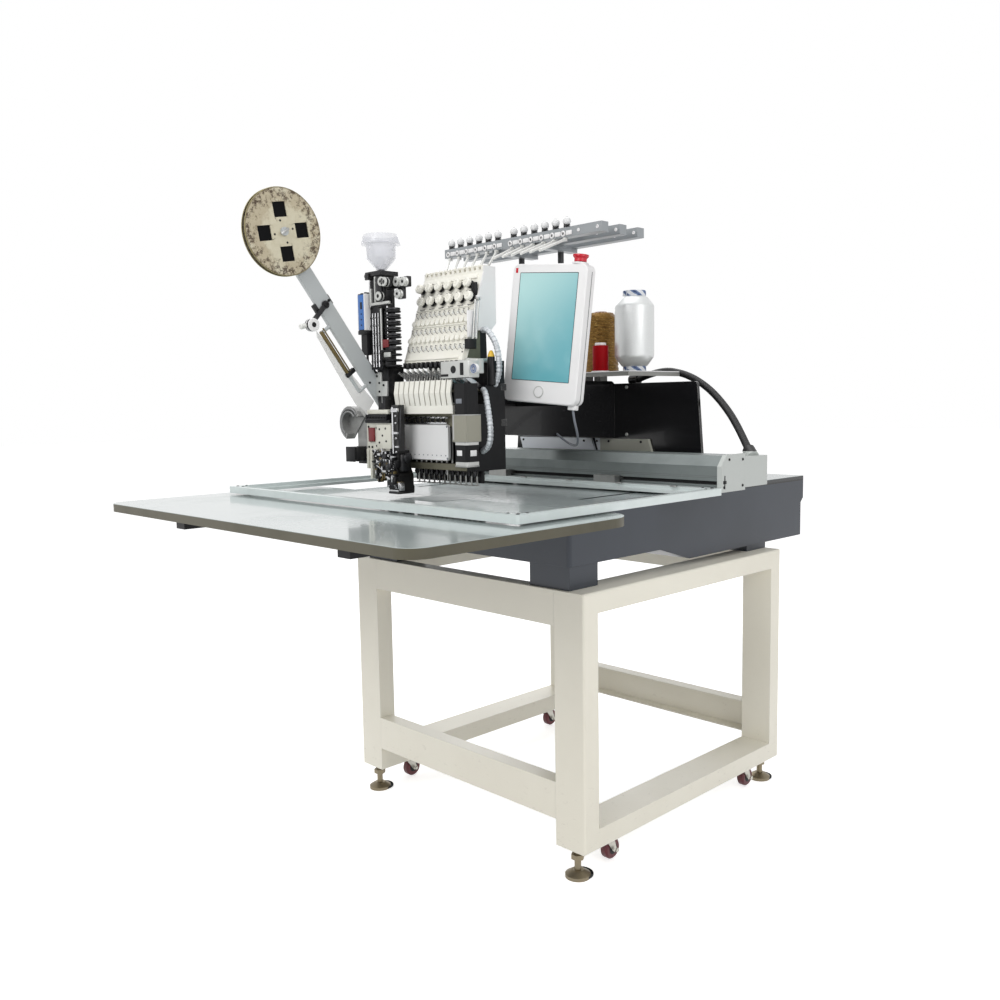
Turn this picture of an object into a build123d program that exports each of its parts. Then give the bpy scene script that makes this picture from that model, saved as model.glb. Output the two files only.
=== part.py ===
from build123d import *
import math
import os

# Whole machine
WORK_TOP_Z = 875.0
SLIDE_GAP = 0.3
BORE_GAP = 0.1

# Stand
STAND_WIDTH = 850.0
STAND_DEPTH = 860.0
STAND_TOP_Z = 680.0
STAND_SETBACK = 210.0
LEG_WIDTH = 90.0
LEG_DEPTH = 50.0
LEG_BOTTOM_Z = 71.0
SIDE_RAIL_HEIGHT = 50.0
TUBE_ROUNDING = 6.0
FRONT_RAIL_HEIGHT = 84.0
CROSS_RAIL_DEPTH = 40.0
LOW_RAIL_Z = 134.0
LOW_RAIL_HEIGHT = 90.0
CHANNEL_WALL = 4.0

# Levelling feet
FOOT_PAD_DIAMETER = 60.0
FOOT_PAD_RIM = 8.0
FOOT_PAD_HEIGHT = 18.0
FOOT_NECK_DIAMETER = 28.0
FOOT_STUD_DIAMETER = 16.0
FOOT_STUD_REACH = 40.0
FOOT_NUT_WIDTH = 28.0
FOOT_NUT_HEIGHT = 12.0
FOOT_NUT_Z = 44.0

# Casters
CASTER_OFFSET = 100.0
CASTER_PAD_SIZE = 64.0
CASTER_PAD_THICKNESS = 4.0
CASTER_PIN_DIAMETER = 10.0
CASTER_PIN_REACH = 8.0
CASTER_RACE_DIAMETER = 44.0
CASTER_RACE_HEIGHT = 5.0
CASTER_TRAIL = 18.0
CASTER_AXLE_DIAMETER = 8.0
CASTER_WALL = 3.0
CASTER_SIDE_GAP = 1.0
WHEEL_DIAMETER = 52.0
WHEEL_WIDTH = 22.0
WHEEL_SHOULDER = 4.0
WHEEL_LIFT = 4.0

# Base casting
BASE_WIDTH = 760.0
BASE_LENGTH = 1065.0
BASE_FRONT_HEIGHT = 130.0
BASE_REAR_HEIGHT = 168.0
BASE_STEP_FROM_FRONT = 342.0
BASE_STEP_RUN = 130.0
BASE_LIP = 14.0
BASE_LIP_HEIGHT = 56.0
BASE_ROUNDING = 10.0
BASE_FOOT_WIDTH = 124.0
BASE_FOOT_LENGTH = 100.0
BASE_FOOT_INSET = 4.0

# Bed plate, bed arm and needle plate
BED_PLATE_THICKNESS = 10.0
BED_PLATE_OVERHANG = 33.0
BED_SLOT_X = 300.0
BED_SLOT_WIDTH = 16.0
BED_SLOT_DEPTH = 34.0
BED_ARM_WIDTH = 140.0
BED_ARM_HEIGHT = 84.0
BED_ARM_ROUNDING = 12.0
NEEDLE_PLATE_REACH = 100.0
NEEDLE_PLATE_BACK = 80.0
NEEDLE_HOLE_DIAMETER = 4.0
NEEDLE_WELL_DIAMETER = 14.0
SEAM_GAP = 1.5

# Rotary hook
HOOK_DIAMETER = 58.0
HOOK_LENGTH = 40.0
HOOK_NEEDLE_GAP = 3.0
HOOK_TOP_GAP = 9.0
HOOK_WALL = 4.0
HOOK_POCKET_GAP = 6.0
HOOK_SHAFT_DIAMETER = 14.0
HOOK_SHAFT_LENGTH = 110.0
HOOK_POCKET_BACK = 28.0

# Table
TABLE_WIDTH = 1200.0
TABLE_DEPTH = 600.0
TABLE_THICKNESS = 20.0
TABLE_FRONT_ROUNDING = 45.0
TABLE_REAR_ROUNDING = 70.0
TABLE_BED_GAP = 2.0
BRACKET_X = 330.0
BRACKET_WIDTH = 40.0
BRACKET_HEIGHT = 30.0
BRACKET_INSET = 60.0

# X beam and what it carries
BEAM_LEFT_X = -540.0
BEAM_RIGHT_X = 540.0
BEAM_BEHIND_NEEDLE = 395.0
BEAM_DEPTH = 103.0
BEAM_BOTTOM_Z = 888.0
BEAM_HEIGHT = 84.0
BEAM_CHAMFER = 24.0
BEAM_LIP_HEIGHT = 15.0
BEAM_LIP_SETBACK = 3.0
BEAM_SLOT_HEIGHT = 9.0
BEAM_SLOT_DEPTH = 18.0
BEAM_CAP_THICKNESS = 12.0
BEAM_CAP_MARGIN = 3.0
BELT_THICKNESS = 5.0
BELT_EDGE_GAP = 0.5
DRIVE_BOX_WIDTH = 112.0
DRIVE_BOX_DEPTH = 108.0
DRIVE_BOX_HEIGHT = 75.0
DRIVE_BOX_LIFT = 3.0
DRIVE_BOX_ROUNDING = 5.0
CARRIAGE_WIDTH = 90.0
CARRIAGE_LENGTH = 84.0
CARRIAGE_BLADE = 10.0
CARRIAGE_BLADE_DEPTH = 22.0
BEAM_TRAVEL_FRONT = 200.0
BEAM_TRAVEL_BACK = 90.0

# Border frame
BORDER_HALF_WIDTH = 545.0
BORDER_BEFORE_NEEDLE = 305.0
BORDER_BAR_WIDTH = 35.0
BORDER_BAR_HEIGHT = 17.0
BORDER_FLANGE_WIDTH = 13.0
BORDER_FLANGE_HEIGHT = 8.0
BORDER_LIFT = 5.0
BORDER_BEAM_GAP = 6.0
BORDER_CORNER = 6.0
FRAME_BRACKET_X = 200.0
FRAME_BRACKET_WIDTH = 70.0
FRAME_BRACKET_EDGE = 4.0

# Arm, column and covers
ARM_WIDTH = 100.0
ARM_TOP_Z = 1165.0
ARM_FRONT_BOTTOM_Z = 1030.0
ARM_REAR_BOTTOM_Z = 1000.0
ARM_ROUNDING = 14.0
ARM_PLATE_GAP = 6.0
ARM_RAIL_HEIGHT = 16.0
ARM_RAIL_DEPTH = 18.0
ARM_RAIL_LENGTH = 240.0
ARM_RAIL_LOW_Z = 1052.0
ARM_RAIL_HIGH_Z = 1138.0
COLUMN_BEHIND_NEEDLE = 600.0
COLUMN_PLATE = 10.0
COLUMN_BOX_WIDTH = 340.0
COLUMN_BOX_DEPTH = 190.0
COLUMN_TOP_WIDTH = 660.0
COLUMN_BOTTOM_WIDTH = 706.0
COLUMN_TOP_Z = 1157.0
COLUMN_ROUNDING = 10.0
FOOT_COVER_TOP_Z = 1000.0
FOOT_COVER_RIGHT_X = 217.0
FOOT_COVER_SPLIT_X = -18.0
FOOT_COVER_LEFT_X = -325.0
FOOT_COVER_BEVEL = 42.0
FOOT_COVER_THICKNESS = 8.0
FOOT_COVER_SEAM = 14.0

# Thread rack
RACK_LEFT_X = -262.0
RACK_RIGHT_X = 304.0
RACK_BEHIND_NEEDLE = 250.0
RACK_BAR_PITCH = 70.0
RACK_BAR_COUNT = 3
RACK_BAR_DEPTH = 26.0
RACK_BAR_HEIGHT = 24.0
RACK_BAR_Z = 1512.0
RACK_POST_X = 72.0
RACK_POST_BACK = 100.0
RACK_POST_DIAMETER = 16.0
RACK_FOOT_WIDTH = 180.0
RACK_FOOT_DEPTH = 44.0
RACK_FOOT_THICKNESS = 6.0
RACK_LINK_WIDTH = 24.0
RACK_LINK_HEIGHT = 10.0
GUIDE_FIRST_X = -246.0
GUIDE_PITCH = 37.0
GUIDE_GROUP_GAP = 59.0
GUIDE_GROUP_SIZE = 6
GUIDE_STEM_DIAMETER = 7.0
GUIDE_STEM_HEIGHT = 6.0
GUIDE_BALL_DIAMETER = 22.0
GUIDE_BALL_CORE_SHARE = 0.62
TUBE_DIAMETER = 7.0
TUBE_NEAR_DROP = 76.0
TUBE_FAR_DROP = 48.0
TUBE_FOOT_FIRST_X = -120.0
TUBE_FOOT_PITCH = 31.0
TUBE_BEHIND_NEEDLE = 110.0
TUBE_COLLAR_DIAMETER = 12.0
TUBE_COLLAR_HEIGHT = 8.0

# Spool shelf and spools
SHELF_LEFT_X = -230.0
SHELF_RIGHT_X = 190.0
SHELF_BEFORE_COLUMN = 115.0
SHELF_DEPTH = 235.0
SHELF_TOP_Z = 1188.0
SHELF_THICKNESS = 3.0
SHELF_RIM = 10.0
SHELF_STAND_WIDTH = 24.0
SHELF_STAND_DEPTH = 30.0
SHELF_STAND_INSET = 18.0
SPOOL_PIN_DIAMETER = 8.0
SPOOL_PIN_HEIGHT = 60.0
SPOOL_BORE_DIAMETER = 12.0
SILVER_X = 122.0
SILVER_FROM_FRONT = 115.0
SILVER_DIAMETER = 110.0
SILVER_CORE_DIAMETER = 64.0
SILVER_HEIGHT = 225.0
SILVER_END = 16.0
SILVER_SHOULDER = 26.0
RED_X = 40.0
RED_FROM_FRONT = 65.0
RED_DIAMETER = 52.0
RED_HEIGHT = 84.0
RED_FLANGE = 6.0
RED_CORE_DIAMETER = 46.0
GOLD_X = -41.0
GOLD_FROM_FRONT = 165.0
GOLD_DIAMETER = 105.0
GOLD_TOP_DIAMETER = 84.0
GOLD_HEIGHT = 170.0
GOLD_EDGE = 14.0

# Control panel
PANEL_X = 190.0
PANEL_BEHIND_NEEDLE = 168.0
PANEL_Z = 1272.0
PANEL_WIDTH = 216.0
PANEL_HEIGHT = 336.0
PANEL_DEPTH = 36.0
PANEL_ROUNDING = 18.0
PANEL_EDGE = 5.0
PANEL_YAW_DEG = 9.0
PANEL_TILT_DEG = 3.0
PANEL_ROLL_DEG = 5.0
SCREEN_SIDE = 24.0
SCREEN_TOP = 22.0
SCREEN_BOTTOM = 54.0
SCREEN_THICKNESS = 3.0
SCREEN_GAP = 0.3
HOME_DIAMETER = 24.0
HOME_DEPTH = 6.0
HOME_PROUD = 1.6
HOME_PRESS = 1.0
ESTOP_INSET = 33.0
ESTOP_DIAMETER = 38.0
ESTOP_NECK_DIAMETER = 30.0
ESTOP_HEIGHT = 22.0
ESTOP_CAP = 9.0
ESTOP_PRESS = 5.0
ESTOP_STEM_DIAMETER = 14.0
ESTOP_STEM_REACH = 16.0
PANEL_POST_DIAMETER = 24.0
PANEL_POST_BACK = 46.0
PANEL_POST_BOTTOM_Z = 1098.0
PANEL_POST_TOP_Z = 1230.0
PANEL_LUG_DIAMETER = 40.0
PANEL_LUG_BOTTOM_Z = 1180.0
PANEL_ARM_HEIGHT = 24.0
PANEL_ARM_DEPTH = 30.0

# Needles and needle case
NEEDLE_COUNT = 12
NEEDLE_PITCH = 20.0
ACTIVE_NEEDLE = 6
NEEDLE_REACH = 25.0
NEEDLE_TIP_Z = 914.0
NEEDLE_DIAMETER = 2.0
NEEDLE_LENGTH = 18.0
NEEDLE_CLAMP_DIAMETER = 9.0
NEEDLE_CLAMP_HEIGHT = 12.0
BAR_DIAMETER = 7.0
BAR_TOP_Z = 1100.0
BAR_SLOT_GAP = 0.6
FOOT_LEG_WIDTH = 5.0
FOOT_LEG_DEPTH = 2.0
FOOT_SOLE_LENGTH = 14.0
FOOT_SOLE_WIDTH = 15.0
FOOT_SOLE_HEIGHT = 2.0
FOOT_SOLE_Z = 908.0
FOOT_BAR_GAP = 2.0
FOOT_FORK_GAP = 0.7
CASE_MARGIN = 20.0
CASE_FRONT_GAP = 20.0
CASE_BACK_GAP = 64.0
CASE_PLATE_THICKNESS = 22.0
CASE_BOTTOM_Z = 945.0
CASE_GUIDE_HEIGHT = 16.0
CASE_UPPER_Z = 1052.0
CASE_UPPER_HEIGHT = 54.0
CASE_TOP_Z = 1210.0
CASE_CHEEK = 6.0
CASE_EAR_DEPTH = 44.0
GUSSET_THICKNESS = 10.0
GUSSET_TOP_Z = 1400.0
GUSSET_BACK_GAP = 30.0

# Take-up levers and their guard
LEVER_SHAFT_DIAMETER = 8.0
LEVER_SHAFT_BACK = 30.0
LEVER_SHAFT_Z = 1140.0
LEVER_HUB_DIAMETER = 20.0
LEVER_THICKNESS = 2.0
LEVER_REACH = 84.0
LEVER_RISE = 46.0
LEVER_HALF_HEIGHT = 4.0
GUARD_BAR_HEIGHT = 20.0
GUARD_BAR_DEPTH = 30.0
GUARD_BAR_Z = 1084.0
FLAP_WIDTH = 16.0
FLAP_THICKNESS = 4.0
FLAP_TOP_Z = 1165.0
FLAP_BULGE = 5.0

# Front cover and head motors
COVER_WIDTH = 176.0
COVER_BOTTOM_Z = 968.0
COVER_TOP_Z = 1058.0
COVER_THICKNESS = 6.0
COVER_ROUNDING = 10.0
MOTOR_SIZE = 44.0
MOTOR_HEIGHT = 56.0
MOTOR_UPPER_HEIGHT = 74.0
MOTOR_CHAMFER = 5.0
MOTOR_INSET = 22.0
MOTOR_BRACKET_HEIGHT = 63.0
MOTOR_BRACKET_SPARE = 4.0
MOTOR_LOW_Z = 962.0

# Tension base, knobs and head cover
TENSION_BOTTOM_Z = 1210.0
TENSION_TOP_Z = 1426.0
TENSION_WIDTH = 220.0
TENSION_PITCH = 18.0
TENSION_FRONT_GAP = 18.0
TENSION_LEAN = 76.0
TENSION_THICKNESS = 16.0
KNOB_ROW_COUNT = 2
KNOB_DIAMETER = 24.0
KNOB_LENGTH = 22.0
KNOB_STEM_DIAMETER = 12.0
KNOB_STEM_LENGTH = 5.0
KNOB_TOP_SHARES = (0.86, 0.70)
ROLLER_ROW_SHARES = (0.46, 0.26)
ROLLER_DIAMETER = 15.0
ROLLER_LENGTH = 8.0
COMB_DEPTH = 34.0
COMB_HEIGHT = 14.0
COMB_SLOT_WIDTH = 8.0
COMB_SLOT_DEPTH = 8.0
HEAD_COVER_THICKNESS = 4.0
HEAD_COVER_BACK = 38.0
HEAD_COVER_BOTTOM_Z = 1284.0

# Sequin and bead device
LIFT_PLATE_THICKNESS = 12.0
LIFT_PLATE_FORWARD = 52.0
LIFT_PLATE_BOTTOM_Z = 992.0
LIFT_PLATE_TOP_Z = 1130.0
LIFT_GUIDE_THICKNESS = 12.0
LIFT_GUIDE_BOTTOM_Z = 1000.0
LIFT_GUIDE_TOP_Z = 1130.0
LIFT_TRAVEL = 40.0
TOWER_WIDTH = 46.0
TOWER_DEPTH = 44.0
TOWER_FORWARD = 45.0
TOWER_BOTTOM_Z = 1198.0
TOWER_TOP_Z = 1433.0
TOWER_WINDOW_MARGIN = 9.0
TOWER_WINDOW_COUNT = 3
TOWER_HEAD_WIDTH = 62.0
TOWER_HEAD_DEPTH = 58.0
TOWER_HEAD_HEIGHT = 11.0
NECK_FORWARD = 50.0
NECK_DEPTH = 50.0
NECK_BOTTOM_Z = 1095.0
NECK_OVERLAP = 7.0
SCREW_DIAMETER = 40.0
SCREW_DISC = 5.0
SCREW_PITCH = 16.0
SCREW_COUNT = 7
SCREW_SHAFT_DIAMETER = 14.0
SCREW_BOTTOM_Z = 1250.0
SCREW_SEAT = 2.0
PULLEY_DIAMETER = 22.0
PULLEY_WIDTH = 12.0
PULLEY_PLATE = 6.0
PULLEY_REACH = 46.0
PULLEY_Z = 1412.0
HOPPER_RIM_DIAMETER = 105.0
HOPPER_BODY_DIAMETER = 79.0
HOPPER_THROAT_DIAMETER = 30.0
HOPPER_HEIGHT = 93.0
HOPPER_RIM_HEIGHT = 26.0
HOPPER_CONE_HEIGHT = 32.0
HOPPER_WALL = 4.0
HOPPER_FLOOR = 8.0
ACTUATOR_WIDTH = 28.0
ACTUATOR_DEPTH = 28.0
ACTUATOR_FORWARD = 25.0
ACTUATOR_BOTTOM_Z = 1297.0
ACTUATOR_HEIGHT = 94.0
ACTUATOR_BASE_HEIGHT = 61.0
ACTUATOR_BASE_SHRINK = 4.0
FEED_MOTOR_SIZE = 36.0
FEED_MOTOR_LENGTH = 38.0
FEED_MOTOR_Z = 982.0
FEED_PLATE_THICKNESS = 8.0
FEED_PLATE_LEFT = 58.0
FEED_PLATE_RIGHT = 38.0
FEED_PLATE_BOTTOM_Z = 992.0
FEED_PLATE_TOP_Z = 1062.0
FEED_HOLE_DIAMETER = 9.0
FEED_HOLE_X_SHARES = (0.46, 0.64, 0.82)
FEED_HOLE_Z_SHARES = (0.28, 0.72)
FEED_MOUNT_WIDTH = 40.0
FEED_MOUNT_BOTTOM_Z = 956.0
FEED_MOUNT_TOP_Z = 1078.0
FEED_BAR_WIDTH = 24.0
FEED_BAR_DEPTH = 21.0
FEED_BAR_PROUD = 2.0
FEED_BAR_BOTTOM_Z = 968.0
FEED_BAR_TOP_Z = 1107.0
FEED_BODY_LEFT = 18.0
FEED_BODY_WIDTH = 77.0
FEED_BODY_DEPTH = 46.0
FEED_BODY_BOTTOM_Z = 930.0
FEED_FOOT_WIDTH = 38.0
FEED_FOOT_REACH = 15.0
FEED_FOOT_Z = 884.0
FEED_NOSE_WIDTH = 16.0
FEED_NOSE_LENGTH = 20.0
FEED_NOSE_HEIGHT = 16.0
FEED_WHEEL_DIAMETER = 40.0
FEED_WHEEL_TEETH = 12
FEED_WHEEL_TOOTH = 4.0
FEED_WHEEL_THICKNESS = 8.0
FEED_WHEEL_Z = 954.0
SHROUD_RADIUS = 44.0
SHROUD_WALL_SHARE = 0.16
SHROUD_DEPTH = 26.0
SHROUD_BACK = 4.0
SHROUD_STEPS = 12
SHROUD_START_DEG = 25.0
SHROUD_END_DEG = 250.0

# Reel and its arm
REEL_ARM_WIDTH = 42.0
REEL_ARM_THICKNESS = 10.0
REEL_ARM_FORWARD = 25.5
REEL_ARM_FOOT_Z = 1115.0
REEL_FORWARD = 324.0
REEL_Z = 1516.0
REEL_DIAMETER = 203.0
REEL_FLANGE = 3.0
REEL_GAP = 10.0
REEL_HUB_DIAMETER = 56.0
REEL_WINDOW = 32.0
REEL_WINDOW_RADIUS = 58.0
REEL_WINDOW_COUNT = 4
REEL_AXLE_DIAMETER = 12.0
REEL_SIDE_GAP = 1.0
AXLE_HEAD_DIAMETER = 20.0
AXLE_HEAD_THICKNESS = 5.0
TAPE_DIAMETER = 160.0
GUIDE_LEVER_SHARE = 0.60
GUIDE_LEVER_REACH = 46.0
GUIDE_LEVER_DROP = 52.0
GUIDE_LEVER_THICKNESS = 4.0
GUIDE_LEVER_HALF_WIDTH = 6.0
GUIDE_PIVOT_DIAMETER = 10.0
GUIDE_PULLEY_DIAMETER = 30.0
GUIDE_PULLEY_WIDTH = 14.0
TAPE_ROD_DIAMETER = 9.0
TAPE_ROD_OFFSET = 48.0
TAPE_ROD_SHARES = (0.14, 0.50)

# Conduit from the column to the drive box
CONDUIT_DIAMETER = 20.0
CONDUIT_GLAND_DIAMETER = 32.0
CONDUIT_GLAND_LENGTH = 14.0
CONDUIT_START_X = 20.0
CONDUIT_START_BACK = 152.0
CONDUIT_END_SIDE = 21.0
CONDUIT_END_BACK = 18.0
CONDUIT_GLAND_SINK = 2.0
CONDUIT_RUN_SHARES = (
    (0.196, 0.027, -0.031),
    (0.396, 0.137, 0.037),
    (0.581, 0.341, 0.215),
    (0.742, 0.582, 0.455),
    (0.878, 0.802, 0.728),
)
CORD_ROUND_SHARE = 0.45

# Places worked out from the sizes above
MACHINE_DEPTH = TABLE_DEPTH + TABLE_BED_GAP + BED_PLATE_OVERHANG + BASE_LENGTH
FRONT_Y = -MACHINE_DEPTH / 2
REAR_Y = MACHINE_DEPTH / 2
STAND_REAR_Y = REAR_Y - STAND_SETBACK
STAND_FRONT_Y = STAND_REAR_Y - STAND_DEPTH
STAND_INNER_X = STAND_WIDTH / 2 - LEG_WIDTH
LEG_X = STAND_WIDTH / 2 - LEG_WIDTH / 2
FOOT_YS = (STAND_FRONT_Y + LEG_DEPTH / 2, STAND_REAR_Y - LEG_DEPTH / 2)
CASTER_YS = (FOOT_YS[0] + CASTER_OFFSET, FOOT_YS[1] - CASTER_OFFSET)
PAD_BOTTOM_Z = LEG_BOTTOM_Z - CASTER_PAD_THICKNESS
AXLE_Z = WHEEL_LIFT + WHEEL_DIAMETER / 2
BASE_TOP_Z = WORK_TOP_Z - BED_PLATE_THICKNESS
BASE_FRONT_Y = REAR_Y - BASE_LENGTH
BASE_FRONT_BOTTOM_Z = BASE_TOP_Z - BASE_FRONT_HEIGHT
BASE_REAR_BOTTOM_Z = BASE_TOP_Z - BASE_REAR_HEIGHT
NEEDLE_Y = BASE_FRONT_Y - NEEDLE_REACH
BED_ARM_FRONT_Y = NEEDLE_Y - NEEDLE_PLATE_REACH
BED_FRONT_Y = BASE_FRONT_Y - BED_PLATE_OVERHANG
TABLE_REAR_Y = BED_FRONT_Y - TABLE_BED_GAP
HOOK_FRONT_Y = NEEDLE_Y - HOOK_NEEDLE_GAP - HOOK_LENGTH
HOOK_Z = BASE_TOP_Z - HOOK_TOP_GAP - HOOK_DIAMETER / 2
BEAM_FRONT_Y = NEEDLE_Y + BEAM_BEHIND_NEEDLE
BEAM_REAR_Y = BEAM_FRONT_Y + BEAM_DEPTH
BEAM_TOP_Z = BEAM_BOTTOM_Z + BEAM_HEIGHT
BEAM_SLOT_Z = BEAM_BOTTOM_Z + BEAM_LIP_HEIGHT
BEAM_SLOT_TOP_Z = BEAM_SLOT_Z + BEAM_SLOT_HEIGHT
BEAM_SLOT_BACK_Y = BEAM_FRONT_Y + BEAM_SLOT_DEPTH
BORDER_FRONT_Y = NEEDLE_Y - BORDER_BEFORE_NEEDLE
BORDER_REAR_Y = BEAM_FRONT_Y - BORDER_BEAM_GAP
BORDER_BOTTOM_Z = WORK_TOP_Z + BORDER_LIFT
CASE_FRONT_Y = NEEDLE_Y - CASE_FRONT_GAP
CASE_BACK_Y = NEEDLE_Y + CASE_BACK_GAP
CASE_REAR_Y = CASE_BACK_Y + CASE_PLATE_THICKNESS
ARM_FRONT_Y = CASE_REAR_Y + ARM_PLATE_GAP
COLUMN_FRONT_Y = NEEDLE_Y + COLUMN_BEHIND_NEEDLE
COLUMN_BACK_Y = COLUMN_FRONT_Y + COLUMN_PLATE
RACK_FRONT_Y = NEEDLE_Y + RACK_BEHIND_NEEDLE
RACK_POST_Y = RACK_FRONT_Y + RACK_POST_BACK
TUBE_FOOT_Y = NEEDLE_Y + TUBE_BEHIND_NEEDLE
SHELF_FRONT_Y = COLUMN_FRONT_Y - SHELF_BEFORE_COLUMN
SILVER_Y = SHELF_FRONT_Y + SILVER_FROM_FRONT
RED_Y = SHELF_FRONT_Y + RED_FROM_FRONT
GOLD_Y = SHELF_FRONT_Y + GOLD_FROM_FRONT
PANEL_Y = NEEDLE_Y + PANEL_BEHIND_NEEDLE
NEEDLE_XS = [(place - ACTIVE_NEEDLE) * NEEDLE_PITCH for place in range(NEEDLE_COUNT)]
HEAD_LEFT_X = NEEDLE_XS[0] - CASE_MARGIN
HEAD_RIGHT_X = NEEDLE_XS[-1] + CASE_MARGIN
TENSION_RIGHT_X = HEAD_LEFT_X + TENSION_WIDTH
TENSION_FIRST_X = HEAD_LEFT_X + (TENSION_WIDTH - (NEEDLE_COUNT - 1) * TENSION_PITCH) / 2
TENSION_XS = [TENSION_FIRST_X + place * TENSION_PITCH for place in range(NEEDLE_COUNT)]
LEVER_Y = CASE_BACK_Y - LEVER_SHAFT_BACK
GUARD_FRONT_Y = CASE_FRONT_Y - GUARD_BAR_DEPTH
TENSION_FRONT_Y = NEEDLE_Y - TENSION_FRONT_GAP
TENSION_HEIGHT = TENSION_TOP_Z - TENSION_BOTTOM_Z
TENSION_TILT_DEG = math.degrees(math.atan2(TENSION_LEAN, TENSION_HEIGHT))
HEAD_COVER_REAR_Y = TENSION_FRONT_Y + TENSION_LEAN + HEAD_COVER_BACK
LIFT_GUIDE_LEFT_X = HEAD_LEFT_X - LIFT_GUIDE_THICKNESS
LIFT_RIGHT_X = LIFT_GUIDE_LEFT_X - SLIDE_GAP
LIFT_LEFT_X = LIFT_RIGHT_X - LIFT_PLATE_THICKNESS
LIFT_FRONT_Y = CASE_FRONT_Y - LIFT_PLATE_FORWARD
TOWER_Y = NEEDLE_Y - TOWER_FORWARD
TOWER_X = LIFT_LEFT_X - TOWER_WIDTH / 2
REEL_ARM_RIGHT_X = LIFT_LEFT_X - TOWER_WIDTH
REEL_ARM_LEFT_X = REEL_ARM_RIGHT_X - REEL_ARM_THICKNESS
REEL_ARM_FOOT_Y = NEEDLE_Y - REEL_ARM_FORWARD
REEL_Y = NEEDLE_Y - REEL_FORWARD
FEED_LEFT_X = LIFT_LEFT_X - FEED_PLATE_LEFT
FEED_RIGHT_X = LIFT_RIGHT_X + FEED_PLATE_RIGHT
FEED_FRONT_Y = LIFT_FRONT_Y - FEED_PLATE_THICKNESS
PANEL_PLACE = (
    Pos(PANEL_X, PANEL_Y, PANEL_Z)
    * Rot(0, 0, PANEL_YAW_DEG)
    * Rot(-PANEL_TILT_DEG, 0, 0)
    * Rot(0, PANEL_ROLL_DEG, 0)
)


def block(x_span, y_span, z_span):
    """Box between the two ends given along each axis."""
    spans = (x_span, y_span, z_span)
    sizes = [high - low for low, high in spans]
    middles = [(high + low) / 2 for low, high in spans]
    return Pos(*middles) * Box(*sizes)


def around(middle, width):
    """The two ends of a width set about its middle."""
    return (middle - width / 2, middle + width / 2)


def side_plate(points, x_span):
    """Outline in the side view, given as (Y, Z), made solid across X."""
    face = Plane.YZ.offset(x_span[0]) * Polygon(*points)
    return extrude(face, x_span[1] - x_span[0], dir=(1, 0, 0))


def front_plate(points, y_span):
    """Outline in the front view, given as (X, Z), made solid along Y."""
    face = Pos(0, y_span[0], 0) * (Plane.XZ * Polygon(*points))
    return extrude(face, y_span[1] - y_span[0], dir=(0, 1, 0))


def rod(start, end, diameter):
    """Round bar from one point to another."""
    run = Vector(*end) - Vector(*start)
    place = Plane(origin=start, z_dir=run)
    low = (Align.CENTER, Align.CENTER, Align.MIN)
    return place * Cylinder(diameter / 2, run.length, align=low)


def turned(outline, centre, direction):
    """Outline of (radius, height) pairs turned about a line through the centre."""
    body = revolve(Plane.XZ * Polygon(*outline), Axis.Z)
    return Plane(origin=centre, z_dir=direction) * body


def hexagon(centre, width, height):
    """Hexagonal nut standing on the point given."""
    radius = width / math.sqrt(3)
    return Pos(*centre) * extrude(RegularPolygon(radius, 6), height)


def fused(pieces):
    """One solid of pieces that run into each other."""
    whole = pieces[0]
    for piece in pieces[1:]:
        whole = whole + piece
    return whole


# Stand


def stand_side(side):
    """Welded side frame with caster pads and bores for studs and pins."""
    x_span = sorted((side * STAND_WIDTH / 2, side * STAND_INNER_X))
    y_span = (STAND_FRONT_Y, STAND_REAR_Y)
    frame = block(x_span, y_span, (LEG_BOTTOM_Z, STAND_TOP_Z))
    outer = frame.faces().sort_by(Axis.X)[0 if side < 0 else -1]
    frame = fillet(outer.edges(), TUBE_ROUNDING)
    window_y = (STAND_FRONT_Y + LEG_DEPTH, STAND_REAR_Y - LEG_DEPTH)
    window_z = (LEG_BOTTOM_Z + SIDE_RAIL_HEIGHT, STAND_TOP_Z - SIDE_RAIL_HEIGHT)
    frame = frame - block(x_span, window_y, window_z)
    x = side * LEG_X
    for y in FOOT_YS:
        bore_top = (x, y, LEG_BOTTOM_Z + FOOT_STUD_REACH + FOOT_PAD_RIM)
        frame = frame - rod((x, y, LEG_BOTTOM_Z), bore_top, FOOT_STUD_DIAMETER + BORE_GAP)
    for y in CASTER_YS:
        pad = block(around(x, CASTER_PAD_SIZE), around(y, CASTER_PAD_SIZE), (PAD_BOTTOM_Z, LEG_BOTTOM_Z))
        frame = frame + pad
        bore_top = (x, y, PAD_BOTTOM_Z + CASTER_PIN_REACH + CASTER_PAD_THICKNESS)
        frame = frame - rod((x, y, PAD_BOTTOM_Z), bore_top, CASTER_PIN_DIAMETER + BORE_GAP)
    return frame


def stand_rails_front():
    """Upper and lower rails across the front."""
    x_span = (-STAND_INNER_X, STAND_INNER_X)
    y_span = (STAND_FRONT_Y, STAND_FRONT_Y + CROSS_RAIL_DEPTH)
    upper = block(x_span, y_span, (STAND_TOP_Z - FRONT_RAIL_HEIGHT, STAND_TOP_Z))
    lower = block(x_span, y_span, (LOW_RAIL_Z, LOW_RAIL_Z + LOW_RAIL_HEIGHT))
    return [upper, lower]


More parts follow.
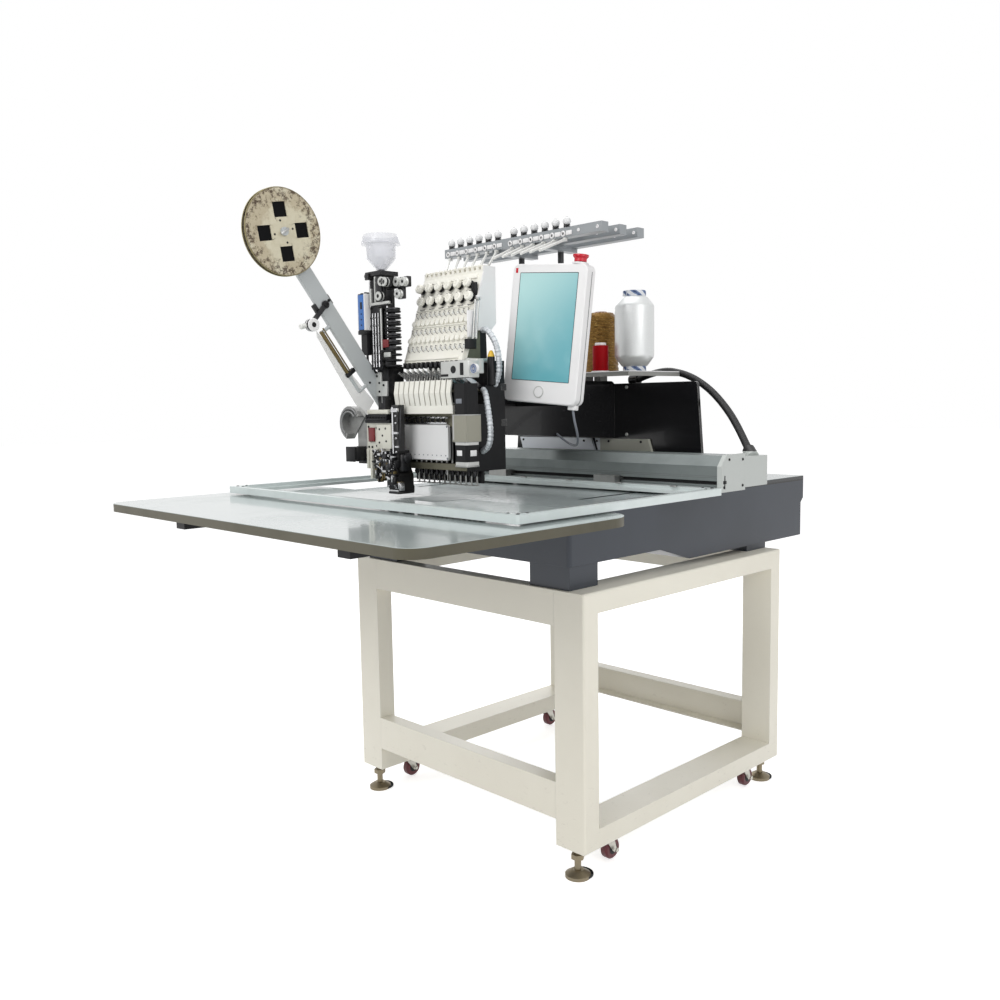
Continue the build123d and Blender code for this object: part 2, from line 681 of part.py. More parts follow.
def stand_rails_rear():
    """Upper rail and open lower channel across the back."""
    x_span = (-STAND_INNER_X, STAND_INNER_X)
    y_span = (STAND_REAR_Y - CROSS_RAIL_DEPTH, STAND_REAR_Y)
    upper = block(x_span, y_span, (STAND_TOP_Z - FRONT_RAIL_HEIGHT, STAND_TOP_Z))
    channel = block(x_span, y_span, (LOW_RAIL_Z, LOW_RAIL_Z + LOW_RAIL_HEIGHT))
    hollow_y = (STAND_REAR_Y - CROSS_RAIL_DEPTH, STAND_REAR_Y - CHANNEL_WALL)
    hollow_z = (LOW_RAIL_Z + CHANNEL_WALL, LOW_RAIL_Z + LOW_RAIL_HEIGHT - CHANNEL_WALL)
    channel = channel - block(x_span, hollow_y, hollow_z)
    return [upper, channel]


def levelling_foot(side, y):
    """Foot with round pad, hexagon and stud standing in the leg."""
    outline = [
        (0, 0),
        (FOOT_PAD_DIAMETER / 2, 0),
        (FOOT_PAD_DIAMETER / 2, FOOT_PAD_RIM),
        (FOOT_NECK_DIAMETER / 2, FOOT_PAD_HEIGHT),
        (FOOT_STUD_DIAMETER / 2, FOOT_PAD_HEIGHT),
        (FOOT_STUD_DIAMETER / 2, LEG_BOTTOM_Z + FOOT_STUD_REACH),
        (0, LEG_BOTTOM_Z + FOOT_STUD_REACH),
    ]
    foot = turned(outline, (side * LEG_X, y, 0), (0, 0, 1))
    return foot + hexagon((side * LEG_X, y, FOOT_NUT_Z), FOOT_NUT_WIDTH, FOOT_NUT_HEIGHT)


def caster_fork(side, y):
    """Swivel fork with its pin, race and axle."""
    x = side * LEG_X
    race_top = PAD_BOTTOM_Z - SLIDE_GAP
    race_low = race_top - CASTER_RACE_HEIGHT
    pieces = [rod((x, y, race_low), (x, y, race_top), CASTER_RACE_DIAMETER)]
    pieces.append(rod((x, y, race_low), (x, y, PAD_BOTTOM_Z + CASTER_PIN_REACH), CASTER_PIN_DIAMETER))
    axle_y = y + CASTER_TRAIL
    half_race = CASTER_RACE_DIAMETER / 3
    outline = [
        (y - half_race, race_low + CASTER_RACE_HEIGHT / 2),
        (y + half_race, race_low + CASTER_RACE_HEIGHT / 2),
        (axle_y + CASTER_AXLE_DIAMETER, AXLE_Z),
        (axle_y, AXLE_Z - CASTER_AXLE_DIAMETER),
        (axle_y - CASTER_AXLE_DIAMETER, AXLE_Z),
    ]
    inner = WHEEL_WIDTH / 2 + CASTER_SIDE_GAP
    for hand in (-1, 1):
        ends = sorted((x + hand * inner, x + hand * (inner + CASTER_WALL)))
        pieces.append(side_plate(outline, ends))
    reach = inner + CASTER_WALL
    pieces.append(rod((x - reach, axle_y, AXLE_Z), (x + reach, axle_y, AXLE_Z), CASTER_AXLE_DIAMETER))
    return fused(pieces)


def caster_wheel(side, y):
    """Wheel with rounded shoulders turning on the fork's axle."""
    bore = (CASTER_AXLE_DIAMETER + BORE_GAP) / 2
    half = WHEEL_WIDTH / 2
    radius = WHEEL_DIAMETER / 2
    outline = [
        (bore, -half),
        (radius - WHEEL_SHOULDER, -half),
        (radius, -half + WHEEL_SHOULDER),
        (radius, half - WHEEL_SHOULDER),
        (radius - WHEEL_SHOULDER, half),
        (bore, half),
    ]
    return turned(outline, (side * LEG_X, y + CASTER_TRAIL, AXLE_Z), (1, 0, 0))


# Base, bed and table


def base_casting():
    """Stepped base on four feet, with the bed arm and the hook pocket."""
    step_y = BASE_FRONT_Y + BASE_STEP_FROM_FRONT
    outline = [
        (BASE_FRONT_Y, BASE_FRONT_BOTTOM_Z),
        (step_y, BASE_FRONT_BOTTOM_Z),
        (step_y + BASE_STEP_RUN, BASE_REAR_BOTTOM_Z),
        (REAR_Y - BASE_LIP, BASE_REAR_BOTTOM_Z),
        (REAR_Y - BASE_LIP, BASE_TOP_Z - BASE_LIP_HEIGHT - BASE_LIP),
        (REAR_Y, BASE_TOP_Z - BASE_LIP_HEIGHT),
        (REAR_Y, BASE_TOP_Z),
        (BASE_FRONT_Y, BASE_TOP_Z),
    ]
    body = side_plate(outline, around(0, BASE_WIDTH))
    front_edges = body.edges().filter_by(Axis.Z).group_by(Axis.Y)[0]
    body = fillet(front_edges, BASE_ROUNDING)
    foot_out = BASE_WIDTH / 2 - BASE_FOOT_INSET
    for side in (-1, 1):
        x_span = sorted((side * foot_out, side * (foot_out - BASE_FOOT_WIDTH)))
        front_y = BASE_FRONT_Y + BASE_FOOT_INSET
        front_foot = block(x_span, (front_y, front_y + BASE_FOOT_LENGTH), (STAND_TOP_Z, BASE_FRONT_BOTTOM_Z))
        rear_y = (STAND_REAR_Y - BASE_FOOT_LENGTH, STAND_REAR_Y)
        rear_foot = block(x_span, rear_y, (STAND_TOP_Z, BASE_REAR_BOTTOM_Z))
        body = body + front_foot + rear_foot
        trench_y = (
            BEAM_FRONT_Y - BEAM_TRAVEL_FRONT - CARRIAGE_LENGTH / 2,
            BEAM_REAR_Y + BEAM_TRAVEL_BACK + CARRIAGE_LENGTH / 2,
        )
        trench_x = around(side * BED_SLOT_X, BED_SLOT_WIDTH)
        body = body - block(trench_x, trench_y, (BASE_TOP_Z - BED_SLOT_DEPTH, BASE_TOP_Z))
    arm_z = (BASE_TOP_Z - BED_ARM_HEIGHT, BASE_TOP_Z)
    bed_arm = block(around(0, BED_ARM_WIDTH), (BED_ARM_FRONT_Y, BASE_FRONT_Y), arm_z)
    bed_arm = fillet(bed_arm.edges().filter_by(Axis.Z).group_by(Axis.Y)[0], BED_ARM_ROUNDING)
    body = body + bed_arm
    pocket = HOOK_DIAMETER + HOOK_POCKET_GAP
    pocket_back = (0, NEEDLE_Y + HOOK_POCKET_BACK, HOOK_Z)
    body = body - rod((0, BED_ARM_FRONT_Y, HOOK_Z), pocket_back, pocket)
    shaft_end = (0, HOOK_FRONT_Y + HOOK_LENGTH + HOOK_SHAFT_LENGTH + HOOK_POCKET_GAP, HOOK_Z)
    body = body - rod(pocket_back, shaft_end, HOOK_SHAFT_DIAMETER + BORE_GAP)
    body = body - rod((0, NEEDLE_Y, HOOK_Z), (0, NEEDLE_Y, BASE_TOP_Z), NEEDLE_WELL_DIAMETER)
    return body


def bed_plate():
    """Flat top plate with slots for the carriages and a notch for the needle plate."""
    plate = block(around(0, BASE_WIDTH), (BED_FRONT_Y, REAR_Y), (BASE_TOP_Z, WORK_TOP_Z))
    notch_y = (BED_FRONT_Y, NEEDLE_Y + NEEDLE_PLATE_BACK)
    plate = plate - block(around(0, BED_ARM_WIDTH), notch_y, (BASE_TOP_Z, WORK_TOP_Z))
    slot_y = (
        BEAM_FRONT_Y - BEAM_TRAVEL_FRONT - CARRIAGE_LENGTH / 2,
        BEAM_REAR_Y + BEAM_TRAVEL_BACK + CARRIAGE_LENGTH / 2,
    )
    for side in (-1, 1):
        slot_x = around(side * BED_SLOT_X, BED_SLOT_WIDTH)
        plate = plate - block(slot_x, slot_y, (BASE_TOP_Z, WORK_TOP_Z))
    return plate


def needle_plate():
    """Plate over the bed arm with the needle hole."""
    x_span = around(0, BED_ARM_WIDTH - 2 * SEAM_GAP)
    y_span = (BED_ARM_FRONT_Y, NEEDLE_Y + NEEDLE_PLATE_BACK - SEAM_GAP)
    plate = block(x_span, y_span, (BASE_TOP_Z, WORK_TOP_Z))
    plate = fillet(plate.edges().filter_by(Axis.Z).group_by(Axis.Y)[0], BED_ARM_ROUNDING - SEAM_GAP)
    return plate - rod((0, NEEDLE_Y, BASE_TOP_Z), (0, NEEDLE_Y, WORK_TOP_Z), NEEDLE_HOLE_DIAMETER)


def rotary_hook():
    """Hook with its bobbin case on a shaft running back into the base."""
    radius = HOOK_DIAMETER / 2
    shaft = HOOK_SHAFT_DIAMETER / 2
    outline = [
        (0, HOOK_WALL),
        (radius - HOOK_WALL, HOOK_WALL),
        (radius - HOOK_WALL, 0),
        (radius, 0),
        (radius, HOOK_LENGTH),
        (shaft, HOOK_LENGTH),
        (shaft, HOOK_LENGTH + HOOK_SHAFT_LENGTH),
        (0, HOOK_LENGTH + HOOK_SHAFT_LENGTH),
    ]
    return turned(outline, (0, HOOK_FRONT_Y, HOOK_Z), (0, 1, 0))


def table_board():
    """Table top with rounded corners and a notch round the bed arm."""
    y_span = (FRONT_Y, TABLE_REAR_Y)
    z_span = (WORK_TOP_Z - TABLE_THICKNESS, WORK_TOP_Z)
    board = block(around(0, TABLE_WIDTH), y_span, z_span)
    board = fillet(board.edges().filter_by(Axis.Z).group_by(Axis.Y)[0], TABLE_FRONT_ROUNDING)
    board = fillet(board.edges().filter_by(Axis.Z).group_by(Axis.Y)[-1], TABLE_REAR_ROUNDING)
    notch_y = (BED_ARM_FRONT_Y - SEAM_GAP, TABLE_REAR_Y)
    return board - block(around(0, BED_ARM_WIDTH + 2 * SEAM_GAP), notch_y, z_span)


def table_brackets():
    """Two bars that carry the table from the front of the base."""
    bars = []
    top = WORK_TOP_Z - TABLE_THICKNESS
    for side in (-1, 1):
        x_span = around(side * BRACKET_X, BRACKET_WIDTH)
        bars.append(block(x_span, (FRONT_Y + BRACKET_INSET, BASE_FRONT_Y), (top - BRACKET_HEIGHT, top)))
    return bars


# Pantograph


def x_beam():
    """Extruded beam with a chamfer along its top and a belt slot along its front."""
    outline = [
        (BEAM_FRONT_Y, BEAM_SLOT_TOP_Z),
        (BEAM_FRONT_Y, BEAM_TOP_Z - BEAM_CHAMFER),
        (BEAM_FRONT_Y + BEAM_CHAMFER, BEAM_TOP_Z),
        (BEAM_REAR_Y, BEAM_TOP_Z),
        (BEAM_REAR_Y, BEAM_BOTTOM_Z),
        (BEAM_FRONT_Y + BEAM_LIP_SETBACK, BEAM_BOTTOM_Z),
        (BEAM_FRONT_Y + BEAM_LIP_SETBACK, BEAM_SLOT_Z),
        (BEAM_SLOT_BACK_Y, BEAM_SLOT_Z),
        (BEAM_SLOT_BACK_Y, BEAM_SLOT_TOP_Z),
    ]
    return side_plate(outline, (BEAM_LEFT_X + BEAM_CAP_THICKNESS, BEAM_RIGHT_X - BEAM_CAP_THICKNESS))


def beam_end_caps():
    """Plates closing the two ends of the beam."""
    outline = [
        (BEAM_FRONT_Y - BEAM_CAP_MARGIN, BEAM_BOTTOM_Z - BEAM_CAP_MARGIN),
        (BEAM_FRONT_Y - BEAM_CAP_MARGIN, BEAM_TOP_Z - BEAM_CHAMFER),
        (BEAM_FRONT_Y + BEAM_CHAMFER - BEAM_CAP_MARGIN, BEAM_TOP_Z + BEAM_CAP_MARGIN),
        (BEAM_REAR_Y, BEAM_TOP_Z + BEAM_CAP_MARGIN),
        (BEAM_REAR_Y, BEAM_BOTTOM_Z - BEAM_CAP_MARGIN),
    ]
    left = side_plate(outline, (BEAM_LEFT_X, BEAM_LEFT_X + BEAM_CAP_THICKNESS))
    right = side_plate(outline, (BEAM_RIGHT_X - BEAM_CAP_THICKNESS, BEAM_RIGHT_X))
    return [left, right]


def x_belt():
    """Toothed belt lying along the back of the slot."""
    x_span = (BEAM_LEFT_X + BEAM_CAP_THICKNESS, BEAM_RIGHT_X - BEAM_CAP_THICKNESS)
    z_span = (BEAM_SLOT_Z + BELT_EDGE_GAP, BEAM_SLOT_TOP_Z - BELT_EDGE_GAP)
    return block(x_span, (BEAM_SLOT_BACK_Y - BELT_THICKNESS, BEAM_SLOT_BACK_Y), z_span)


def x_drive_box():
    """Housing of the frame drive behind the right end of the beam."""
    bottom = BEAM_BOTTOM_Z + DRIVE_BOX_LIFT
    x_span = (BEAM_RIGHT_X - DRIVE_BOX_WIDTH, BEAM_RIGHT_X)
    y_span = (BEAM_REAR_Y, BEAM_REAR_Y + DRIVE_BOX_DEPTH)
    box = block(x_span, y_span, (bottom, bottom + DRIVE_BOX_HEIGHT))
    return fillet(box.edges().filter_by(Axis.Z).group_by(Axis.Y)[-1], DRIVE_BOX_ROUNDING)


def y_carriages():
    """Shoes under the beam with blades running in the bed slots."""
    shoes = []
    middle_y = (BEAM_FRONT_Y + BEAM_REAR_Y) / 2
    foot_z = WORK_TOP_Z + SLIDE_GAP
    for side in (-1, 1):
        x = side * BED_SLOT_X
        y_span = around(middle_y, CARRIAGE_LENGTH)
        shoe = block(around(x, CARRIAGE_WIDTH), y_span, (foot_z, BEAM_BOTTOM_Z))
        blade = block(around(x, CARRIAGE_BLADE), y_span, (WORK_TOP_Z - CARRIAGE_BLADE_DEPTH, foot_z))
        shoes.append(shoe + blade)
    return shoes


def border_frame():
    """Rectangular frame with a low inner flange."""
    y_span = (BORDER_FRONT_Y, BORDER_REAR_Y)
    wide = around(0, 2 * BORDER_HALF_WIDTH)
    ring = block(wide, y_span, (BORDER_BOTTOM_Z, BORDER_BOTTOM_Z + BORDER_BAR_HEIGHT))
    ring = fillet(ring.edges().filter_by(Axis.Z), BORDER_CORNER)
    ridge = BORDER_BAR_WIDTH - BORDER_FLANGE_WIDTH
    step = block(
        around(0, 2 * (BORDER_HALF_WIDTH - ridge)),
        (BORDER_FRONT_Y + ridge, BORDER_REAR_Y - ridge),
        (BORDER_BOTTOM_Z + BORDER_FLANGE_HEIGHT, BORDER_BOTTOM_Z + BORDER_BAR_HEIGHT),
    )
    window = block(
        around(0, 2 * (BORDER_HALF_WIDTH - BORDER_BAR_WIDTH)),
        (BORDER_FRONT_Y + BORDER_BAR_WIDTH, BORDER_REAR_Y - BORDER_BAR_WIDTH),
        (BORDER_BOTTOM_Z, BORDER_BOTTOM_Z + BORDER_BAR_HEIGHT),
    )
    return ring - step - window


def frame_brackets():
    """Clamps that join the rear bar of the frame to the belt."""
    clamps = []
    bar_top = BORDER_BOTTOM_Z + BORDER_BAR_HEIGHT
    tongue_z = (BEAM_SLOT_Z + BELT_EDGE_GAP, BEAM_SLOT_TOP_Z - BELT_EDGE_GAP)
    plate_y = (BORDER_REAR_Y - BORDER_BAR_WIDTH + BORDER_FLANGE_WIDTH, BORDER_REAR_Y)
    belt_y = BEAM_SLOT_BACK_Y - BELT_THICKNESS - SLIDE_GAP
    for side in (-1, 1):
        x_span = around(side * FRAME_BRACKET_X, FRAME_BRACKET_WIDTH)
        plate = block(x_span, plate_y, (bar_top, tongue_z[1] + FRAME_BRACKET_EDGE))
        tongue = block(x_span, (BORDER_REAR_Y, belt_y), tongue_z)
        clamps.append(plate + tongue)
    return clamps


# Arm, column and shelf


def arm_casting():
    """Arm from the column to the head, with two guide rails across its front."""
    outline = [
        (ARM_FRONT_Y, ARM_FRONT_BOTTOM_Z),
        (ARM_FRONT_Y, ARM_TOP_Z),
        (COLUMN_FRONT_Y, ARM_TOP_Z),
        (COLUMN_FRONT_Y, ARM_REAR_BOTTOM_Z),
    ]
    body = side_plate(outline, around(0, ARM_WIDTH))
    long_edges = body.edges().filter_by(Axis.Y)
    body = fillet(long_edges, ARM_ROUNDING)
    rail_y = (ARM_FRONT_Y - ARM_RAIL_DEPTH, ARM_FRONT_Y)
    for z in (ARM_RAIL_LOW_Z, ARM_RAIL_HIGH_Z):
        body = body + block(around(0, ARM_RAIL_LENGTH), rail_y, (z, z + ARM_RAIL_HEIGHT))
    return body


def control_cabinet():
    """Black front plate, a little wider at its foot, with a narrower box behind it."""
    half_top = COLUMN_TOP_WIDTH / 2
    half_low = COLUMN_BOTTOM_WIDTH / 2
    outline = [
        (-half_low, WORK_TOP_Z),
        (-half_top, COLUMN_TOP_Z),
        (half_top, COLUMN_TOP_Z),
        (half_low, WORK_TOP_Z),
    ]
    plate = front_plate(outline, (COLUMN_FRONT_Y, COLUMN_BACK_Y))
    plate = fillet(plate.edges().filter_by(Axis.Y).group_by(Axis.Z)[-1], COLUMN_ROUNDING)
    box_y = (COLUMN_BACK_Y, COLUMN_BACK_Y + COLUMN_BOX_DEPTH)
    return plate + block(around(0, COLUMN_BOX_WIDTH), box_y, (WORK_TOP_Z, COLUMN_TOP_Z))


def foot_covers():
    """Two pale covers with bevelled ends on the foot of the cabinet."""
    covers = []
    y_span = (COLUMN_FRONT_Y - FOOT_COVER_THICKNESS, COLUMN_FRONT_Y)
    spans = (
        (FOOT_COVER_LEFT_X, FOOT_COVER_SPLIT_X + FOOT_COVER_BEVEL - FOOT_COVER_SEAM),
        (FOOT_COVER_SPLIT_X, FOOT_COVER_RIGHT_X),
    )
    for low, high in spans:
        outline = [
            (low + FOOT_COVER_BEVEL, WORK_TOP_Z),
            (low, FOOT_COVER_TOP_Z),
            (high - FOOT_COVER_BEVEL, FOOT_COVER_TOP_Z),
            (high, WORK_TOP_Z),
        ]
        covers.append(front_plate(outline, y_span))
    return covers


def spool_shelf():
    """Sheet shelf with a rim, two stands and a pin for each spool."""
    x_span = (SHELF_LEFT_X, SHELF_RIGHT_X)
    y_span = (SHELF_FRONT_Y, SHELF_FRONT_Y + SHELF_DEPTH)
    under = SHELF_TOP_Z - SHELF_THICKNESS
    shelf = block(x_span, y_span, (under, SHELF_TOP_Z))
    front = (SHELF_FRONT_Y, SHELF_FRONT_Y + SHELF_THICKNESS)
    shelf = shelf + block(x_span, front, (under - SHELF_RIM, under))
    right = (SHELF_RIGHT_X - SHELF_THICKNESS, SHELF_RIGHT_X)
    shelf = shelf + block(right, y_span, (under - SHELF_RIM, under))
    stand_y = COLUMN_FRONT_Y - SHELF_STAND_DEPTH - SHELF_STAND_INSET
    for x in (-ARM_WIDTH / 2 + SHELF_STAND_WIDTH, ARM_WIDTH / 2 - SHELF_STAND_WIDTH):
        stand_span = (stand_y, stand_y + SHELF_STAND_DEPTH)
        shelf = shelf + block(around(x, SHELF_STAND_WIDTH), stand_span, (ARM_TOP_Z, under))
    for x, y in ((SILVER_X, SILVER_Y), (RED_X, RED_Y), (GOLD_X, GOLD_Y)):
        shelf = shelf + rod((x, y, under), (x, y, SHELF_TOP_Z + SPOOL_PIN_HEIGHT), SPOOL_PIN_DIAMETER)
    return shelf


def spool_silver():
    """Wide cone of metallic thread with a patterned core at both ends."""
    bore = SPOOL_BORE_DIAMETER / 2
    core = SILVER_CORE_DIAMETER / 2
    full = SILVER_DIAMETER / 2
    outline = [
        (bore, 0),
        (core, 0),
        (core, SILVER_END),
        (full, SILVER_END + SILVER_SHOULDER),
        (full, SILVER_HEIGHT - SILVER_END - SILVER_SHOULDER),
        (core, SILVER_HEIGHT - SILVER_END),
        (core, SILVER_HEIGHT),
        (bore, SILVER_HEIGHT),
    ]
    return turned(outline, (SILVER_X, SILVER_Y, SHELF_TOP_Z), (0, 0, 1))


def spool_red():
    """Small spool with flanged ends."""
    bore = SPOOL_BORE_DIAMETER / 2
    flange = RED_DIAMETER / 2
    core = RED_CORE_DIAMETER / 2
    outline = [
        (bore, 0),
        (flange, 0),
        (flange, RED_FLANGE),
        (core, RED_FLANGE),
        (core, RED_HEIGHT - RED_FLANGE),
        (flange, RED_HEIGHT - RED_FLANGE),
        (flange, RED_HEIGHT),
        (bore, RED_HEIGHT),
    ]
    return turned(outline, (RED_X, RED_Y, SHELF_TOP_Z), (0, 0, 1))


def spool_gold():
    """Cone of gold thread."""
    bore = SPOOL_BORE_DIAMETER / 2
    foot = GOLD_DIAMETER / 2
    head = GOLD_TOP_DIAMETER / 2
    outline = [
        (bore, 0),
        (foot - GOLD_EDGE, 0),
        (foot, GOLD_EDGE),
        (head, GOLD_HEIGHT - GOLD_EDGE),
        (head - GOLD_EDGE, GOLD_HEIGHT),
        (bore, GOLD_HEIGHT),
    ]
    return turned(outline, (GOLD_X, GOLD_Y, SHELF_TOP_Z), (0, 0, 1))


# Thread rack


def guide_xs():
    """Places of the rack guides, in two groups."""
    places = []
    for place in range(NEEDLE_COUNT):
        gap = (GUIDE_GROUP_GAP - GUIDE_PITCH) * (place // GUIDE_GROUP_SIZE)
        places.append(GUIDE_FIRST_X + place * GUIDE_PITCH + gap)
    return places


def thread_rack():
    """Two posts on a foot plate, cross links and three long bars."""
    foot_top = ARM_TOP_Z + RACK_FOOT_THICKNESS
    pieces = [block(around(0, RACK_FOOT_WIDTH), around(RACK_POST_Y, RACK_FOOT_DEPTH), (ARM_TOP_Z, foot_top))]
    last_y = RACK_FRONT_Y + (RACK_BAR_COUNT - 1) * RACK_BAR_PITCH
    link_y = (RACK_FRONT_Y, last_y + RACK_BAR_DEPTH / 2)
    for side in (-1, 1):
        x = side * RACK_POST_X
        post_top = (x, RACK_POST_Y, RACK_BAR_Z - RACK_LINK_HEIGHT / 2)
        pieces.append(rod((x, RACK_POST_Y, ARM_TOP_Z), post_top, RACK_POST_DIAMETER))
        pieces.append(block(around(x, RACK_LINK_WIDTH), link_y, (RACK_BAR_Z - RACK_LINK_HEIGHT, RACK_BAR_Z)))
    for place in range(RACK_BAR_COUNT):
        y_span = around(RACK_FRONT_Y + place * RACK_BAR_PITCH, RACK_BAR_DEPTH)
        z_span = (RACK_BAR_Z, RACK_BAR_Z + RACK_BAR_HEIGHT)
        pieces.append(block((RACK_LEFT_X, RACK_RIGHT_X), y_span, z_span))
    return fused(pieces)


def rack_guides():
    """Stem and round cap of each guide on the front bar."""
    guides = []
    radius = GUIDE_BALL_DIAMETER / 2
    core = radius * GUIDE_BALL_CORE_SHARE
    stem = GUIDE_STEM_DIAMETER / 2
    low = GUIDE_STEM_HEIGHT
    outline = [
        (0, 0),
        (stem, 0),
        (stem, low),
        (core, low),
        (radius, low + radius - core / 2),
        (radius, low + radius + core / 2),
        (core, low + GUIDE_BALL_DIAMETER),
        (0, low + GUIDE_BALL_DIAMETER),
    ]
    for x in guide_xs():
        guides.append(turned(outline, (x, RACK_FRONT_Y, RACK_BAR_Z + RACK_BAR_HEIGHT), (0, 0, 1)))
    return guides


def thread_tubes():
    """Straight tubes from the front bar down to behind the comb of the head."""
    tubes = []
    tube_y = RACK_FRONT_Y - RACK_BAR_DEPTH / 2 + TUBE_COLLAR_DIAMETER / 2
    for place, x in enumerate(guide_xs()):
        collar_low = (x, tube_y, RACK_BAR_Z - TUBE_COLLAR_HEIGHT)
        collar = rod(collar_low, (x, tube_y, RACK_BAR_Z), TUBE_COLLAR_DIAMETER)
        drop = TUBE_NEAR_DROP if place < GUIDE_GROUP_SIZE else TUBE_FAR_DROP
        foot = (TUBE_FOOT_FIRST_X + place * TUBE_FOOT_PITCH, TUBE_FOOT_Y, RACK_BAR_Z - drop)
        middle = (x, tube_y, RACK_BAR_Z - TUBE_COLLAR_HEIGHT / 2)
        tubes.append(collar + rod(middle, foot, TUBE_DIAMETER))
    return tubes


# Control panel


def panel_bracket():
    """Bar from the side of the arm to the post that carries the panel."""
    post_y = PANEL_Y + PANEL_POST_BACK
    post = rod((PANEL_X, post_y, PANEL_POST_BOTTOM_Z), (PANEL_X, post_y, PANEL_POST_TOP_Z), PANEL_POST_DIAMETER)
    arm_z = (PANEL_POST_BOTTOM_Z, PANEL_POST_BOTTOM_Z + PANEL_ARM_HEIGHT)
    bar = block((ARM_WIDTH / 2, PANEL_X), around(post_y, PANEL_ARM_DEPTH), arm_z)
    return bar + post


def panel_housing():
    """Flat housing with rounded corners, a screen recess, two bores and a swivel lug."""
    body = Box(PANEL_WIDTH, PANEL_DEPTH, PANEL_HEIGHT)
    body = fillet(body.edges().filter_by(Axis.Y), PANEL_ROUNDING)
    body = chamfer(body.faces().sort_by(Axis.Y)[0].edges(), PANEL_EDGE / 2)
    half_depth = PANEL_DEPTH / 2
    recess = Pos(0, -half_depth + SCREEN_THICKNESS / 2, screen_middle()) * Box(
        PANEL_WIDTH - 2 * SCREEN_SIDE, SCREEN_THICKNESS, screen_height()
    )
    body = body - recess
    home = home_centre()
    home_end = (home[0], home[1] + HOME_DEPTH + HOME_PRESS, home[2])
    body = body - rod(home, home_end, HOME_DIAMETER + BORE_GAP)
    top = PANEL_HEIGHT / 2
    stem_x = PANEL_WIDTH / 2 - ESTOP_INSET
    stem_low = (stem_x, 0, top - ESTOP_STEM_REACH - 2 * ESTOP_PRESS)
    body = body - rod(stem_low, (stem_x, 0, top), ESTOP_STEM_DIAMETER + BORE_GAP)
    body = PANEL_PLACE * body
    post_y = PANEL_Y + PANEL_POST_BACK
    lug_low = (PANEL_X, post_y, PANEL_LUG_BOTTOM_Z)
    lug_high = (PANEL_X, post_y, PANEL_POST_TOP_Z + PANEL_EDGE)
    web_y = (PANEL_Y + PANEL_DEPTH / 4, post_y)
    web = block(around(PANEL_X, PANEL_LUG_DIAMETER / 2), web_y, (lug_low[2], lug_high[2]))
    body = body + web + rod(lug_low, lug_high, PANEL_LUG_DIAMETER)
    bore_top = (PANEL_X, post_y, PANEL_POST_TOP_Z)
    return body - rod(lug_low, bore_top, PANEL_POST_DIAMETER + BORE_GAP)


def screen_height():
    """Height of the screen between its two borders."""
    return PANEL_HEIGHT - SCREEN_TOP - SCREEN_BOTTOM


def screen_middle():
    """Height of the middle of the screen above the middle of the panel."""
    return (SCREEN_BOTTOM - SCREEN_TOP) / 2


def home_centre():
    """Place of the home button on the front of the panel, in the panel's own axes."""
    return (0, -PANEL_DEPTH / 2, -PANEL_HEIGHT / 2 + SCREEN_BOTTOM / 2)


def panel_screen():
    """Glass of the screen in its recess."""
    sizes = (
        PANEL_WIDTH - 2 * SCREEN_SIDE - 2 * SCREEN_GAP,
        SCREEN_THICKNESS,
        screen_height() - 2 * SCREEN_GAP,
    )
    glass = Pos(0, -PANEL_DEPTH / 2 + SCREEN_THICKNESS / 2, screen_middle()) * Box(*sizes)
    return PANEL_PLACE * glass


def home_button():
    """Round button standing a little proud of the panel."""
    x, y, z = home_centre()
    return PANEL_PLACE * rod((x, y - HOME_PROUD, z), (x, y + HOME_DEPTH, z), HOME_DIAMETER)


def estop_button():
    """Mushroom button on top of the panel."""
    cap = ESTOP_DIAMETER / 2
    neck = ESTOP_NECK_DIAMETER / 2
    stem = ESTOP_STEM_DIAMETER / 2
    outline = [
        (0, -ESTOP_STEM_REACH),
        (stem, -ESTOP_STEM_REACH),
        (stem, ESTOP_PRESS + SLIDE_GAP),
        (neck, ESTOP_PRESS + SLIDE_GAP),
        (neck, ESTOP_HEIGHT - ESTOP_CAP),
        (cap, ESTOP_HEIGHT - ESTOP_CAP / 2),
        (cap, ESTOP_HEIGHT),
        (0, ESTOP_HEIGHT),
    ]
    stem_x = PANEL_WIDTH / 2 - ESTOP_INSET
    return PANEL_PLACE * turned(outline, (stem_x, 0, PANEL_HEIGHT / 2), (0, 0, 1))


# Head


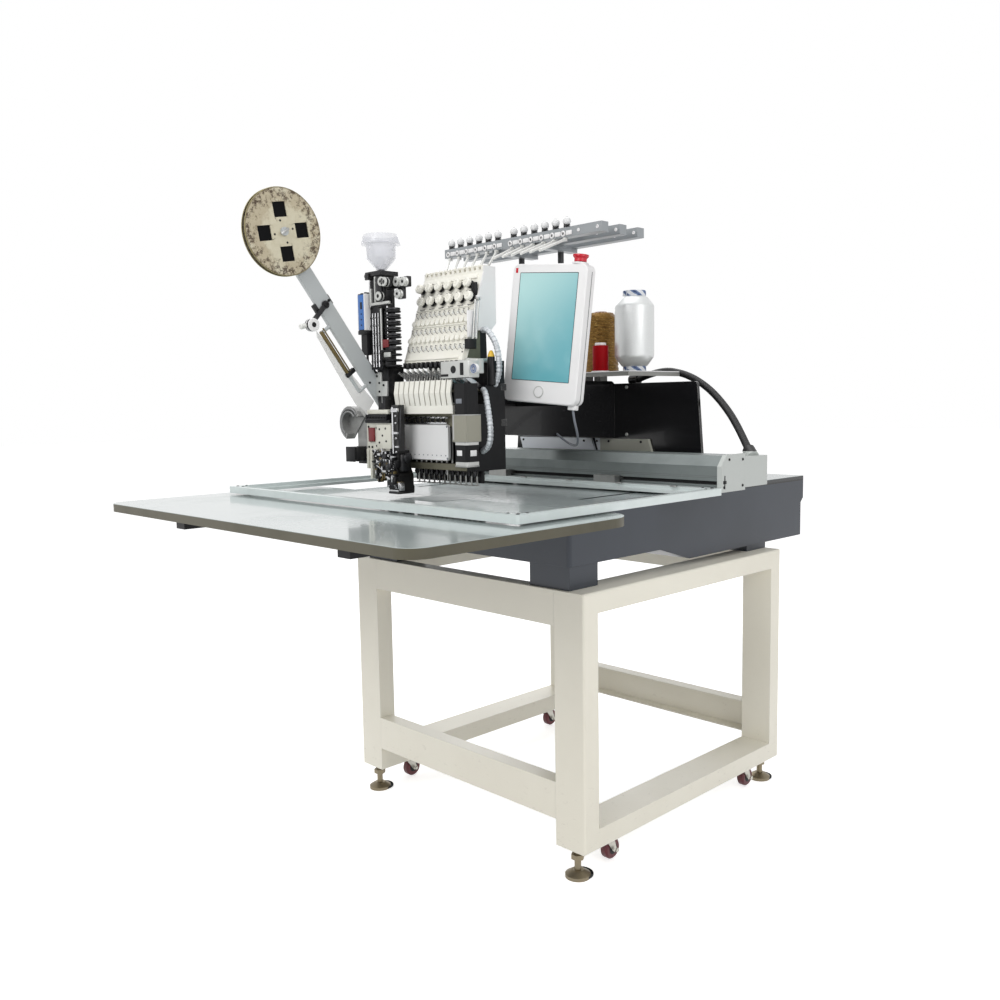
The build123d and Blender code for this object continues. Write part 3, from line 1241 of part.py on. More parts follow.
def needle_case():
    """Case with rail grooves, guides for the bars, lever shaft and gussets."""
    x_span = (HEAD_LEFT_X, HEAD_RIGHT_X)
    back = block(x_span, (CASE_BACK_Y, CASE_REAR_Y), (CASE_BOTTOM_Z, CASE_TOP_Z))
    groove_y = (ARM_FRONT_Y - ARM_RAIL_DEPTH - SLIDE_GAP, CASE_REAR_Y)
    for z in (ARM_RAIL_LOW_Z, ARM_RAIL_HIGH_Z):
        groove_z = (z - SLIDE_GAP, z + ARM_RAIL_HEIGHT + SLIDE_GAP)
        back = back - block(x_span, groove_y, groove_z)
    guide_y = (CASE_FRONT_Y, CASE_BACK_Y)
    lower = block(x_span, guide_y, (CASE_BOTTOM_Z, CASE_BOTTOM_Z + CASE_GUIDE_HEIGHT))
    upper = block(x_span, guide_y, (CASE_UPPER_Z, CASE_UPPER_Z + CASE_UPPER_HEIGHT))
    pieces = [back, lower, upper]
    ear_z = (CASE_UPPER_Z, LEVER_SHAFT_Z + LEVER_HUB_DIAMETER / 2)
    for low in (HEAD_LEFT_X, HEAD_RIGHT_X - CASE_CHEEK):
        cheek_x = (low, low + CASE_CHEEK)
        pieces.append(block(cheek_x, guide_y, (CASE_BOTTOM_Z, CASE_UPPER_Z)))
        pieces.append(block(cheek_x, (CASE_BACK_Y - CASE_EAR_DEPTH, CASE_BACK_Y), ear_z))
    shaft_ends = ((HEAD_LEFT_X, LEVER_Y, LEVER_SHAFT_Z), (HEAD_RIGHT_X, LEVER_Y, LEVER_SHAFT_Z))
    pieces.append(rod(*shaft_ends, LEVER_SHAFT_DIAMETER))
    slope = TENSION_LEAN / TENSION_HEIGHT
    rear_low = TENSION_FRONT_Y + TENSION_THICKNESS
    rear_high = rear_low + (GUSSET_TOP_Z - TENSION_BOTTOM_Z) * slope
    gusset = [
        (rear_low, TENSION_BOTTOM_Z),
        (CASE_REAR_Y, TENSION_BOTTOM_Z),
        (rear_high + GUSSET_BACK_GAP / 2, GUSSET_TOP_Z),
        (rear_high, GUSSET_TOP_Z),
    ]
    for low in (HEAD_LEFT_X + CASE_MARGIN, TENSION_RIGHT_X - CASE_MARGIN - GUSSET_THICKNESS):
        pieces.append(side_plate(gusset, (low, low + GUSSET_THICKNESS)))
    guide_x = (LIFT_GUIDE_LEFT_X, HEAD_LEFT_X)
    lift_y = (CASE_FRONT_Y, (CASE_BACK_Y + groove_y[0]) / 2)
    pieces.append(block(guide_x, lift_y, (LIFT_GUIDE_BOTTOM_Z, LIFT_GUIDE_TOP_Z)))
    body = fused(pieces)
    slot_x = (NEEDLE_XS[0] - NEEDLE_PITCH / 2, NEEDLE_XS[-1] + NEEDLE_PITCH / 2)
    slot_y = around(NEEDLE_Y, BAR_DIAMETER + BAR_SLOT_GAP)
    return body - block(slot_x, slot_y, (CASE_BOTTOM_Z, CASE_UPPER_Z + CASE_UPPER_HEIGHT))


def needle_bar(place):
    """Bar with its clamp and needle."""
    x = NEEDLE_XS[place]
    needle_top = NEEDLE_TIP_Z + NEEDLE_LENGTH
    clamp_top = needle_top + NEEDLE_CLAMP_HEIGHT
    bar = rod((x, NEEDLE_Y, clamp_top), (x, NEEDLE_Y, BAR_TOP_Z), BAR_DIAMETER)
    clamp = rod((x, NEEDLE_Y, needle_top), (x, NEEDLE_Y, clamp_top), NEEDLE_CLAMP_DIAMETER)
    needle = rod((x, NEEDLE_Y, NEEDLE_TIP_Z), (x, NEEDLE_Y, needle_top), NEEDLE_DIAMETER)
    return bar + clamp + needle


def presser_foot(place):
    """Thin leg behind the bar with a forked sole that lets the clamp through."""
    x = NEEDLE_XS[place]
    leg_y = NEEDLE_Y + NEEDLE_CLAMP_DIAMETER / 2 + FOOT_BAR_GAP
    leg_span = (leg_y, leg_y + FOOT_LEG_DEPTH)
    leg = block(around(x, FOOT_LEG_WIDTH), leg_span, (FOOT_SOLE_Z, CASE_BOTTOM_Z))
    sole_y = (leg_y + FOOT_LEG_DEPTH - FOOT_SOLE_LENGTH, leg_y + FOOT_LEG_DEPTH)
    sole = block(around(x, FOOT_SOLE_WIDTH), sole_y, (FOOT_SOLE_Z, FOOT_SOLE_Z + FOOT_SOLE_HEIGHT))
    fork_half = NEEDLE_CLAMP_DIAMETER / 2 + FOOT_FORK_GAP
    fork_y = (sole_y[0], NEEDLE_Y + fork_half)
    fork = block(around(x, 2 * fork_half), fork_y, (FOOT_SOLE_Z, FOOT_SOLE_Z + FOOT_SOLE_HEIGHT))
    return leg + sole - fork


def idle_places():
    """Numbers of the needles that are not at work."""
    return [place for place in range(NEEDLE_COUNT) if place != ACTIVE_NEEDLE]


def needle_bars_idle():
    """The bars that are not at work, and the foot of every needle."""
    bars = [needle_bar(place) for place in idle_places()]
    return bars + [presser_foot(place) for place in range(NEEDLE_COUNT)]


def take_up_lever(place):
    """Thin lever on the shaft, reaching forward and up."""
    x_span = around(NEEDLE_XS[place], LEVER_THICKNESS)
    tip_y = LEVER_Y - LEVER_REACH
    tip_z = LEVER_SHAFT_Z + LEVER_RISE
    half = LEVER_HALF_HEIGHT
    outline = [
        (LEVER_Y, LEVER_SHAFT_Z - 2 * half),
        (tip_y, tip_z - half),
        (tip_y - half, tip_z),
        (tip_y, tip_z + half),
        (LEVER_Y, LEVER_SHAFT_Z + 2 * half),
    ]
    hub_ends = [(x, LEVER_Y, LEVER_SHAFT_Z) for x in x_span]
    lever = side_plate(outline, x_span) + rod(*hub_ends, LEVER_HUB_DIAMETER)
    return lever - rod(*hub_ends, LEVER_SHAFT_DIAMETER + BORE_GAP)


def lever_guard():
    """Bar with a row of upright flaps between the levers."""
    x_span = (HEAD_LEFT_X, NEEDLE_XS[-2])
    bar_z = (GUARD_BAR_Z, GUARD_BAR_Z + GUARD_BAR_HEIGHT)
    pieces = [block(x_span, (GUARD_FRONT_Y, CASE_FRONT_Y), bar_z)]
    foot_z = bar_z[1]
    middle_z = (foot_z + FLAP_TOP_Z) / 2
    back_y = GUARD_FRONT_Y + FLAP_THICKNESS
    outline = [
        (GUARD_FRONT_Y, foot_z),
        (GUARD_FRONT_Y - FLAP_BULGE, middle_z),
        (GUARD_FRONT_Y, FLAP_TOP_Z),
        (back_y, FLAP_TOP_Z),
        (back_y - FLAP_BULGE, middle_z),
        (back_y, foot_z),
    ]
    for x in NEEDLE_XS[:-1]:
        pieces.append(side_plate(outline, around(x - NEEDLE_PITCH / 2, FLAP_WIDTH)))
    return fused(pieces)


def front_cover():
    """Plain plate over the needle bars."""
    x_span = (HEAD_LEFT_X, HEAD_LEFT_X + COVER_WIDTH)
    plate = block(x_span, (CASE_FRONT_Y - COVER_THICKNESS, CASE_FRONT_Y), (COVER_BOTTOM_Z, COVER_TOP_Z))
    return fillet(plate.edges().filter_by(Axis.Y), COVER_ROUNDING)


def head_motors():
    """Two small square motors with a bracket between them, on the front of the case."""
    left = HEAD_RIGHT_X - MOTOR_INSET
    x_span = (left, left + MOTOR_SIZE)
    y_span = (CASE_FRONT_Y - MOTOR_SIZE, CASE_FRONT_Y)
    bracket_z = MOTOR_LOW_Z + MOTOR_HEIGHT
    upper_z = bracket_z + MOTOR_BRACKET_HEIGHT
    pieces = []
    for low, high in ((MOTOR_LOW_Z, bracket_z), (upper_z, upper_z + MOTOR_UPPER_HEIGHT)):
        motor = block(x_span, y_span, (low, high))
        pieces.append(chamfer(motor.edges().filter_by(Axis.Z), MOTOR_CHAMFER))
    wide_x = (left, left + MOTOR_SIZE + MOTOR_BRACKET_SPARE)
    wide_y = (CASE_FRONT_Y - MOTOR_SIZE - MOTOR_BRACKET_SPARE, CASE_FRONT_Y)
    pieces.append(block(wide_x, wide_y, (bracket_z, upper_z)))
    return pieces


def on_tension(x, share):
    """Plane on the front of the tension base at a share of its height."""
    y = TENSION_FRONT_Y + TENSION_LEAN * share
    z = TENSION_BOTTOM_Z + TENSION_HEIGHT * share
    out = Vector(0, -TENSION_HEIGHT, TENSION_LEAN).normalized()
    return (x, y, z), out


def tension_base():
    """Leaning plate with two rows of rollers and a notched comb on top."""
    rear = TENSION_FRONT_Y + TENSION_THICKNESS
    outline = [
        (TENSION_FRONT_Y, TENSION_BOTTOM_Z),
        (TENSION_FRONT_Y + TENSION_LEAN, TENSION_TOP_Z),
        (rear + TENSION_LEAN, TENSION_TOP_Z),
        (rear, TENSION_BOTTOM_Z),
    ]
    pieces = [side_plate(outline, (HEAD_LEFT_X, TENSION_RIGHT_X))]
    for share in ROLLER_ROW_SHARES:
        for x in TENSION_XS:
            start, out = on_tension(x, share)
            end = Vector(*start) + out * ROLLER_LENGTH
            inside = Vector(*start) - out * ROLLER_LENGTH
            pieces.append(rod(tuple(inside), tuple(end), ROLLER_DIAMETER))
    comb_front = TENSION_FRONT_Y + TENSION_LEAN
    comb_y = (comb_front, comb_front + COMB_DEPTH)
    comb_z = (TENSION_TOP_Z, TENSION_TOP_Z + COMB_HEIGHT)
    comb = block((HEAD_LEFT_X, TENSION_RIGHT_X), comb_y, comb_z)
    for x in TENSION_XS:
        slot_z = (comb_z[1] - COMB_SLOT_DEPTH, comb_z[1])
        comb = comb - block(around(x, COMB_SLOT_WIDTH), comb_y, slot_z)
    pieces.append(comb)
    return fused(pieces)


def tension_knobs():
    """Knobs in two rows, on every second needle line in turn."""
    knobs = []
    stem = KNOB_STEM_DIAMETER / 2
    full = KNOB_DIAMETER / 2
    outline = [
        (0, 0),
        (stem, 0),
        (stem, KNOB_STEM_LENGTH),
        (full, KNOB_STEM_LENGTH),
        (full, KNOB_LENGTH - KNOB_STEM_LENGTH),
        (stem, KNOB_LENGTH),
        (0, KNOB_LENGTH),
    ]
    for place, x in enumerate(TENSION_XS):
        start, out = on_tension(x, KNOB_TOP_SHARES[place % KNOB_ROW_COUNT])
        knobs.append(turned(outline, start, out))
    return knobs


def head_cover():
    """Folded sheet over the right side and the back of the tension base."""
    wall = HEAD_COVER_THICKNESS
    top = TENSION_TOP_Z + COMB_HEIGHT
    slope = TENSION_LEAN / TENSION_HEIGHT
    front_low = TENSION_FRONT_Y + (HEAD_COVER_BOTTOM_Z - TENSION_BOTTOM_Z) * slope
    outline = [
        (front_low, HEAD_COVER_BOTTOM_Z),
        (TENSION_FRONT_Y + TENSION_LEAN, TENSION_TOP_Z),
        (TENSION_FRONT_Y + TENSION_LEAN, top),
        (HEAD_COVER_REAR_Y, top),
        (HEAD_COVER_REAR_Y, HEAD_COVER_BOTTOM_Z + HEAD_COVER_BACK / 2),
        (HEAD_COVER_REAR_Y - HEAD_COVER_BACK / 2, HEAD_COVER_BOTTOM_Z),
    ]
    side = side_plate(outline, (TENSION_RIGHT_X, TENSION_RIGHT_X + wall))
    back_y = (HEAD_COVER_REAR_Y - wall, HEAD_COVER_REAR_Y)
    back_z = (HEAD_COVER_BOTTOM_Z + HEAD_COVER_BACK / 2, top)
    back = block((HEAD_LEFT_X, TENSION_RIGHT_X), back_y, back_z)
    return side + back


# Sequin and bead device


def sequin_tower():
    """Lift plate and neck with an open tower, a bead screw, two pulleys and a head plate."""
    plate_y = (LIFT_FRONT_Y, CASE_BACK_Y)
    plate = block((LIFT_LEFT_X, LIFT_RIGHT_X), plate_y, (LIFT_PLATE_BOTTOM_Z, LIFT_PLATE_TOP_Z))
    tower_x = around(TOWER_X, TOWER_WIDTH)
    tower_y = around(TOWER_Y, TOWER_DEPTH)
    neck_y = (NEEDLE_Y - NECK_FORWARD, NEEDLE_Y - NECK_FORWARD + NECK_DEPTH)
    neck = block(tower_x, neck_y, (NECK_BOTTOM_Z, TOWER_BOTTOM_Z + NECK_OVERLAP))
    tower = block(tower_x, tower_y, (TOWER_BOTTOM_Z, TOWER_TOP_Z))
    rise = (TOWER_TOP_Z - TOWER_BOTTOM_Z) / TOWER_WINDOW_COUNT
    for place in range(TOWER_WINDOW_COUNT):
        low = TOWER_BOTTOM_Z + place * rise
        window_z = (low + TOWER_WINDOW_MARGIN, low + rise - TOWER_WINDOW_MARGIN)
        window_y = around(TOWER_Y, TOWER_DEPTH - 2 * TOWER_WINDOW_MARGIN)
        tower = tower - block(tower_x, window_y, window_z)
    head_z = (TOWER_TOP_Z, TOWER_TOP_Z + TOWER_HEAD_HEIGHT)
    head = block(around(TOWER_X, TOWER_HEAD_WIDTH), around(TOWER_Y, TOWER_HEAD_DEPTH), head_z)
    return fused([plate, neck, tower, head] + bead_screw() + tape_pulleys())


def bead_screw():
    """Stack of discs on an upright shaft at the right side of the tower."""
    x = LIFT_LEFT_X + SCREW_DIAMETER / 2 - SCREW_SEAT
    top = SCREW_BOTTOM_Z + (SCREW_COUNT - 1) * SCREW_PITCH + SCREW_DISC
    pieces = [rod((x, TOWER_Y, SCREW_BOTTOM_Z), (x, TOWER_Y, top), SCREW_SHAFT_DIAMETER)]
    for place in range(SCREW_COUNT):
        low = SCREW_BOTTOM_Z + place * SCREW_PITCH
        pieces.append(rod((x, TOWER_Y, low), (x, TOWER_Y, low + SCREW_DISC), SCREW_DIAMETER))
    return pieces


def tape_pulleys():
    """Angle plate on the front of the tower with two pulleys."""
    front = TOWER_Y - TOWER_DEPTH / 2
    y_span = (front - PULLEY_PLATE, front)
    outline = [
        (TOWER_X, PULLEY_Z + PULLEY_DIAMETER / 2),
        (LIFT_LEFT_X + PULLEY_REACH, PULLEY_Z + PULLEY_DIAMETER / 2),
        (LIFT_LEFT_X + PULLEY_REACH, PULLEY_Z - PULLEY_DIAMETER / 2),
        (LIFT_LEFT_X + PULLEY_DIAMETER, PULLEY_Z - PULLEY_DIAMETER / 2),
        (LIFT_LEFT_X + PULLEY_DIAMETER, PULLEY_Z - 2 * PULLEY_DIAMETER),
        (TOWER_X, PULLEY_Z - 2 * PULLEY_DIAMETER),
    ]
    pieces = [front_plate(outline, y_span)]
    centres = (
        (LIFT_LEFT_X + PULLEY_REACH - PULLEY_DIAMETER / 2, PULLEY_Z),
        (LIFT_LEFT_X + PULLEY_DIAMETER / 2, PULLEY_Z - 3 * PULLEY_DIAMETER / 2),
    )
    for x, z in centres:
        pieces.append(rod((x, y_span[0] - PULLEY_WIDTH, z), (x, y_span[0], z), PULLEY_DIAMETER))
    return pieces


def bead_hopper():
    """Open cup with a wide rim and a funnel foot."""
    throat = HOPPER_THROAT_DIAMETER / 2
    body = HOPPER_BODY_DIAMETER / 2
    rim = HOPPER_RIM_DIAMETER / 2
    wall = HOPPER_WALL
    rim_z = HOPPER_HEIGHT - HOPPER_RIM_HEIGHT
    outline = [
        (0, 0),
        (throat, 0),
        (body, HOPPER_CONE_HEIGHT),
        (body, rim_z),
        (rim, rim_z),
        (rim, HOPPER_HEIGHT),
        (rim - wall, HOPPER_HEIGHT),
        (rim - wall, rim_z + wall),
        (body - wall, rim_z + wall),
        (body - wall, HOPPER_CONE_HEIGHT + wall),
        (throat - wall, HOPPER_FLOOR),
        (0, HOPPER_FLOOR),
    ]
    return turned(outline, (TOWER_X, TOWER_Y, TOWER_TOP_Z + TOWER_HEAD_HEIGHT), (0, 0, 1))


def sequin_drives():
    """Actuator with its base on the tower, and the feed motor on its mount."""
    right = TOWER_X - TOWER_WIDTH / 2
    middle_y = TOWER_Y - ACTUATOR_FORWARD
    actuator_x = (right - ACTUATOR_WIDTH, right)
    top = ACTUATOR_BOTTOM_Z + ACTUATOR_HEIGHT
    actuator = block(actuator_x, around(middle_y, ACTUATOR_DEPTH), (ACTUATOR_BOTTOM_Z, top))
    base_x = (right - ACTUATOR_WIDTH + ACTUATOR_BASE_SHRINK, right)
    base_y = around(middle_y, ACTUATOR_DEPTH - 2 * ACTUATOR_BASE_SHRINK)
    base = block(base_x, base_y, (ACTUATOR_BOTTOM_Z - ACTUATOR_BASE_HEIGHT, ACTUATOR_BOTTOM_Z))
    motor_left = FEED_LEFT_X - FEED_MOUNT_WIDTH
    motor_x = (motor_left, motor_left + FEED_MOTOR_SIZE)
    motor_y = (FEED_FRONT_Y - FEED_MOTOR_LENGTH, FEED_FRONT_Y)
    motor = block(motor_x, motor_y, around(FEED_MOTOR_Z, FEED_MOTOR_SIZE))
    motor = chamfer(motor.edges().filter_by(Axis.Y), MOTOR_CHAMFER)
    return [actuator, base, motor]


def arc_points(centre, radius, start_deg, end_deg):
    """Points along an arc in the front view."""
    points = []
    for step in range(SHROUD_STEPS + 1):
        turn = math.radians(start_deg + (end_deg - start_deg) * step / SHROUD_STEPS)
        points.append((centre[0] + radius * math.cos(turn), centre[1] + radius * math.sin(turn)))
    return points


def feed_shroud():
    """Horn of sheet round the tape wheel, thinning towards its tip, with a back wall."""
    centre = (FEED_LEFT_X - FEED_MOUNT_WIDTH, FEED_PLATE_TOP_Z)
    outer = arc_points(centre, SHROUD_RADIUS, SHROUD_START_DEG, SHROUD_END_DEG)
    inner = []
    for step, (x, z) in enumerate(outer):
        keep = 1 - SHROUD_WALL_SHARE * (1 + step / SHROUD_STEPS)
        inner.append((centre[0] + (x - centre[0]) * keep, centre[1] + (z - centre[1]) * keep))
    horn = front_plate(outer + inner[::-1], (FEED_FRONT_Y - SHROUD_DEPTH, FEED_FRONT_Y))
    wall = front_plate(outer, (FEED_FRONT_Y - SHROUD_BACK, FEED_FRONT_Y))
    return horn + wall


def feed_wheel():
    """Toothed wheel that pulls the tape."""
    x = LIFT_LEFT_X
    tip = FEED_WHEEL_DIAMETER / 2
    points = []
    for step in range(2 * FEED_WHEEL_TEETH):
        turn = math.radians(180 * step / FEED_WHEEL_TEETH)
        radius = tip - FEED_WHEEL_TOOTH * (step % 2)
        points.append((x + radius * math.cos(turn), FEED_WHEEL_Z + radius * math.sin(turn)))
    front = FEED_FRONT_Y - FEED_BAR_PROUD
    return front_plate(points, (front - FEED_WHEEL_THICKNESS, front))


def sequin_feeder():
    """Feed plate with its mount and bar, body with foot and nose, tape wheel and shroud."""
    plate_y = (FEED_FRONT_Y, LIFT_FRONT_Y)
    plate = block((FEED_LEFT_X, FEED_RIGHT_X), plate_y, (FEED_PLATE_BOTTOM_Z, FEED_PLATE_TOP_Z))
    width = FEED_RIGHT_X - FEED_LEFT_X
    height = FEED_PLATE_TOP_Z - FEED_PLATE_BOTTOM_Z
    for share_x in FEED_HOLE_X_SHARES:
        for share_z in FEED_HOLE_Z_SHARES:
            x = FEED_LEFT_X + width * share_x
            z = FEED_PLATE_BOTTOM_Z + height * share_z
            plate = plate - rod((x, plate_y[0], z), (x, plate_y[1], z), FEED_HOLE_DIAMETER)
    mount_x = (FEED_LEFT_X - FEED_MOUNT_WIDTH, FEED_LEFT_X)
    mount = block(mount_x, plate_y, (FEED_MOUNT_BOTTOM_Z, FEED_MOUNT_TOP_Z))
    front = FEED_FRONT_Y - FEED_BAR_PROUD
    bar_x = (FEED_RIGHT_X, FEED_RIGHT_X + FEED_BAR_WIDTH)
    bar = block(bar_x, (front, front + FEED_BAR_DEPTH), (FEED_BAR_BOTTOM_Z, FEED_BAR_TOP_Z))
    left = LIFT_LEFT_X - FEED_BODY_LEFT
    right = left + FEED_BODY_WIDTH
    foot_right = right + FEED_FOOT_REACH
    foot_left = foot_right - FEED_FOOT_WIDTH
    middle_z = (FEED_PLATE_BOTTOM_Z + FEED_BODY_BOTTOM_Z) / 2
    outline = [
        (left, FEED_PLATE_BOTTOM_Z),
        (right, FEED_PLATE_BOTTOM_Z),
        (right, middle_z),
        (foot_right, FEED_BODY_BOTTOM_Z),
        (foot_right, FEED_FOOT_Z),
        (foot_left, FEED_FOOT_Z),
        (foot_left - FEED_FOOT_REACH, FEED_BODY_BOTTOM_Z),
        (left, FEED_BODY_BOTTOM_Z),
    ]
    back = front + FEED_BODY_DEPTH
    body = front_plate(outline, (front, back))
    nose_x = (foot_left, foot_left + FEED_NOSE_WIDTH)
    nose = block(nose_x, (back, back + FEED_NOSE_LENGTH), (FEED_FOOT_Z, FEED_FOOT_Z + FEED_NOSE_HEIGHT))
    return fused([plate, mount, bar, body, nose, feed_wheel(), feed_shroud()])


def along_arm(share):
    """Point on the middle line of the reel arm, as (Y, Z)."""
    y = REEL_ARM_FOOT_Y + (REEL_Y - REEL_ARM_FOOT_Y) * share
    z = REEL_ARM_FOOT_Z + (REEL_Z - REEL_ARM_FOOT_Z) * share
    return y, z


def arm_normal():
    """Unit direction square to the reel arm, pointing down and forward."""
    run_y = REEL_Y - REEL_ARM_FOOT_Y
    run_z = REEL_Z - REEL_ARM_FOOT_Z
    length = math.hypot(run_y, run_z)
    return -run_z / length, run_y / length


def reel_arm():
    """Flat bar with the reel axle, a lever pivot and two tape rods on stand-offs."""
    off_y, off_z = arm_normal()
    half = REEL_ARM_WIDTH / 2
    foot = along_arm(0)
    end = along_arm(1)
    outline = [
        (foot[0] + off_y * half, foot[1] + off_z * half),
        (end[0] + off_y * half, end[1] + off_z * half),
        (end[0] - off_y * half, end[1] - off_z * half),
        (foot[0] - off_y * half, foot[1] - off_z * half),
    ]
    pieces = [side_plate(outline, (REEL_ARM_LEFT_X, REEL_ARM_RIGHT_X))]
    pieces.append(rod((REEL_ARM_LEFT_X, *foot), (REEL_ARM_RIGHT_X, *foot), REEL_ARM_WIDTH))
    reel_left = REEL_ARM_RIGHT_X + REEL_SIDE_GAP
    axle_end = reel_left + REEL_GAP + 2 * REEL_FLANGE + REEL_SIDE_GAP
    pieces.append(rod((REEL_ARM_LEFT_X, REEL_Y, REEL_Z), (axle_end, REEL_Y, REEL_Z), REEL_AXLE_DIAMETER))
    head_end = axle_end + AXLE_HEAD_THICKNESS
    pieces.append(rod((axle_end, REEL_Y, REEL_Z), (head_end, REEL_Y, REEL_Z), AXLE_HEAD_DIAMETER))
    pivot = along_arm(GUIDE_LEVER_SHARE)
    pivot_end = REEL_ARM_RIGHT_X + GUIDE_LEVER_THICKNESS + 2 * REEL_SIDE_GAP
    pieces.append(rod((REEL_ARM_LEFT_X, *pivot), (pivot_end, *pivot), GUIDE_PIVOT_DIAMETER))
    rod_x = (REEL_ARM_LEFT_X + REEL_ARM_RIGHT_X) / 2
    ends = []
    for share in TAPE_ROD_SHARES:
        root = along_arm(share)
        tip = (rod_x, root[0] + off_y * TAPE_ROD_OFFSET, root[1] + off_z * TAPE_ROD_OFFSET)
        pieces.append(rod((rod_x, *root), tip, TAPE_ROD_DIAMETER))
        ends.append(tip)
    pieces.append(rod(ends[0], ends[1], TAPE_ROD_DIAMETER))
    return fused(pieces)


def sequin_reel():
    """Reel of two flanges with square windows on a bored hub."""
    left = REEL_ARM_RIGHT_X + REEL_SIDE_GAP
    marks = [left, left + REEL_FLANGE, left + REEL_FLANGE + REEL_GAP]
    marks.append(marks[-1] + REEL_FLANGE)
    near = rod((marks[0], REEL_Y, REEL_Z), (marks[1], REEL_Y, REEL_Z), REEL_DIAMETER)
    far = rod((marks[2], REEL_Y, REEL_Z), (marks[3], REEL_Y, REEL_Z), REEL_DIAMETER)
    for place in range(REEL_WINDOW_COUNT):
        turn = math.radians(360 * (place + 0.5) / REEL_WINDOW_COUNT)
        y = REEL_Y + REEL_WINDOW_RADIUS * math.cos(turn)
        z = REEL_Z + REEL_WINDOW_RADIUS * math.sin(turn)
        window = (around(y, REEL_WINDOW), around(z, REEL_WINDOW))
        far = far - block((marks[2], marks[3]), *window)
    hub = rod((marks[0], REEL_Y, REEL_Z), (marks[3], REEL_Y, REEL_Z), REEL_HUB_DIAMETER)
    reel = fused([near, hub, far])
    bore = REEL_AXLE_DIAMETER + BORE_GAP
    return reel - rod((marks[0], REEL_Y, REEL_Z), (marks[3], REEL_Y, REEL_Z), bore)


def sequin_tape():
    """Roll of dark tape between the flanges."""
    left = REEL_ARM_RIGHT_X + REEL_SIDE_GAP + REEL_FLANGE
    ends = ((left, REEL_Y, REEL_Z), (left + REEL_GAP, REEL_Y, REEL_Z))
    return rod(*ends, TAPE_DIAMETER) - rod(*ends, REEL_HUB_DIAMETER)


def tape_lever():
    """Lever on the reel arm with a pulley at its end."""
    pivot = along_arm(GUIDE_LEVER_SHARE)
    tip = (pivot[0] - GUIDE_LEVER_REACH, pivot[1] - GUIDE_LEVER_DROP)
    left = REEL_ARM_RIGHT_X + REEL_SIDE_GAP
    x_span = (left, left + GUIDE_LEVER_THICKNESS)
    length = math.hypot(GUIDE_LEVER_REACH, GUIDE_LEVER_DROP)
    off_y = GUIDE_LEVER_DROP / length * GUIDE_LEVER_HALF_WIDTH
    off_z = -GUIDE_LEVER_REACH / length * GUIDE_LEVER_HALF_WIDTH
    outline = [
        (pivot[0] + off_y, pivot[1] + off_z),
        (tip[0] + off_y, tip[1] + off_z),
        (tip[0] - off_y, tip[1] - off_z),
        (pivot[0] - off_y, pivot[1] - off_z),
    ]
    hub = [(x, *pivot) for x in x_span]
    pulley = ((left, *tip), (left + GUIDE_LEVER_THICKNESS + GUIDE_PULLEY_WIDTH, *tip))
    lever = side_plate(outline, x_span)
    lever = lever + rod(*hub, 2 * GUIDE_PIVOT_DIAMETER) + rod(*pulley, GUIDE_PULLEY_DIAMETER)
    return lever - rod(*hub, GUIDE_PIVOT_DIAMETER + BORE_GAP)


# Conduit


def conduit_points():
    """Corner points of the conduit from the cabinet top to the drive box."""
    start = Vector(
        CONDUIT_START_X,
        COLUMN_FRONT_Y + CONDUIT_START_BACK,
        COLUMN_TOP_Z + CONDUIT_GLAND_DIAMETER / 2 - CONDUIT_GLAND_SINK,
    )
    end = Vector(
        BEAM_RIGHT_X - DRIVE_BOX_WIDTH / 2 + CONDUIT_END_SIDE,
        BEAM_REAR_Y + DRIVE_BOX_DEPTH / 2 + CONDUIT_END_BACK,
        BEAM_BOTTOM_Z + DRIVE_BOX_LIFT + DRIVE_BOX_HEIGHT + CONDUIT_GLAND_LENGTH,
    )
    span = end - start
    points = [start]
    for share_x, share_y, share_z in CONDUIT_RUN_SHARES:
        points.append(start + Vector(span.X * share_x, span.Y * share_y, span.Z * share_z))
    points.append(end)
    return points


def turn_radii(points):
    """Radius at each corner from the shorter run and the turn there."""
    radii = []
    for before, here, after in zip(points, points[1:], points[2:]):
        first = here - before
        second = after - here
        turn = math.radians(first.get_angle(second))
        shorter = min(first.length, second.length)
        radii.append(CORD_ROUND_SHARE * shorter / math.tan(turn / 2))
    return radii


def cable_conduit():
    """Corrugated conduit swept along its path."""
    points = conduit_points()
    radii = turn_radii(points)
    path = FilletPolyline(*points, radius=radii)
    print("conduit radii", [round(value, 1) for value in radii])
    print("conduit length", round(path.length, 1))
    section = Plane(origin=path @ 0, z_dir=path % 0) * Circle(CONDUIT_DIAMETER / 2)
    return sweep(section, path)


def conduit_glands():
    """Gland on the cabinet top and gland on the drive box, in line with the conduit."""
    points = conduit_points()
    start = points[0]
    end = points[-1]
    leaving = (points[1] - start).normalized()
    back = start - leaving * CONDUIT_GLAND_LENGTH * 2
    cabinet_gland = rod(tuple(back), tuple(start), CONDUIT_GLAND_DIAMETER)
    coming = (end - points[-2]).normalized()
    inside = end + coming * CONDUIT_GLAND_LENGTH * 2
    return cabinet_gland, rod(tuple(inside), tuple(end), CONDUIT_GLAND_DIAMETER)


def save(name, pieces):
    """Write one node as a STEP file."""
    solids = pieces if isinstance(pieces, list) else [pieces]
    found = []
    for piece in solids:
        found.extend(piece.solids())
    shape = found[0] if len(found) == 1 else Compound(children=found)
    shape.label = name
    export_step(shape, os.path.join("parts", name + ".step"))


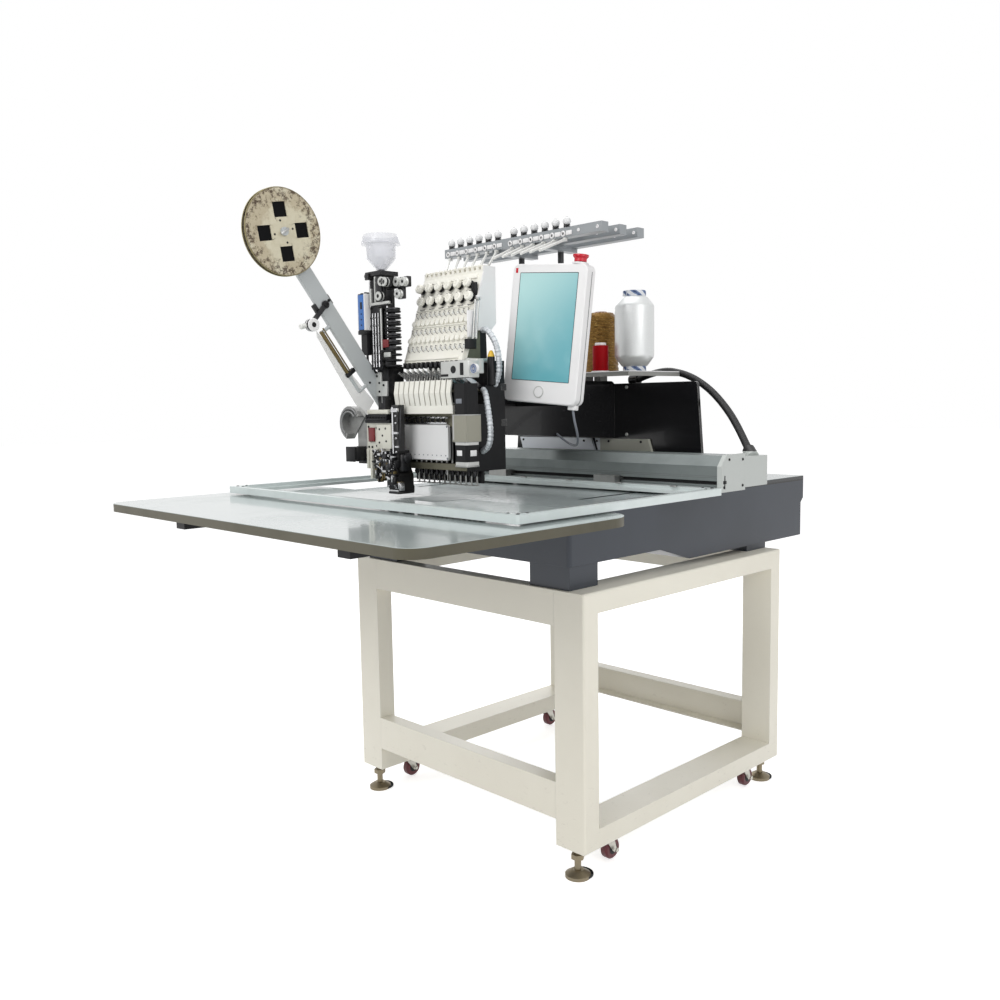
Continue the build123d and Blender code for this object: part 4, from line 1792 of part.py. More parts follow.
def build():
    """Make every node and write it."""
    os.makedirs("parts", exist_ok=True)
    cabinet_gland, box_gland = conduit_glands()
    nodes = {
        "stand_side_left": stand_side(-1),
        "stand_side_right": stand_side(1),
        "stand_rails": stand_rails_front() + stand_rails_rear(),
        "base_casting": base_casting(),
        "bed_plate": bed_plate(),
        "needle_plate": needle_plate(),
        "rotary_hook": rotary_hook(),
        "table_board": table_board(),
        "table_brackets": table_brackets(),
        "x_beam": x_beam(),
        "beam_end_caps": beam_end_caps(),
        "x_belt": x_belt(),
        "x_drive_box": x_drive_box() + box_gland,
        "y_carriages": y_carriages(),
        "border_frame": border_frame(),
        "frame_brackets": frame_brackets(),
        "arm_casting": arm_casting(),
        "control_cabinet": control_cabinet() + cabinet_gland,
        "foot_covers": foot_covers(),
        "spool_shelf": spool_shelf(),
        "thread_spools": [spool_silver(), spool_red(), spool_gold()],
        "thread_rack": thread_rack(),
        "rack_guides": rack_guides(),
        "thread_tubes": thread_tubes(),
        "panel_bracket": panel_bracket(),
        "panel_housing": panel_housing(),
        "panel_screen": panel_screen(),
        "home_button": home_button(),
        "estop_button": estop_button(),
        "needle_case": needle_case(),
        "needle_bars_idle": needle_bars_idle(),
        "needle_bar_active": needle_bar(ACTIVE_NEEDLE),
        "take_up_levers_idle": [take_up_lever(place) for place in idle_places()],
        "take_up_lever_active": take_up_lever(ACTIVE_NEEDLE),
        "lever_guard": lever_guard(),
        "front_cover": front_cover(),
        "head_motors": head_motors(),
        "tension_base": tension_base(),
        "tension_knobs": tension_knobs(),
        "head_cover": head_cover(),
        "sequin_tower": sequin_tower(),
        "bead_hopper": bead_hopper(),
        "sequin_drives": sequin_drives(),
        "sequin_feeder": sequin_feeder(),
        "reel_arm": reel_arm(),
        "sequin_reel": [sequin_reel(), sequin_tape()],
        "tape_lever": tape_lever(),
        "cable_conduit": cable_conduit(),
    }
    for side, hand in ((-1, "left"), (1, "right")):
        for y, end in zip(FOOT_YS, ("front", "rear")):
            nodes["levelling_foot_" + end + "_" + hand] = levelling_foot(side, y)
        for y, end in zip(CASTER_YS, ("front", "rear")):
            nodes["caster_fork_" + end + "_" + hand] = caster_fork(side, y)
            nodes["caster_wheel_" + end + "_" + hand] = caster_wheel(side, y)
    for name, pieces in nodes.items():
        save(name, pieces)


build()
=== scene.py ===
import math

import bmesh
import bpy
import numpy as np
from mathutils import Matrix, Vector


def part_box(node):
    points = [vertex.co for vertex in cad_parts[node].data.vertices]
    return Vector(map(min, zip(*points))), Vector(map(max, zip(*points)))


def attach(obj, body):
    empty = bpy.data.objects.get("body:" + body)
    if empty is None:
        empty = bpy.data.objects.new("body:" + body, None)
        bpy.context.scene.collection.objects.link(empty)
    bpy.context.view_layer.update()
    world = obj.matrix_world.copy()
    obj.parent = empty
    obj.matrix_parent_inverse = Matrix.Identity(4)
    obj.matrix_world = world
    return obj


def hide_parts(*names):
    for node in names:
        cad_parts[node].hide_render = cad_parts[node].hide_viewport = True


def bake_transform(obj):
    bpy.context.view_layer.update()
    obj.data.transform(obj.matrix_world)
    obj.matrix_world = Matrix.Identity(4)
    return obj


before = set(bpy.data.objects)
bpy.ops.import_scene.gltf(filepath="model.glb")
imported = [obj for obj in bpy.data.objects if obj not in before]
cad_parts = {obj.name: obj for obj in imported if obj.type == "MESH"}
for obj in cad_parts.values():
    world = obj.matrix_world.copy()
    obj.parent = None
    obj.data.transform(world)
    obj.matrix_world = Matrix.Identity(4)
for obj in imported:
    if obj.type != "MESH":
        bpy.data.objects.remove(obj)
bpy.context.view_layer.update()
MM = 0.001
WORK_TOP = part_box("table_board")[1][2]

# Directions
RIGHT, LEFT = (1, 0, 0), (-1, 0, 0)
BACK, FRONT = (0, 1, 0), (0, -1, 0)
UP = (0, 0, 1)

# Places in mm
NEEDLE_XS = np.arange(12) * 20.0 - 120.0
NEEDLE_Y = -240.0
WORKING_NEEDLE = 6
TENSION_XS = np.arange(12) * 18.0 - 129.0
TENSION_FOOT_Y, TENSION_FOOT_Z = -258.0, 1210.0
TENSION_RUN, TENSION_RISE = 76.0, 216.0
LEAN = np.array([0.0, -TENSION_RISE, TENSION_RUN]) / math.hypot(TENSION_RISE, TENSION_RUN)
REEL_CENTRE = np.array([0.0, -564.0, 1516.0])
REEL_MIDDLE_X = -201.3
REEL_TURN = 10.0
RACK_BAR_LOW = 1512.0
SHELF_TOP = 1188.0
SILVER_FOOT = (122, 360, SHELF_TOP)
RED_FOOT = (40, 310, SHELF_TOP)
GOLD_FOOT = (-41, 410, SHELF_TOP)


# Finishes


def tint(red, green, blue):
    """Linear colour of an 8-bit screen colour."""
    share = np.array([red, green, blue]) / 255.0
    linear = np.where(share <= 0.04045, share / 12.92, ((share + 0.055) / 1.055) ** 2.4)
    return (*linear.tolist(), 1.0)


class Tone:
    """A socket of a finish; plain arithmetic on it adds Math nodes."""

    def __init__(self, finish, socket):
        self.finish = finish
        self.socket = socket

    def _math(self, operation, first, second):
        return self.finish.add("ShaderNodeMath", {"operation": operation}, {0: first, 1: second})

    def __add__(self, other):
        return self._math("ADD", self, other)

    def __sub__(self, other):
        return self._math("SUBTRACT", self, other)

    def __rsub__(self, other):
        return self._math("SUBTRACT", other, self)

    def __mul__(self, other):
        return self._math("MULTIPLY", self, other)

    __radd__ = __add__
    __rmul__ = __mul__


class Finish:
    """One material: a Principled shader and the nodes that feed it."""

    def __init__(self, name):
        self.material = bpy.data.materials.new(name)
        self.material.use_nodes = True
        self.tree = self.material.node_tree
        self.tree.nodes.clear()
        self.shader = self.tree.nodes.new("ShaderNodeBsdfPrincipled")
        self.output = self.tree.nodes.new("ShaderNodeOutputMaterial")
        self.tree.links.new(self.shader.outputs[0], self.output.inputs["Surface"])

    def add(self, kind, settings=(), sockets=(), out=0):
        """Any node: its settings first, then the values or links of its sockets."""
        node = self.tree.nodes.new(kind)
        for key, value in dict(settings).items():
            if key == "stops":
                ramp = node.color_ramp
                while len(ramp.elements) < len(value):
                    ramp.elements.new(0.5)
                for element, (place, colour) in zip(ramp.elements, value):
                    element.position = place
                    element.color = colour
            else:
                setattr(node, key, value)
        for key, value in dict(sockets).items():
            self.feed(node.inputs[key], value)
        return Tone(self, node.outputs[out])

    def feed(self, socket, value):
        """A link from a tone, or a fixed value."""
        if isinstance(value, Tone):
            self.tree.links.new(value.socket, socket)
        else:
            socket.default_value = value

    def place(self, source="Object"):
        """Coordinates of the point, as one vector."""
        outs = {"Object": 3, "UV": 2}
        return self.add("ShaderNodeTexCoord", out=outs[source])

    def axes(self, source="Object"):
        """The three coordinates of the point, each as a tone."""
        split = self.add("ShaderNodeSeparateXYZ", (), {0: self.place(source)})
        node = split.socket.node
        return [Tone(self, node.outputs[k]) for k in range(3)]

    def noise(self, scale, detail=3.0, rough=0.5, stretch=(1, 1, 1), source="Object"):
        """Cloudy noise from 0 to 1, on coordinates stretched along each axis."""
        place = self.add("ShaderNodeMapping", (), {"Vector": self.place(source), "Scale": stretch})
        sockets = {"Vector": place, "Scale": scale, "Detail": detail, "Roughness": rough}
        return self.add("ShaderNodeTexNoise", (), sockets)

    def step(self, value, low, high):
        """Smooth rise from 0 to 1 between two values."""
        sockets = {"Value": value, "From Min": low, "From Max": high}
        return self.add("ShaderNodeMapRange", {"interpolation_type": "SMOOTHSTEP"}, sockets)

    def mix(self, share, first, second):
        """Colour between two, by a share."""
        return self.add("ShaderNodeMix", {"data_type": "RGBA"}, {0: share, 6: first, 7: second}, out=2)

    def wave(self, value, pitch):
        """Sine of a length, from 0 to 1, once every pitch."""
        angle = value * (2 * math.pi / pitch)
        return self.add("ShaderNodeMath", {"operation": "SINE"}, {0: angle}) * 0.5 + 0.5

    def rounded(self, radius=0.0012):
        """Normal that is softened along the edges, as a small round would."""
        return self.add("ShaderNodeBevel", {"samples": 3}, {"Radius": radius})

    def edge(self, radius=0.003):
        """Share of wear along the edges: how far the softened normal turns."""
        soft = self.rounded(radius)
        true = self.add("ShaderNodeNewGeometry", out=1)
        return 1.0 - self.add("ShaderNodeVectorMath", {"operation": "DOT_PRODUCT"}, {0: soft, 1: true}, out=1)

    def bump(self, height, strength, distance, under=None):
        """Normal of a surface raised by the height."""
        sockets = {"Height": height, "Strength": strength, "Distance": distance}
        if under is not None:
            sockets["Normal"] = under
        return self.add("ShaderNodeBump", (), sockets)

    def done(self, colour, rough, metal=0.0, normal=None, **others):
        """Feed the shader and give the material."""
        self.feed(self.shader.inputs["Base Color"], colour)
        self.feed(self.shader.inputs["Roughness"], rough)
        self.feed(self.shader.inputs["Metallic"], metal)
        if normal is not None:
            self.feed(self.shader.inputs["Normal"], normal)
        for key, value in others.items():
            self.feed(self.shader.inputs[key.replace("_", " ")], value)
        return self.material


def enamel(name, colour, shade, rough=0.36, peel=0.05, round_edge=0.0016):
    """Sprayed paint: faint clouds of shade, orange peel, and thin worn edges."""
    f = Finish(name)
    cloud = f.step(f.noise(2.6, 5.0, 0.6), 0.35, 0.75)
    dust = f.step(f.noise(46.0, 4.0, 0.7), 0.62, 0.80)
    fine = f.noise(620.0, 2.0)
    body = f.mix(cloud * 0.6, colour, shade)
    body = f.mix(dust * 0.16, body, shade)
    worn = f.mix(f.step(f.edge(0.0025), 0.06, 0.30) * 0.25, body, tint(246, 244, 238))
    gloss = rough + (fine - 0.5) * 0.10 + dust * 0.10
    return f.done(worn, gloss, 0.0, f.bump(fine, peel, 0.0006, f.rounded(round_edge)), Coat_Weight=0.12)


def moulded(name, colour, shade, rough=0.42, grain=0.06, round_edge=0.0008, shine=0.5):
    """Moulded plastic: fine spark grain and a slight change of tone."""
    f = Finish(name)
    cloud = f.step(f.noise(9.0, 4.0, 0.6), 0.40, 0.75)
    fine = f.noise(1500.0, 2.0)
    body = f.mix(cloud * 0.5, colour, shade)
    normal = f.bump(fine, grain, 0.0003, f.rounded(round_edge))
    return f.done(body, rough + (fine - 0.5) * 0.12, 0.0, normal, Specular_IOR_Level=shine)


def drawn(name, colour, shade, rough=0.34, along=0, metal=0.85, round_edge=0.0006):
    """Bare or anodised metal: fine lines along one axis and soft smudges."""
    f = Finish(name)
    stretch = [1.0, 1.0, 1.0]
    stretch[along] = 0.02
    lines = f.noise(1400.0, 2.0, 0.6, stretch)
    smudge = f.step(f.noise(14.0, 4.0, 0.6), 0.40, 0.72)
    body = f.mix(lines * 0.35 + smudge * 0.35, colour, shade)
    gloss = rough + (lines - 0.5) * 0.14 + smudge * 0.08
    return f.done(body, gloss, metal, f.bump(lines, 0.05, 0.0003, f.rounded(round_edge)))


def polished(name, colour, rough=0.16, metal=1.0):
    """Bright metal with a faint haze."""
    f = Finish(name)
    haze = f.noise(60.0, 4.0, 0.6)
    fine = f.noise(900.0, 2.0)
    body = f.mix(f.step(haze, 0.45, 0.80) * 0.3, colour, tint(120, 118, 114))
    return f.done(body, rough + haze * 0.14, metal, f.bump(fine, 0.02, 0.0002, f.rounded(0.0004)))


def stand_paint():
    """Warm pale grey enamel of the stand, with scuffs near the floor."""
    f = Finish("stand_enamel")
    z = f.axes()[2]
    cloud = f.step(f.noise(2.2, 5.0, 0.6), 0.36, 0.74)
    fine = f.noise(560.0, 2.0)
    scuff = f.step(f.noise(38.0, 5.0, 0.75, (1, 1, 2.4)), 0.60, 0.72) * (1.0 - f.step(z, 0.10, 0.34))
    body = f.mix(cloud * 0.7, tint(240, 236, 222), tint(231, 226, 211))
    body = f.mix(scuff * 0.35, body, tint(176, 170, 156))
    body = f.mix(f.step(f.edge(0.003), 0.06, 0.30) * 0.35, body, tint(242, 241, 236))
    gloss = 0.34 + (fine - 0.5) * 0.10 + scuff * 0.18
    return f.done(body, gloss, 0.0, f.bump(fine, 0.05, 0.0006, f.rounded(0.002)), Coat_Weight=0.10)


def table_laminate():
    """Glossy pale laminate on the top face, and a satin olive band round the edge below it."""
    f = Finish("table_laminate")
    z = f.axes()[2]
    top = f.step(z, WORK_TOP - 0.0014, WORK_TOP - 0.0006)
    rub = f.step(f.noise(3.4, 5.0, 0.65), 0.42, 0.74)
    hair = f.noise(260.0, 3.0, 0.6, (0.08, 1, 1))
    edge = f.mix(rub * 0.7, tint(78, 74, 57), tint(62, 59, 44))
    body = f.mix(rub * 0.6, tint(172, 181, 180), tint(160, 169, 168))
    body = f.mix(top, edge, body)
    gloss = 0.40 - top * 0.30 + rub * 0.10 + hair * 0.06
    return f.done(body, gloss, 0.0, f.bump(hair, 0.012, 0.0003), Coat_Weight=top * 0.35)


def bed_enamel():
    """Grey enamel on the bed's top face, black edge strip all round below it."""
    f = Finish("bed_grey")
    z = f.axes()[2]
    top = f.step(z, WORK_TOP - 0.0012, WORK_TOP - 0.0004)
    cloud = f.step(f.noise(3.0, 5.0, 0.6), 0.36, 0.74)
    fine = f.noise(620.0, 2.0)
    body = f.mix(cloud * 0.6, tint(150, 158, 158), tint(136, 144, 145))
    body = f.mix(top, tint(30, 31, 34), body)
    return f.done(body, 0.20 + (fine - 0.5) * 0.10, 0.0, f.bump(fine, 0.04, 0.0005), Coat_Weight=0.12)


def motor_black():
    """Stepper motors: black laminations, bright end plates and the grey bracket between them."""
    f = Finish("motor_black")
    z = f.axes()[2]
    core_low, core_high, bracket_low, bracket_high = 0.9700, 1.0100, 1.0176, 1.0806
    plate = f.step(z, bracket_low, 1.0184) * (1.0 - f.step(z, bracket_high, 1.0814))
    core = f.step(z, core_low, 0.9704) * (1.0 - f.step(z, core_high, 1.0104))
    bright = (1.0 - core) * (1.0 - f.step(z, bracket_low, 1.0180))
    lines = f.wave(z, 0.0012)
    fine = f.noise(700.0, 2.0)
    body = f.mix(lines * 0.5, tint(22, 22, 24), tint(14, 14, 16))
    body = f.mix(bright, body, tint(196, 196, 194))
    body = f.mix(plate, body, tint(150, 148, 136))
    metal = bright * 0.85 + plate * 0.6
    normal = f.bump(lines, 0.05, 0.0003, f.rounded(0.0006))
    return f.done(body, 0.38 + (fine - 0.5) * 0.12, metal, normal, Specular_IOR_Level=0.2)


def base_paint():
    """Slate enamel of the base, with a black band under the bed plate that is painted shadow of the gap below
    the border frame.
    """
    f = Finish("base_enamel")
    z = f.axes()[2]
    # Painted shadow: the top band of the base is painted black where the gap under the border frame lies in
    # shade.
    band = f.step(z, WORK_TOP - 0.0145, WORK_TOP - 0.0135)
    cloud = f.step(f.noise(2.4, 4.0, 0.6), 0.34, 0.74)
    fine = f.noise(620.0, 2.0)
    body = f.mix(cloud * 0.8, tint(46, 52, 62), tint(36, 42, 51))
    body = f.mix(band, body, tint(14, 14, 16))
    normal = f.bump(fine, 0.05, 0.0006, f.rounded(0.0016))
    return f.done(body, 0.40 + (fine - 0.5) * 0.10, 0.0, normal, Coat_Weight=0.06)


def cap_paint():
    """Pale grey end caps and drive box, black gland above the box."""
    f = Finish("cap_grey")
    z = f.axes()[2]
    gland = f.step(z, WORK_TOP + 0.1010, WORK_TOP + 0.1020)
    fine = f.noise(700.0, 2.0)
    body = f.mix(fine * 0.5, tint(192, 196, 193), tint(182, 186, 183))
    body = f.mix(gland, body, tint(20, 20, 21))
    return f.done(body, 0.40 + (fine - 0.5) * 0.12, 0.0, f.bump(fine, 0.06, 0.0003, f.rounded(0.0008)))


def foot_cover_paint():
    """Foot covers with painted light and shade: the left one bluish white, painted bright as if lit, the
    right one dull grey, painted as if shaded.
    """
    f = Finish("foot_cover_lit_and_shaded")
    x = f.axes()[0]
    right = f.step(x, 0.0010, 0.0030)
    fine = f.noise(620.0, 2.0)
    # Painted light and shade: the left cover is painted bright to make up for the shade over it, and the
    # right one grey as it looks in that shade.
    body = f.mix(right, tint(232, 236, 242), tint(178, 178, 166))
    return f.done(body, 0.30 + (fine - 0.5) * 0.10, 0.0, f.bump(fine, 0.05, 0.0006, f.rounded(0.0016)))


def rack_paint():
    """Grey anodised bars over black posts and feet."""
    f = Finish("rack_grey")
    z = f.axes()[2]
    bar = f.step(z, 1.4995, 1.5015)
    lines = f.noise(1400.0, 2.0, 0.6, (0.02, 1, 1))
    smudge = f.step(f.noise(14.0, 4.0, 0.6), 0.40, 0.72)
    body = f.mix(lines * 0.35 + smudge * 0.35, tint(158, 162, 165), tint(134, 139, 142))
    body = f.mix(bar, tint(26, 26, 28), body)
    normal = f.bump(lines, 0.05, 0.0003, f.rounded(0.0008))
    return f.done(body, 0.36 + (lines - 0.5) * 0.14, bar * 0.5, normal)


def case_paint():
    """Needle case: olive-grey guides in front of a blackened back plate and right end."""
    f = Finish("case_grey")
    x, y = f.axes()[:2]
    behind, aside = f.step(y, -0.1775, -0.1765), f.step(x, 0.0930, 0.0950)
    back = behind + aside - behind * aside
    lines = f.noise(1200.0, 2.0, 0.6, (0.02, 1, 1))
    cloud = f.step(f.noise(12.0, 5.0, 0.62), 0.38, 0.72)
    body = f.mix(lines * 0.3 + cloud * 0.4, tint(120, 117, 102), tint(84, 81, 68))
    body = f.mix(back, body, f.mix(cloud * 0.6, tint(22, 22, 24), tint(14, 14, 16)))
    normal = f.bump(lines, 0.05, 0.0003, f.rounded(0.0008))
    return f.done(body, 0.38 + (lines - 0.5) * 0.14, 0.45 - back * 0.45, normal, Specular_IOR_Level=0.2)


def feeder_paint():
    """Feeder: pale plate and bar, smoke-grey horn on the left, blackened steel body below."""
    f = Finish("feeder_mixed")
    x, z = f.axes()[0::2]
    fine = f.noise(700.0, 2.0)
    cloud = f.step(f.noise(18.0, 5.0, 0.65), 0.40, 0.72)
    low = 1.0 - f.step(z, 0.9915, 0.9925)
    bar = f.step(x, -0.1148, -0.1142)
    side = 1.0 - f.step(x, -0.2226, -0.2220)
    body = f.mix(cloud * 0.6, tint(210, 209, 198), tint(192, 191, 180))
    body = f.mix(side, body, f.mix(cloud * 0.7, tint(148, 148, 146), tint(104, 104, 104)))
    dark = f.mix(cloud * 0.7, tint(30, 29, 29), tint(16, 16, 18))
    body = f.mix(low, body, dark)
    body = f.mix(bar, body, dark)
    metal = low * 0.55 + side * 0.2
    gloss = 0.36 + (fine - 0.5) * 0.14 + cloud * 0.10
    return f.done(body, gloss, metal, f.bump(fine, 0.05, 0.0003, f.rounded(0.0006)))


def screen_glow():
    """Lit screen: teal, paler to the upper left, under glass."""
    f = Finish("screen_glass")
    x, z = f.axes()[0::2]
    rise = f.step((z - 1.14) * 2.9 - (x - 0.19) * 2.4, 0.02, 0.98)
    soft = f.noise(9.0, 3.0, 0.5)
    body = f.mix(rise, tint(92, 158, 168), tint(164, 200, 199))
    body = f.mix(f.step(soft, 0.45, 0.80) * 0.18, body, tint(176, 208, 206))
    glow = {"Emission_Color": body, "Emission_Strength": 0.22}
    return f.done(body, 0.14 + soft * 0.03, 0.0, None, Coat_Weight=0.3, **glow)


def reel_board():
    """Old pressed board, browned and stained towards the rim; dark turns between the flanges."""
    f = Finish("reel_board")
    x, y, z = f.axes()
    off_y = y - REEL_CENTRE[1] * MM
    off_z = z - REEL_CENTRE[2] * MM
    radius = f.add("ShaderNodeMath", {"operation": "SQRT"}, {0: off_y * off_y + off_z * off_z})
    depth = f.add("ShaderNodeMath", {"operation": "ABSOLUTE"}, {0: x - REEL_MIDDLE_X * MM})
    wide = f.noise(15.0, 6.0, 0.72)
    fine = f.noise(92.0, 6.0, 0.78)
    outer = f.step(radius, 0.040, 0.092)
    stain = f.step(wide + outer * 0.18, 0.55, 0.67)
    vein = f.noise(46.0, 9.0, 0.86)
    spot = f.step(fine * 0.5 + vein * 0.5 + outer * 0.10, 0.585, 0.65) * (0.10 + outer * 0.90)
    body = f.mix(f.step(fine, 0.30, 0.75) * 0.5, tint(212, 205, 182), tint(190, 179, 148))
    body = f.mix(stain * 0.34, body, tint(140, 112, 72))
    body = f.mix(spot * 0.90, body, tint(58, 38, 25))
    body = f.mix(f.step(radius, 0.0980, 0.1008) * 0.70, body, tint(92, 80, 48))
    flange = f.step(depth, 0.00495, 0.00505)
    turns = f.wave(radius, 0.0011)
    body = f.mix(flange, f.mix(turns, tint(20, 19, 24), tint(10, 10, 13)), body)
    gloss = 0.30 + flange * 0.25 + stain * flange * 0.2
    return f.done(body, gloss, 0.0, f.bump(fine * flange + spot * flange * 0.6 + turns * 0.2, 0.14, 0.0008))


def clear_plastic():
    """Cloudy clear plastic of the hopper."""
    f = Finish("hopper_clear")
    milk = f.noise(30.0, 3.0, 0.5)
    body = f.mix(milk * 0.4, tint(222, 223, 229), tint(204, 206, 214))
    return f.done(body, 0.12 + milk * 0.08, 0.0, None, Alpha=0.30 + milk * 0.10, Coat_Weight=0.5)


def ball_plastic():
    """Clear moulded ball with a milky heart."""
    f = Finish("ball_clear")
    milk = f.noise(90.0, 3.0, 0.5)
    body = f.mix(milk * 0.6, tint(242, 242, 242), tint(212, 214, 216))
    return f.done(body, 0.12 + milk * 0.10, 0.0, None, Alpha=0.72 + milk * 0.16, Coat_Weight=0.4)


def film_plastic():
    """Thin see-through carrier tape."""
    f = Finish("carrier_film")
    streak = f.noise(40.0, 3.0, 0.5, (1, 0.1, 0.1))
    body = f.mix(streak * 0.5, tint(226, 226, 224), tint(190, 190, 188))
    return f.done(body, 0.20 + streak * 0.1, 0.0, None, Alpha=0.42 + streak * 0.2)


def wound(name, colours, pitch, rough, metal, tilt, shine=0.5, crinkle=0.1):
    """Thread wound on a spool: crossing turns along the spool's own UV map."""
    colour, shade, light = (tint(*colour) for colour in colours)
    f = Finish(name)
    u, v = f.axes("UV")[:2]
    one = f.wave(v + u * tilt, pitch)
    two = f.wave(v - u * tilt, pitch * 1.31)
    turn = one * 0.6 + two * 0.4
    fibre = f.noise(240.0, 4.0, 0.7, (0.15, 1, 1), "UV")
    knot = f.noise(420.0, 5.0, 0.75, (0.55, 1, 1), "UV")
    body = f.mix(f.step(turn * 0.5 + knot * 0.5, 0.30, 0.70), shade, colour)
    body = f.mix(f.step(fibre * 0.5 + knot * 0.5, 0.52, 0.70) * 0.6, body, light)
    raised = turn * 0.35 + fibre * 0.3 + knot * crinkle
    normal = f.bump(raised, 0.10 + crinkle * 0.4, 0.0008)
    return f.done(body, rough + fibre * 0.16, metal, normal, Specular_IOR_Level=shine)


def patterned_core():
    """Printed paper core of the silver cone: slanted pale and blue clouds."""
    f = Finish("core_paper")
    u, v = f.axes("UV")[:2]
    band = f.wave(u + v * 1.1, 0.026) * 0.62 + f.noise(120.0, 4.0, 0.65, (1, 1, 1), "UV") * 0.5
    body = f.mix(f.step(band, 0.50, 0.62), tint(232, 234, 238), tint(104, 128, 168))
    body = f.mix(f.step(band, 0.76, 0.86), body, tint(44, 62, 104))
    return f.done(body, 0.55, 0.0, None)


def spiral_clear():
    """Clear spiral wrap: pale, half see-through, over dark leads."""
    f = Finish("wrap_clear")
    u, v = f.axes("UV")[:2]
    turn = f.wave(v + u * 0.012, 0.012)
    lead = f.step(f.noise(30.0, 2.0, 0.5, (3.0, 0.4, 1), "UV"), 0.45, 0.62)
    body = f.mix(lead * 0.7, tint(216, 220, 224), tint(120, 124, 130))
    body = f.mix(f.step(turn, 0.82, 0.98) * 0.7, body, tint(150, 154, 160))
    return f.done(body, 0.22 + turn * 0.1, 0.0, f.bump(turn, 0.5, 0.0010), Coat_Weight=0.3)


SILVER = ((226, 228, 227), (216, 218, 218), (240, 241, 241))
SCARLET = ((164, 2, 14), (138, 1, 10), (190, 14, 28))
GOLD = ((150, 110, 38), (58, 36, 9), (236, 206, 122))

PAINT = {
    "stand": stand_paint(),
    "base": base_paint(),
    "bed": bed_enamel(),
    "table": table_laminate(),
    "aluminium": drawn("anodised_bar", tint(216, 224, 223), tint(196, 204, 203), 0.36, 0, 0.40),
    "beam": drawn("beam_anodised", tint(126, 133, 132), tint(106, 113, 113), 0.38, 0, 0.45),
    "rack": rack_paint(),
    "foot_zinc": polished("foot_zinc", tint(132, 122, 102), 0.34),
    "cap": cap_paint(),
    "belt": moulded("belt_rubber", tint(28, 28, 29), tint(20, 20, 21), 0.7, 0.2),
    "cabinet": enamel("cabinet_black", tint(20, 20, 22), tint(15, 15, 17), 0.20, 0.03, 0.0012),
    "arm": enamel("arm_black", tint(20, 20, 22), tint(15, 15, 17), 0.26, 0.03, 0.0012),
    "foot_cover": foot_cover_paint(),
    "shelf": enamel("shelf_grey", tint(150, 150, 146), tint(132, 132, 128), 0.36),
    "cream": moulded("cream_plastic", tint(241, 239, 230), tint(232, 229, 217), 0.34),
    "white": moulded("white_plastic", tint(236, 235, 235), tint(228, 227, 228), 0.30),
    "pearl": moulded("pearl_plastic", tint(226, 226, 222), tint(206, 206, 202), 0.22),
    "screen": screen_glow(),
    "red": moulded("red_plastic", tint(196, 24, 44), tint(176, 16, 36), 0.26),
    "blue": moulded("blue_plastic", tint(58, 112, 184), tint(46, 96, 166), 0.34),
    "black": moulded("black_plastic", tint(22, 22, 24), tint(15, 15, 17), 0.42, shine=0.25),
    "case": case_paint(),
    "motor": motor_black(),
    "feeder": feeder_paint(),
    "arm_grey": enamel("reel_arm_grey", tint(184, 188, 189), tint(172, 177, 178), 0.34),
    "steel": drawn("ground_steel", tint(176, 176, 174), tint(144, 144, 142), 0.30, 2, 0.9),
    "chrome": polished("chrome", tint(200, 200, 202)),
    "zinc": polished("zinc_plate", tint(186, 184, 176), 0.28),
    "dark_steel": polished("dark_steel", tint(54, 54, 56), 0.30, 0.9),
    "plate_dull": drawn("needle_plate_dull", tint(138, 145, 145), tint(118, 125, 125), 0.48, 0, 0.15),
    "maroon": moulded("wheel_maroon", tint(92, 22, 33), tint(70, 14, 24), 0.40),
    "board": reel_board(),
    "tape": moulded("tape_dark", tint(7, 7, 9), tint(4, 4, 6), 0.5, shine=0.08),
    "clear": clear_plastic(),
    "conduit": moulded("conduit_black", tint(24, 24, 25), tint(17, 17, 18), 0.48, 0.08),
    "silver_thread": wound("silver_thread", SILVER, 0.0009, 0.30, 0.45, 0.002),
    "red_thread": wound("red_thread", SCARLET, 0.0008, 0.45, 0.0, 0.001, 0.12),
    "gold_thread": wound("gold_thread", GOLD, 0.0034, 0.26, 0.55, 0.040, 0.5, 0.9),
    "core": patterned_core(),
    "wrap": spiral_clear(),
    "yellow": moulded("yellow_plastic", tint(226, 184, 58), tint(206, 164, 40), 0.40),
    "oxide": moulded("red_block", tint(120, 34, 38), tint(98, 26, 30), 0.42),
    "ball": ball_plastic(),
    "milky": moulded("guide_milky", tint(222, 222, 216), tint(196, 196, 190), 0.24),
    "alloy": drawn("cast_alloy", tint(206, 207, 204), tint(178, 179, 176), 0.34, 2, 0.35),
    "plate_pale": enamel("feed_plate_pale", tint(216, 214, 202), tint(200, 198, 186), 0.36),
    "mark_grey": moulded("mark_grey", tint(120, 124, 132), tint(98, 102, 110), 0.44),
    "seam_grey": moulded("seam_grey", tint(104, 108, 108), tint(84, 88, 88), 0.5),
    "seam_dark": moulded("seam_dark", tint(6, 6, 7), tint(4, 4, 5), 0.6),
    "bronze": polished("bronze", tint(112, 98, 66), 0.30, 0.85),
    "film": film_plastic(),
    "rim": moulded("reel_rim", tint(150, 140, 96), tint(104, 92, 56), 0.5),
    "horn_grey": moulded("horn_grey", tint(142, 142, 142), tint(96, 96, 98), 0.30),
    "collar_white": moulded("collar_white", tint(238, 236, 236), tint(228, 226, 226), 0.34),
}

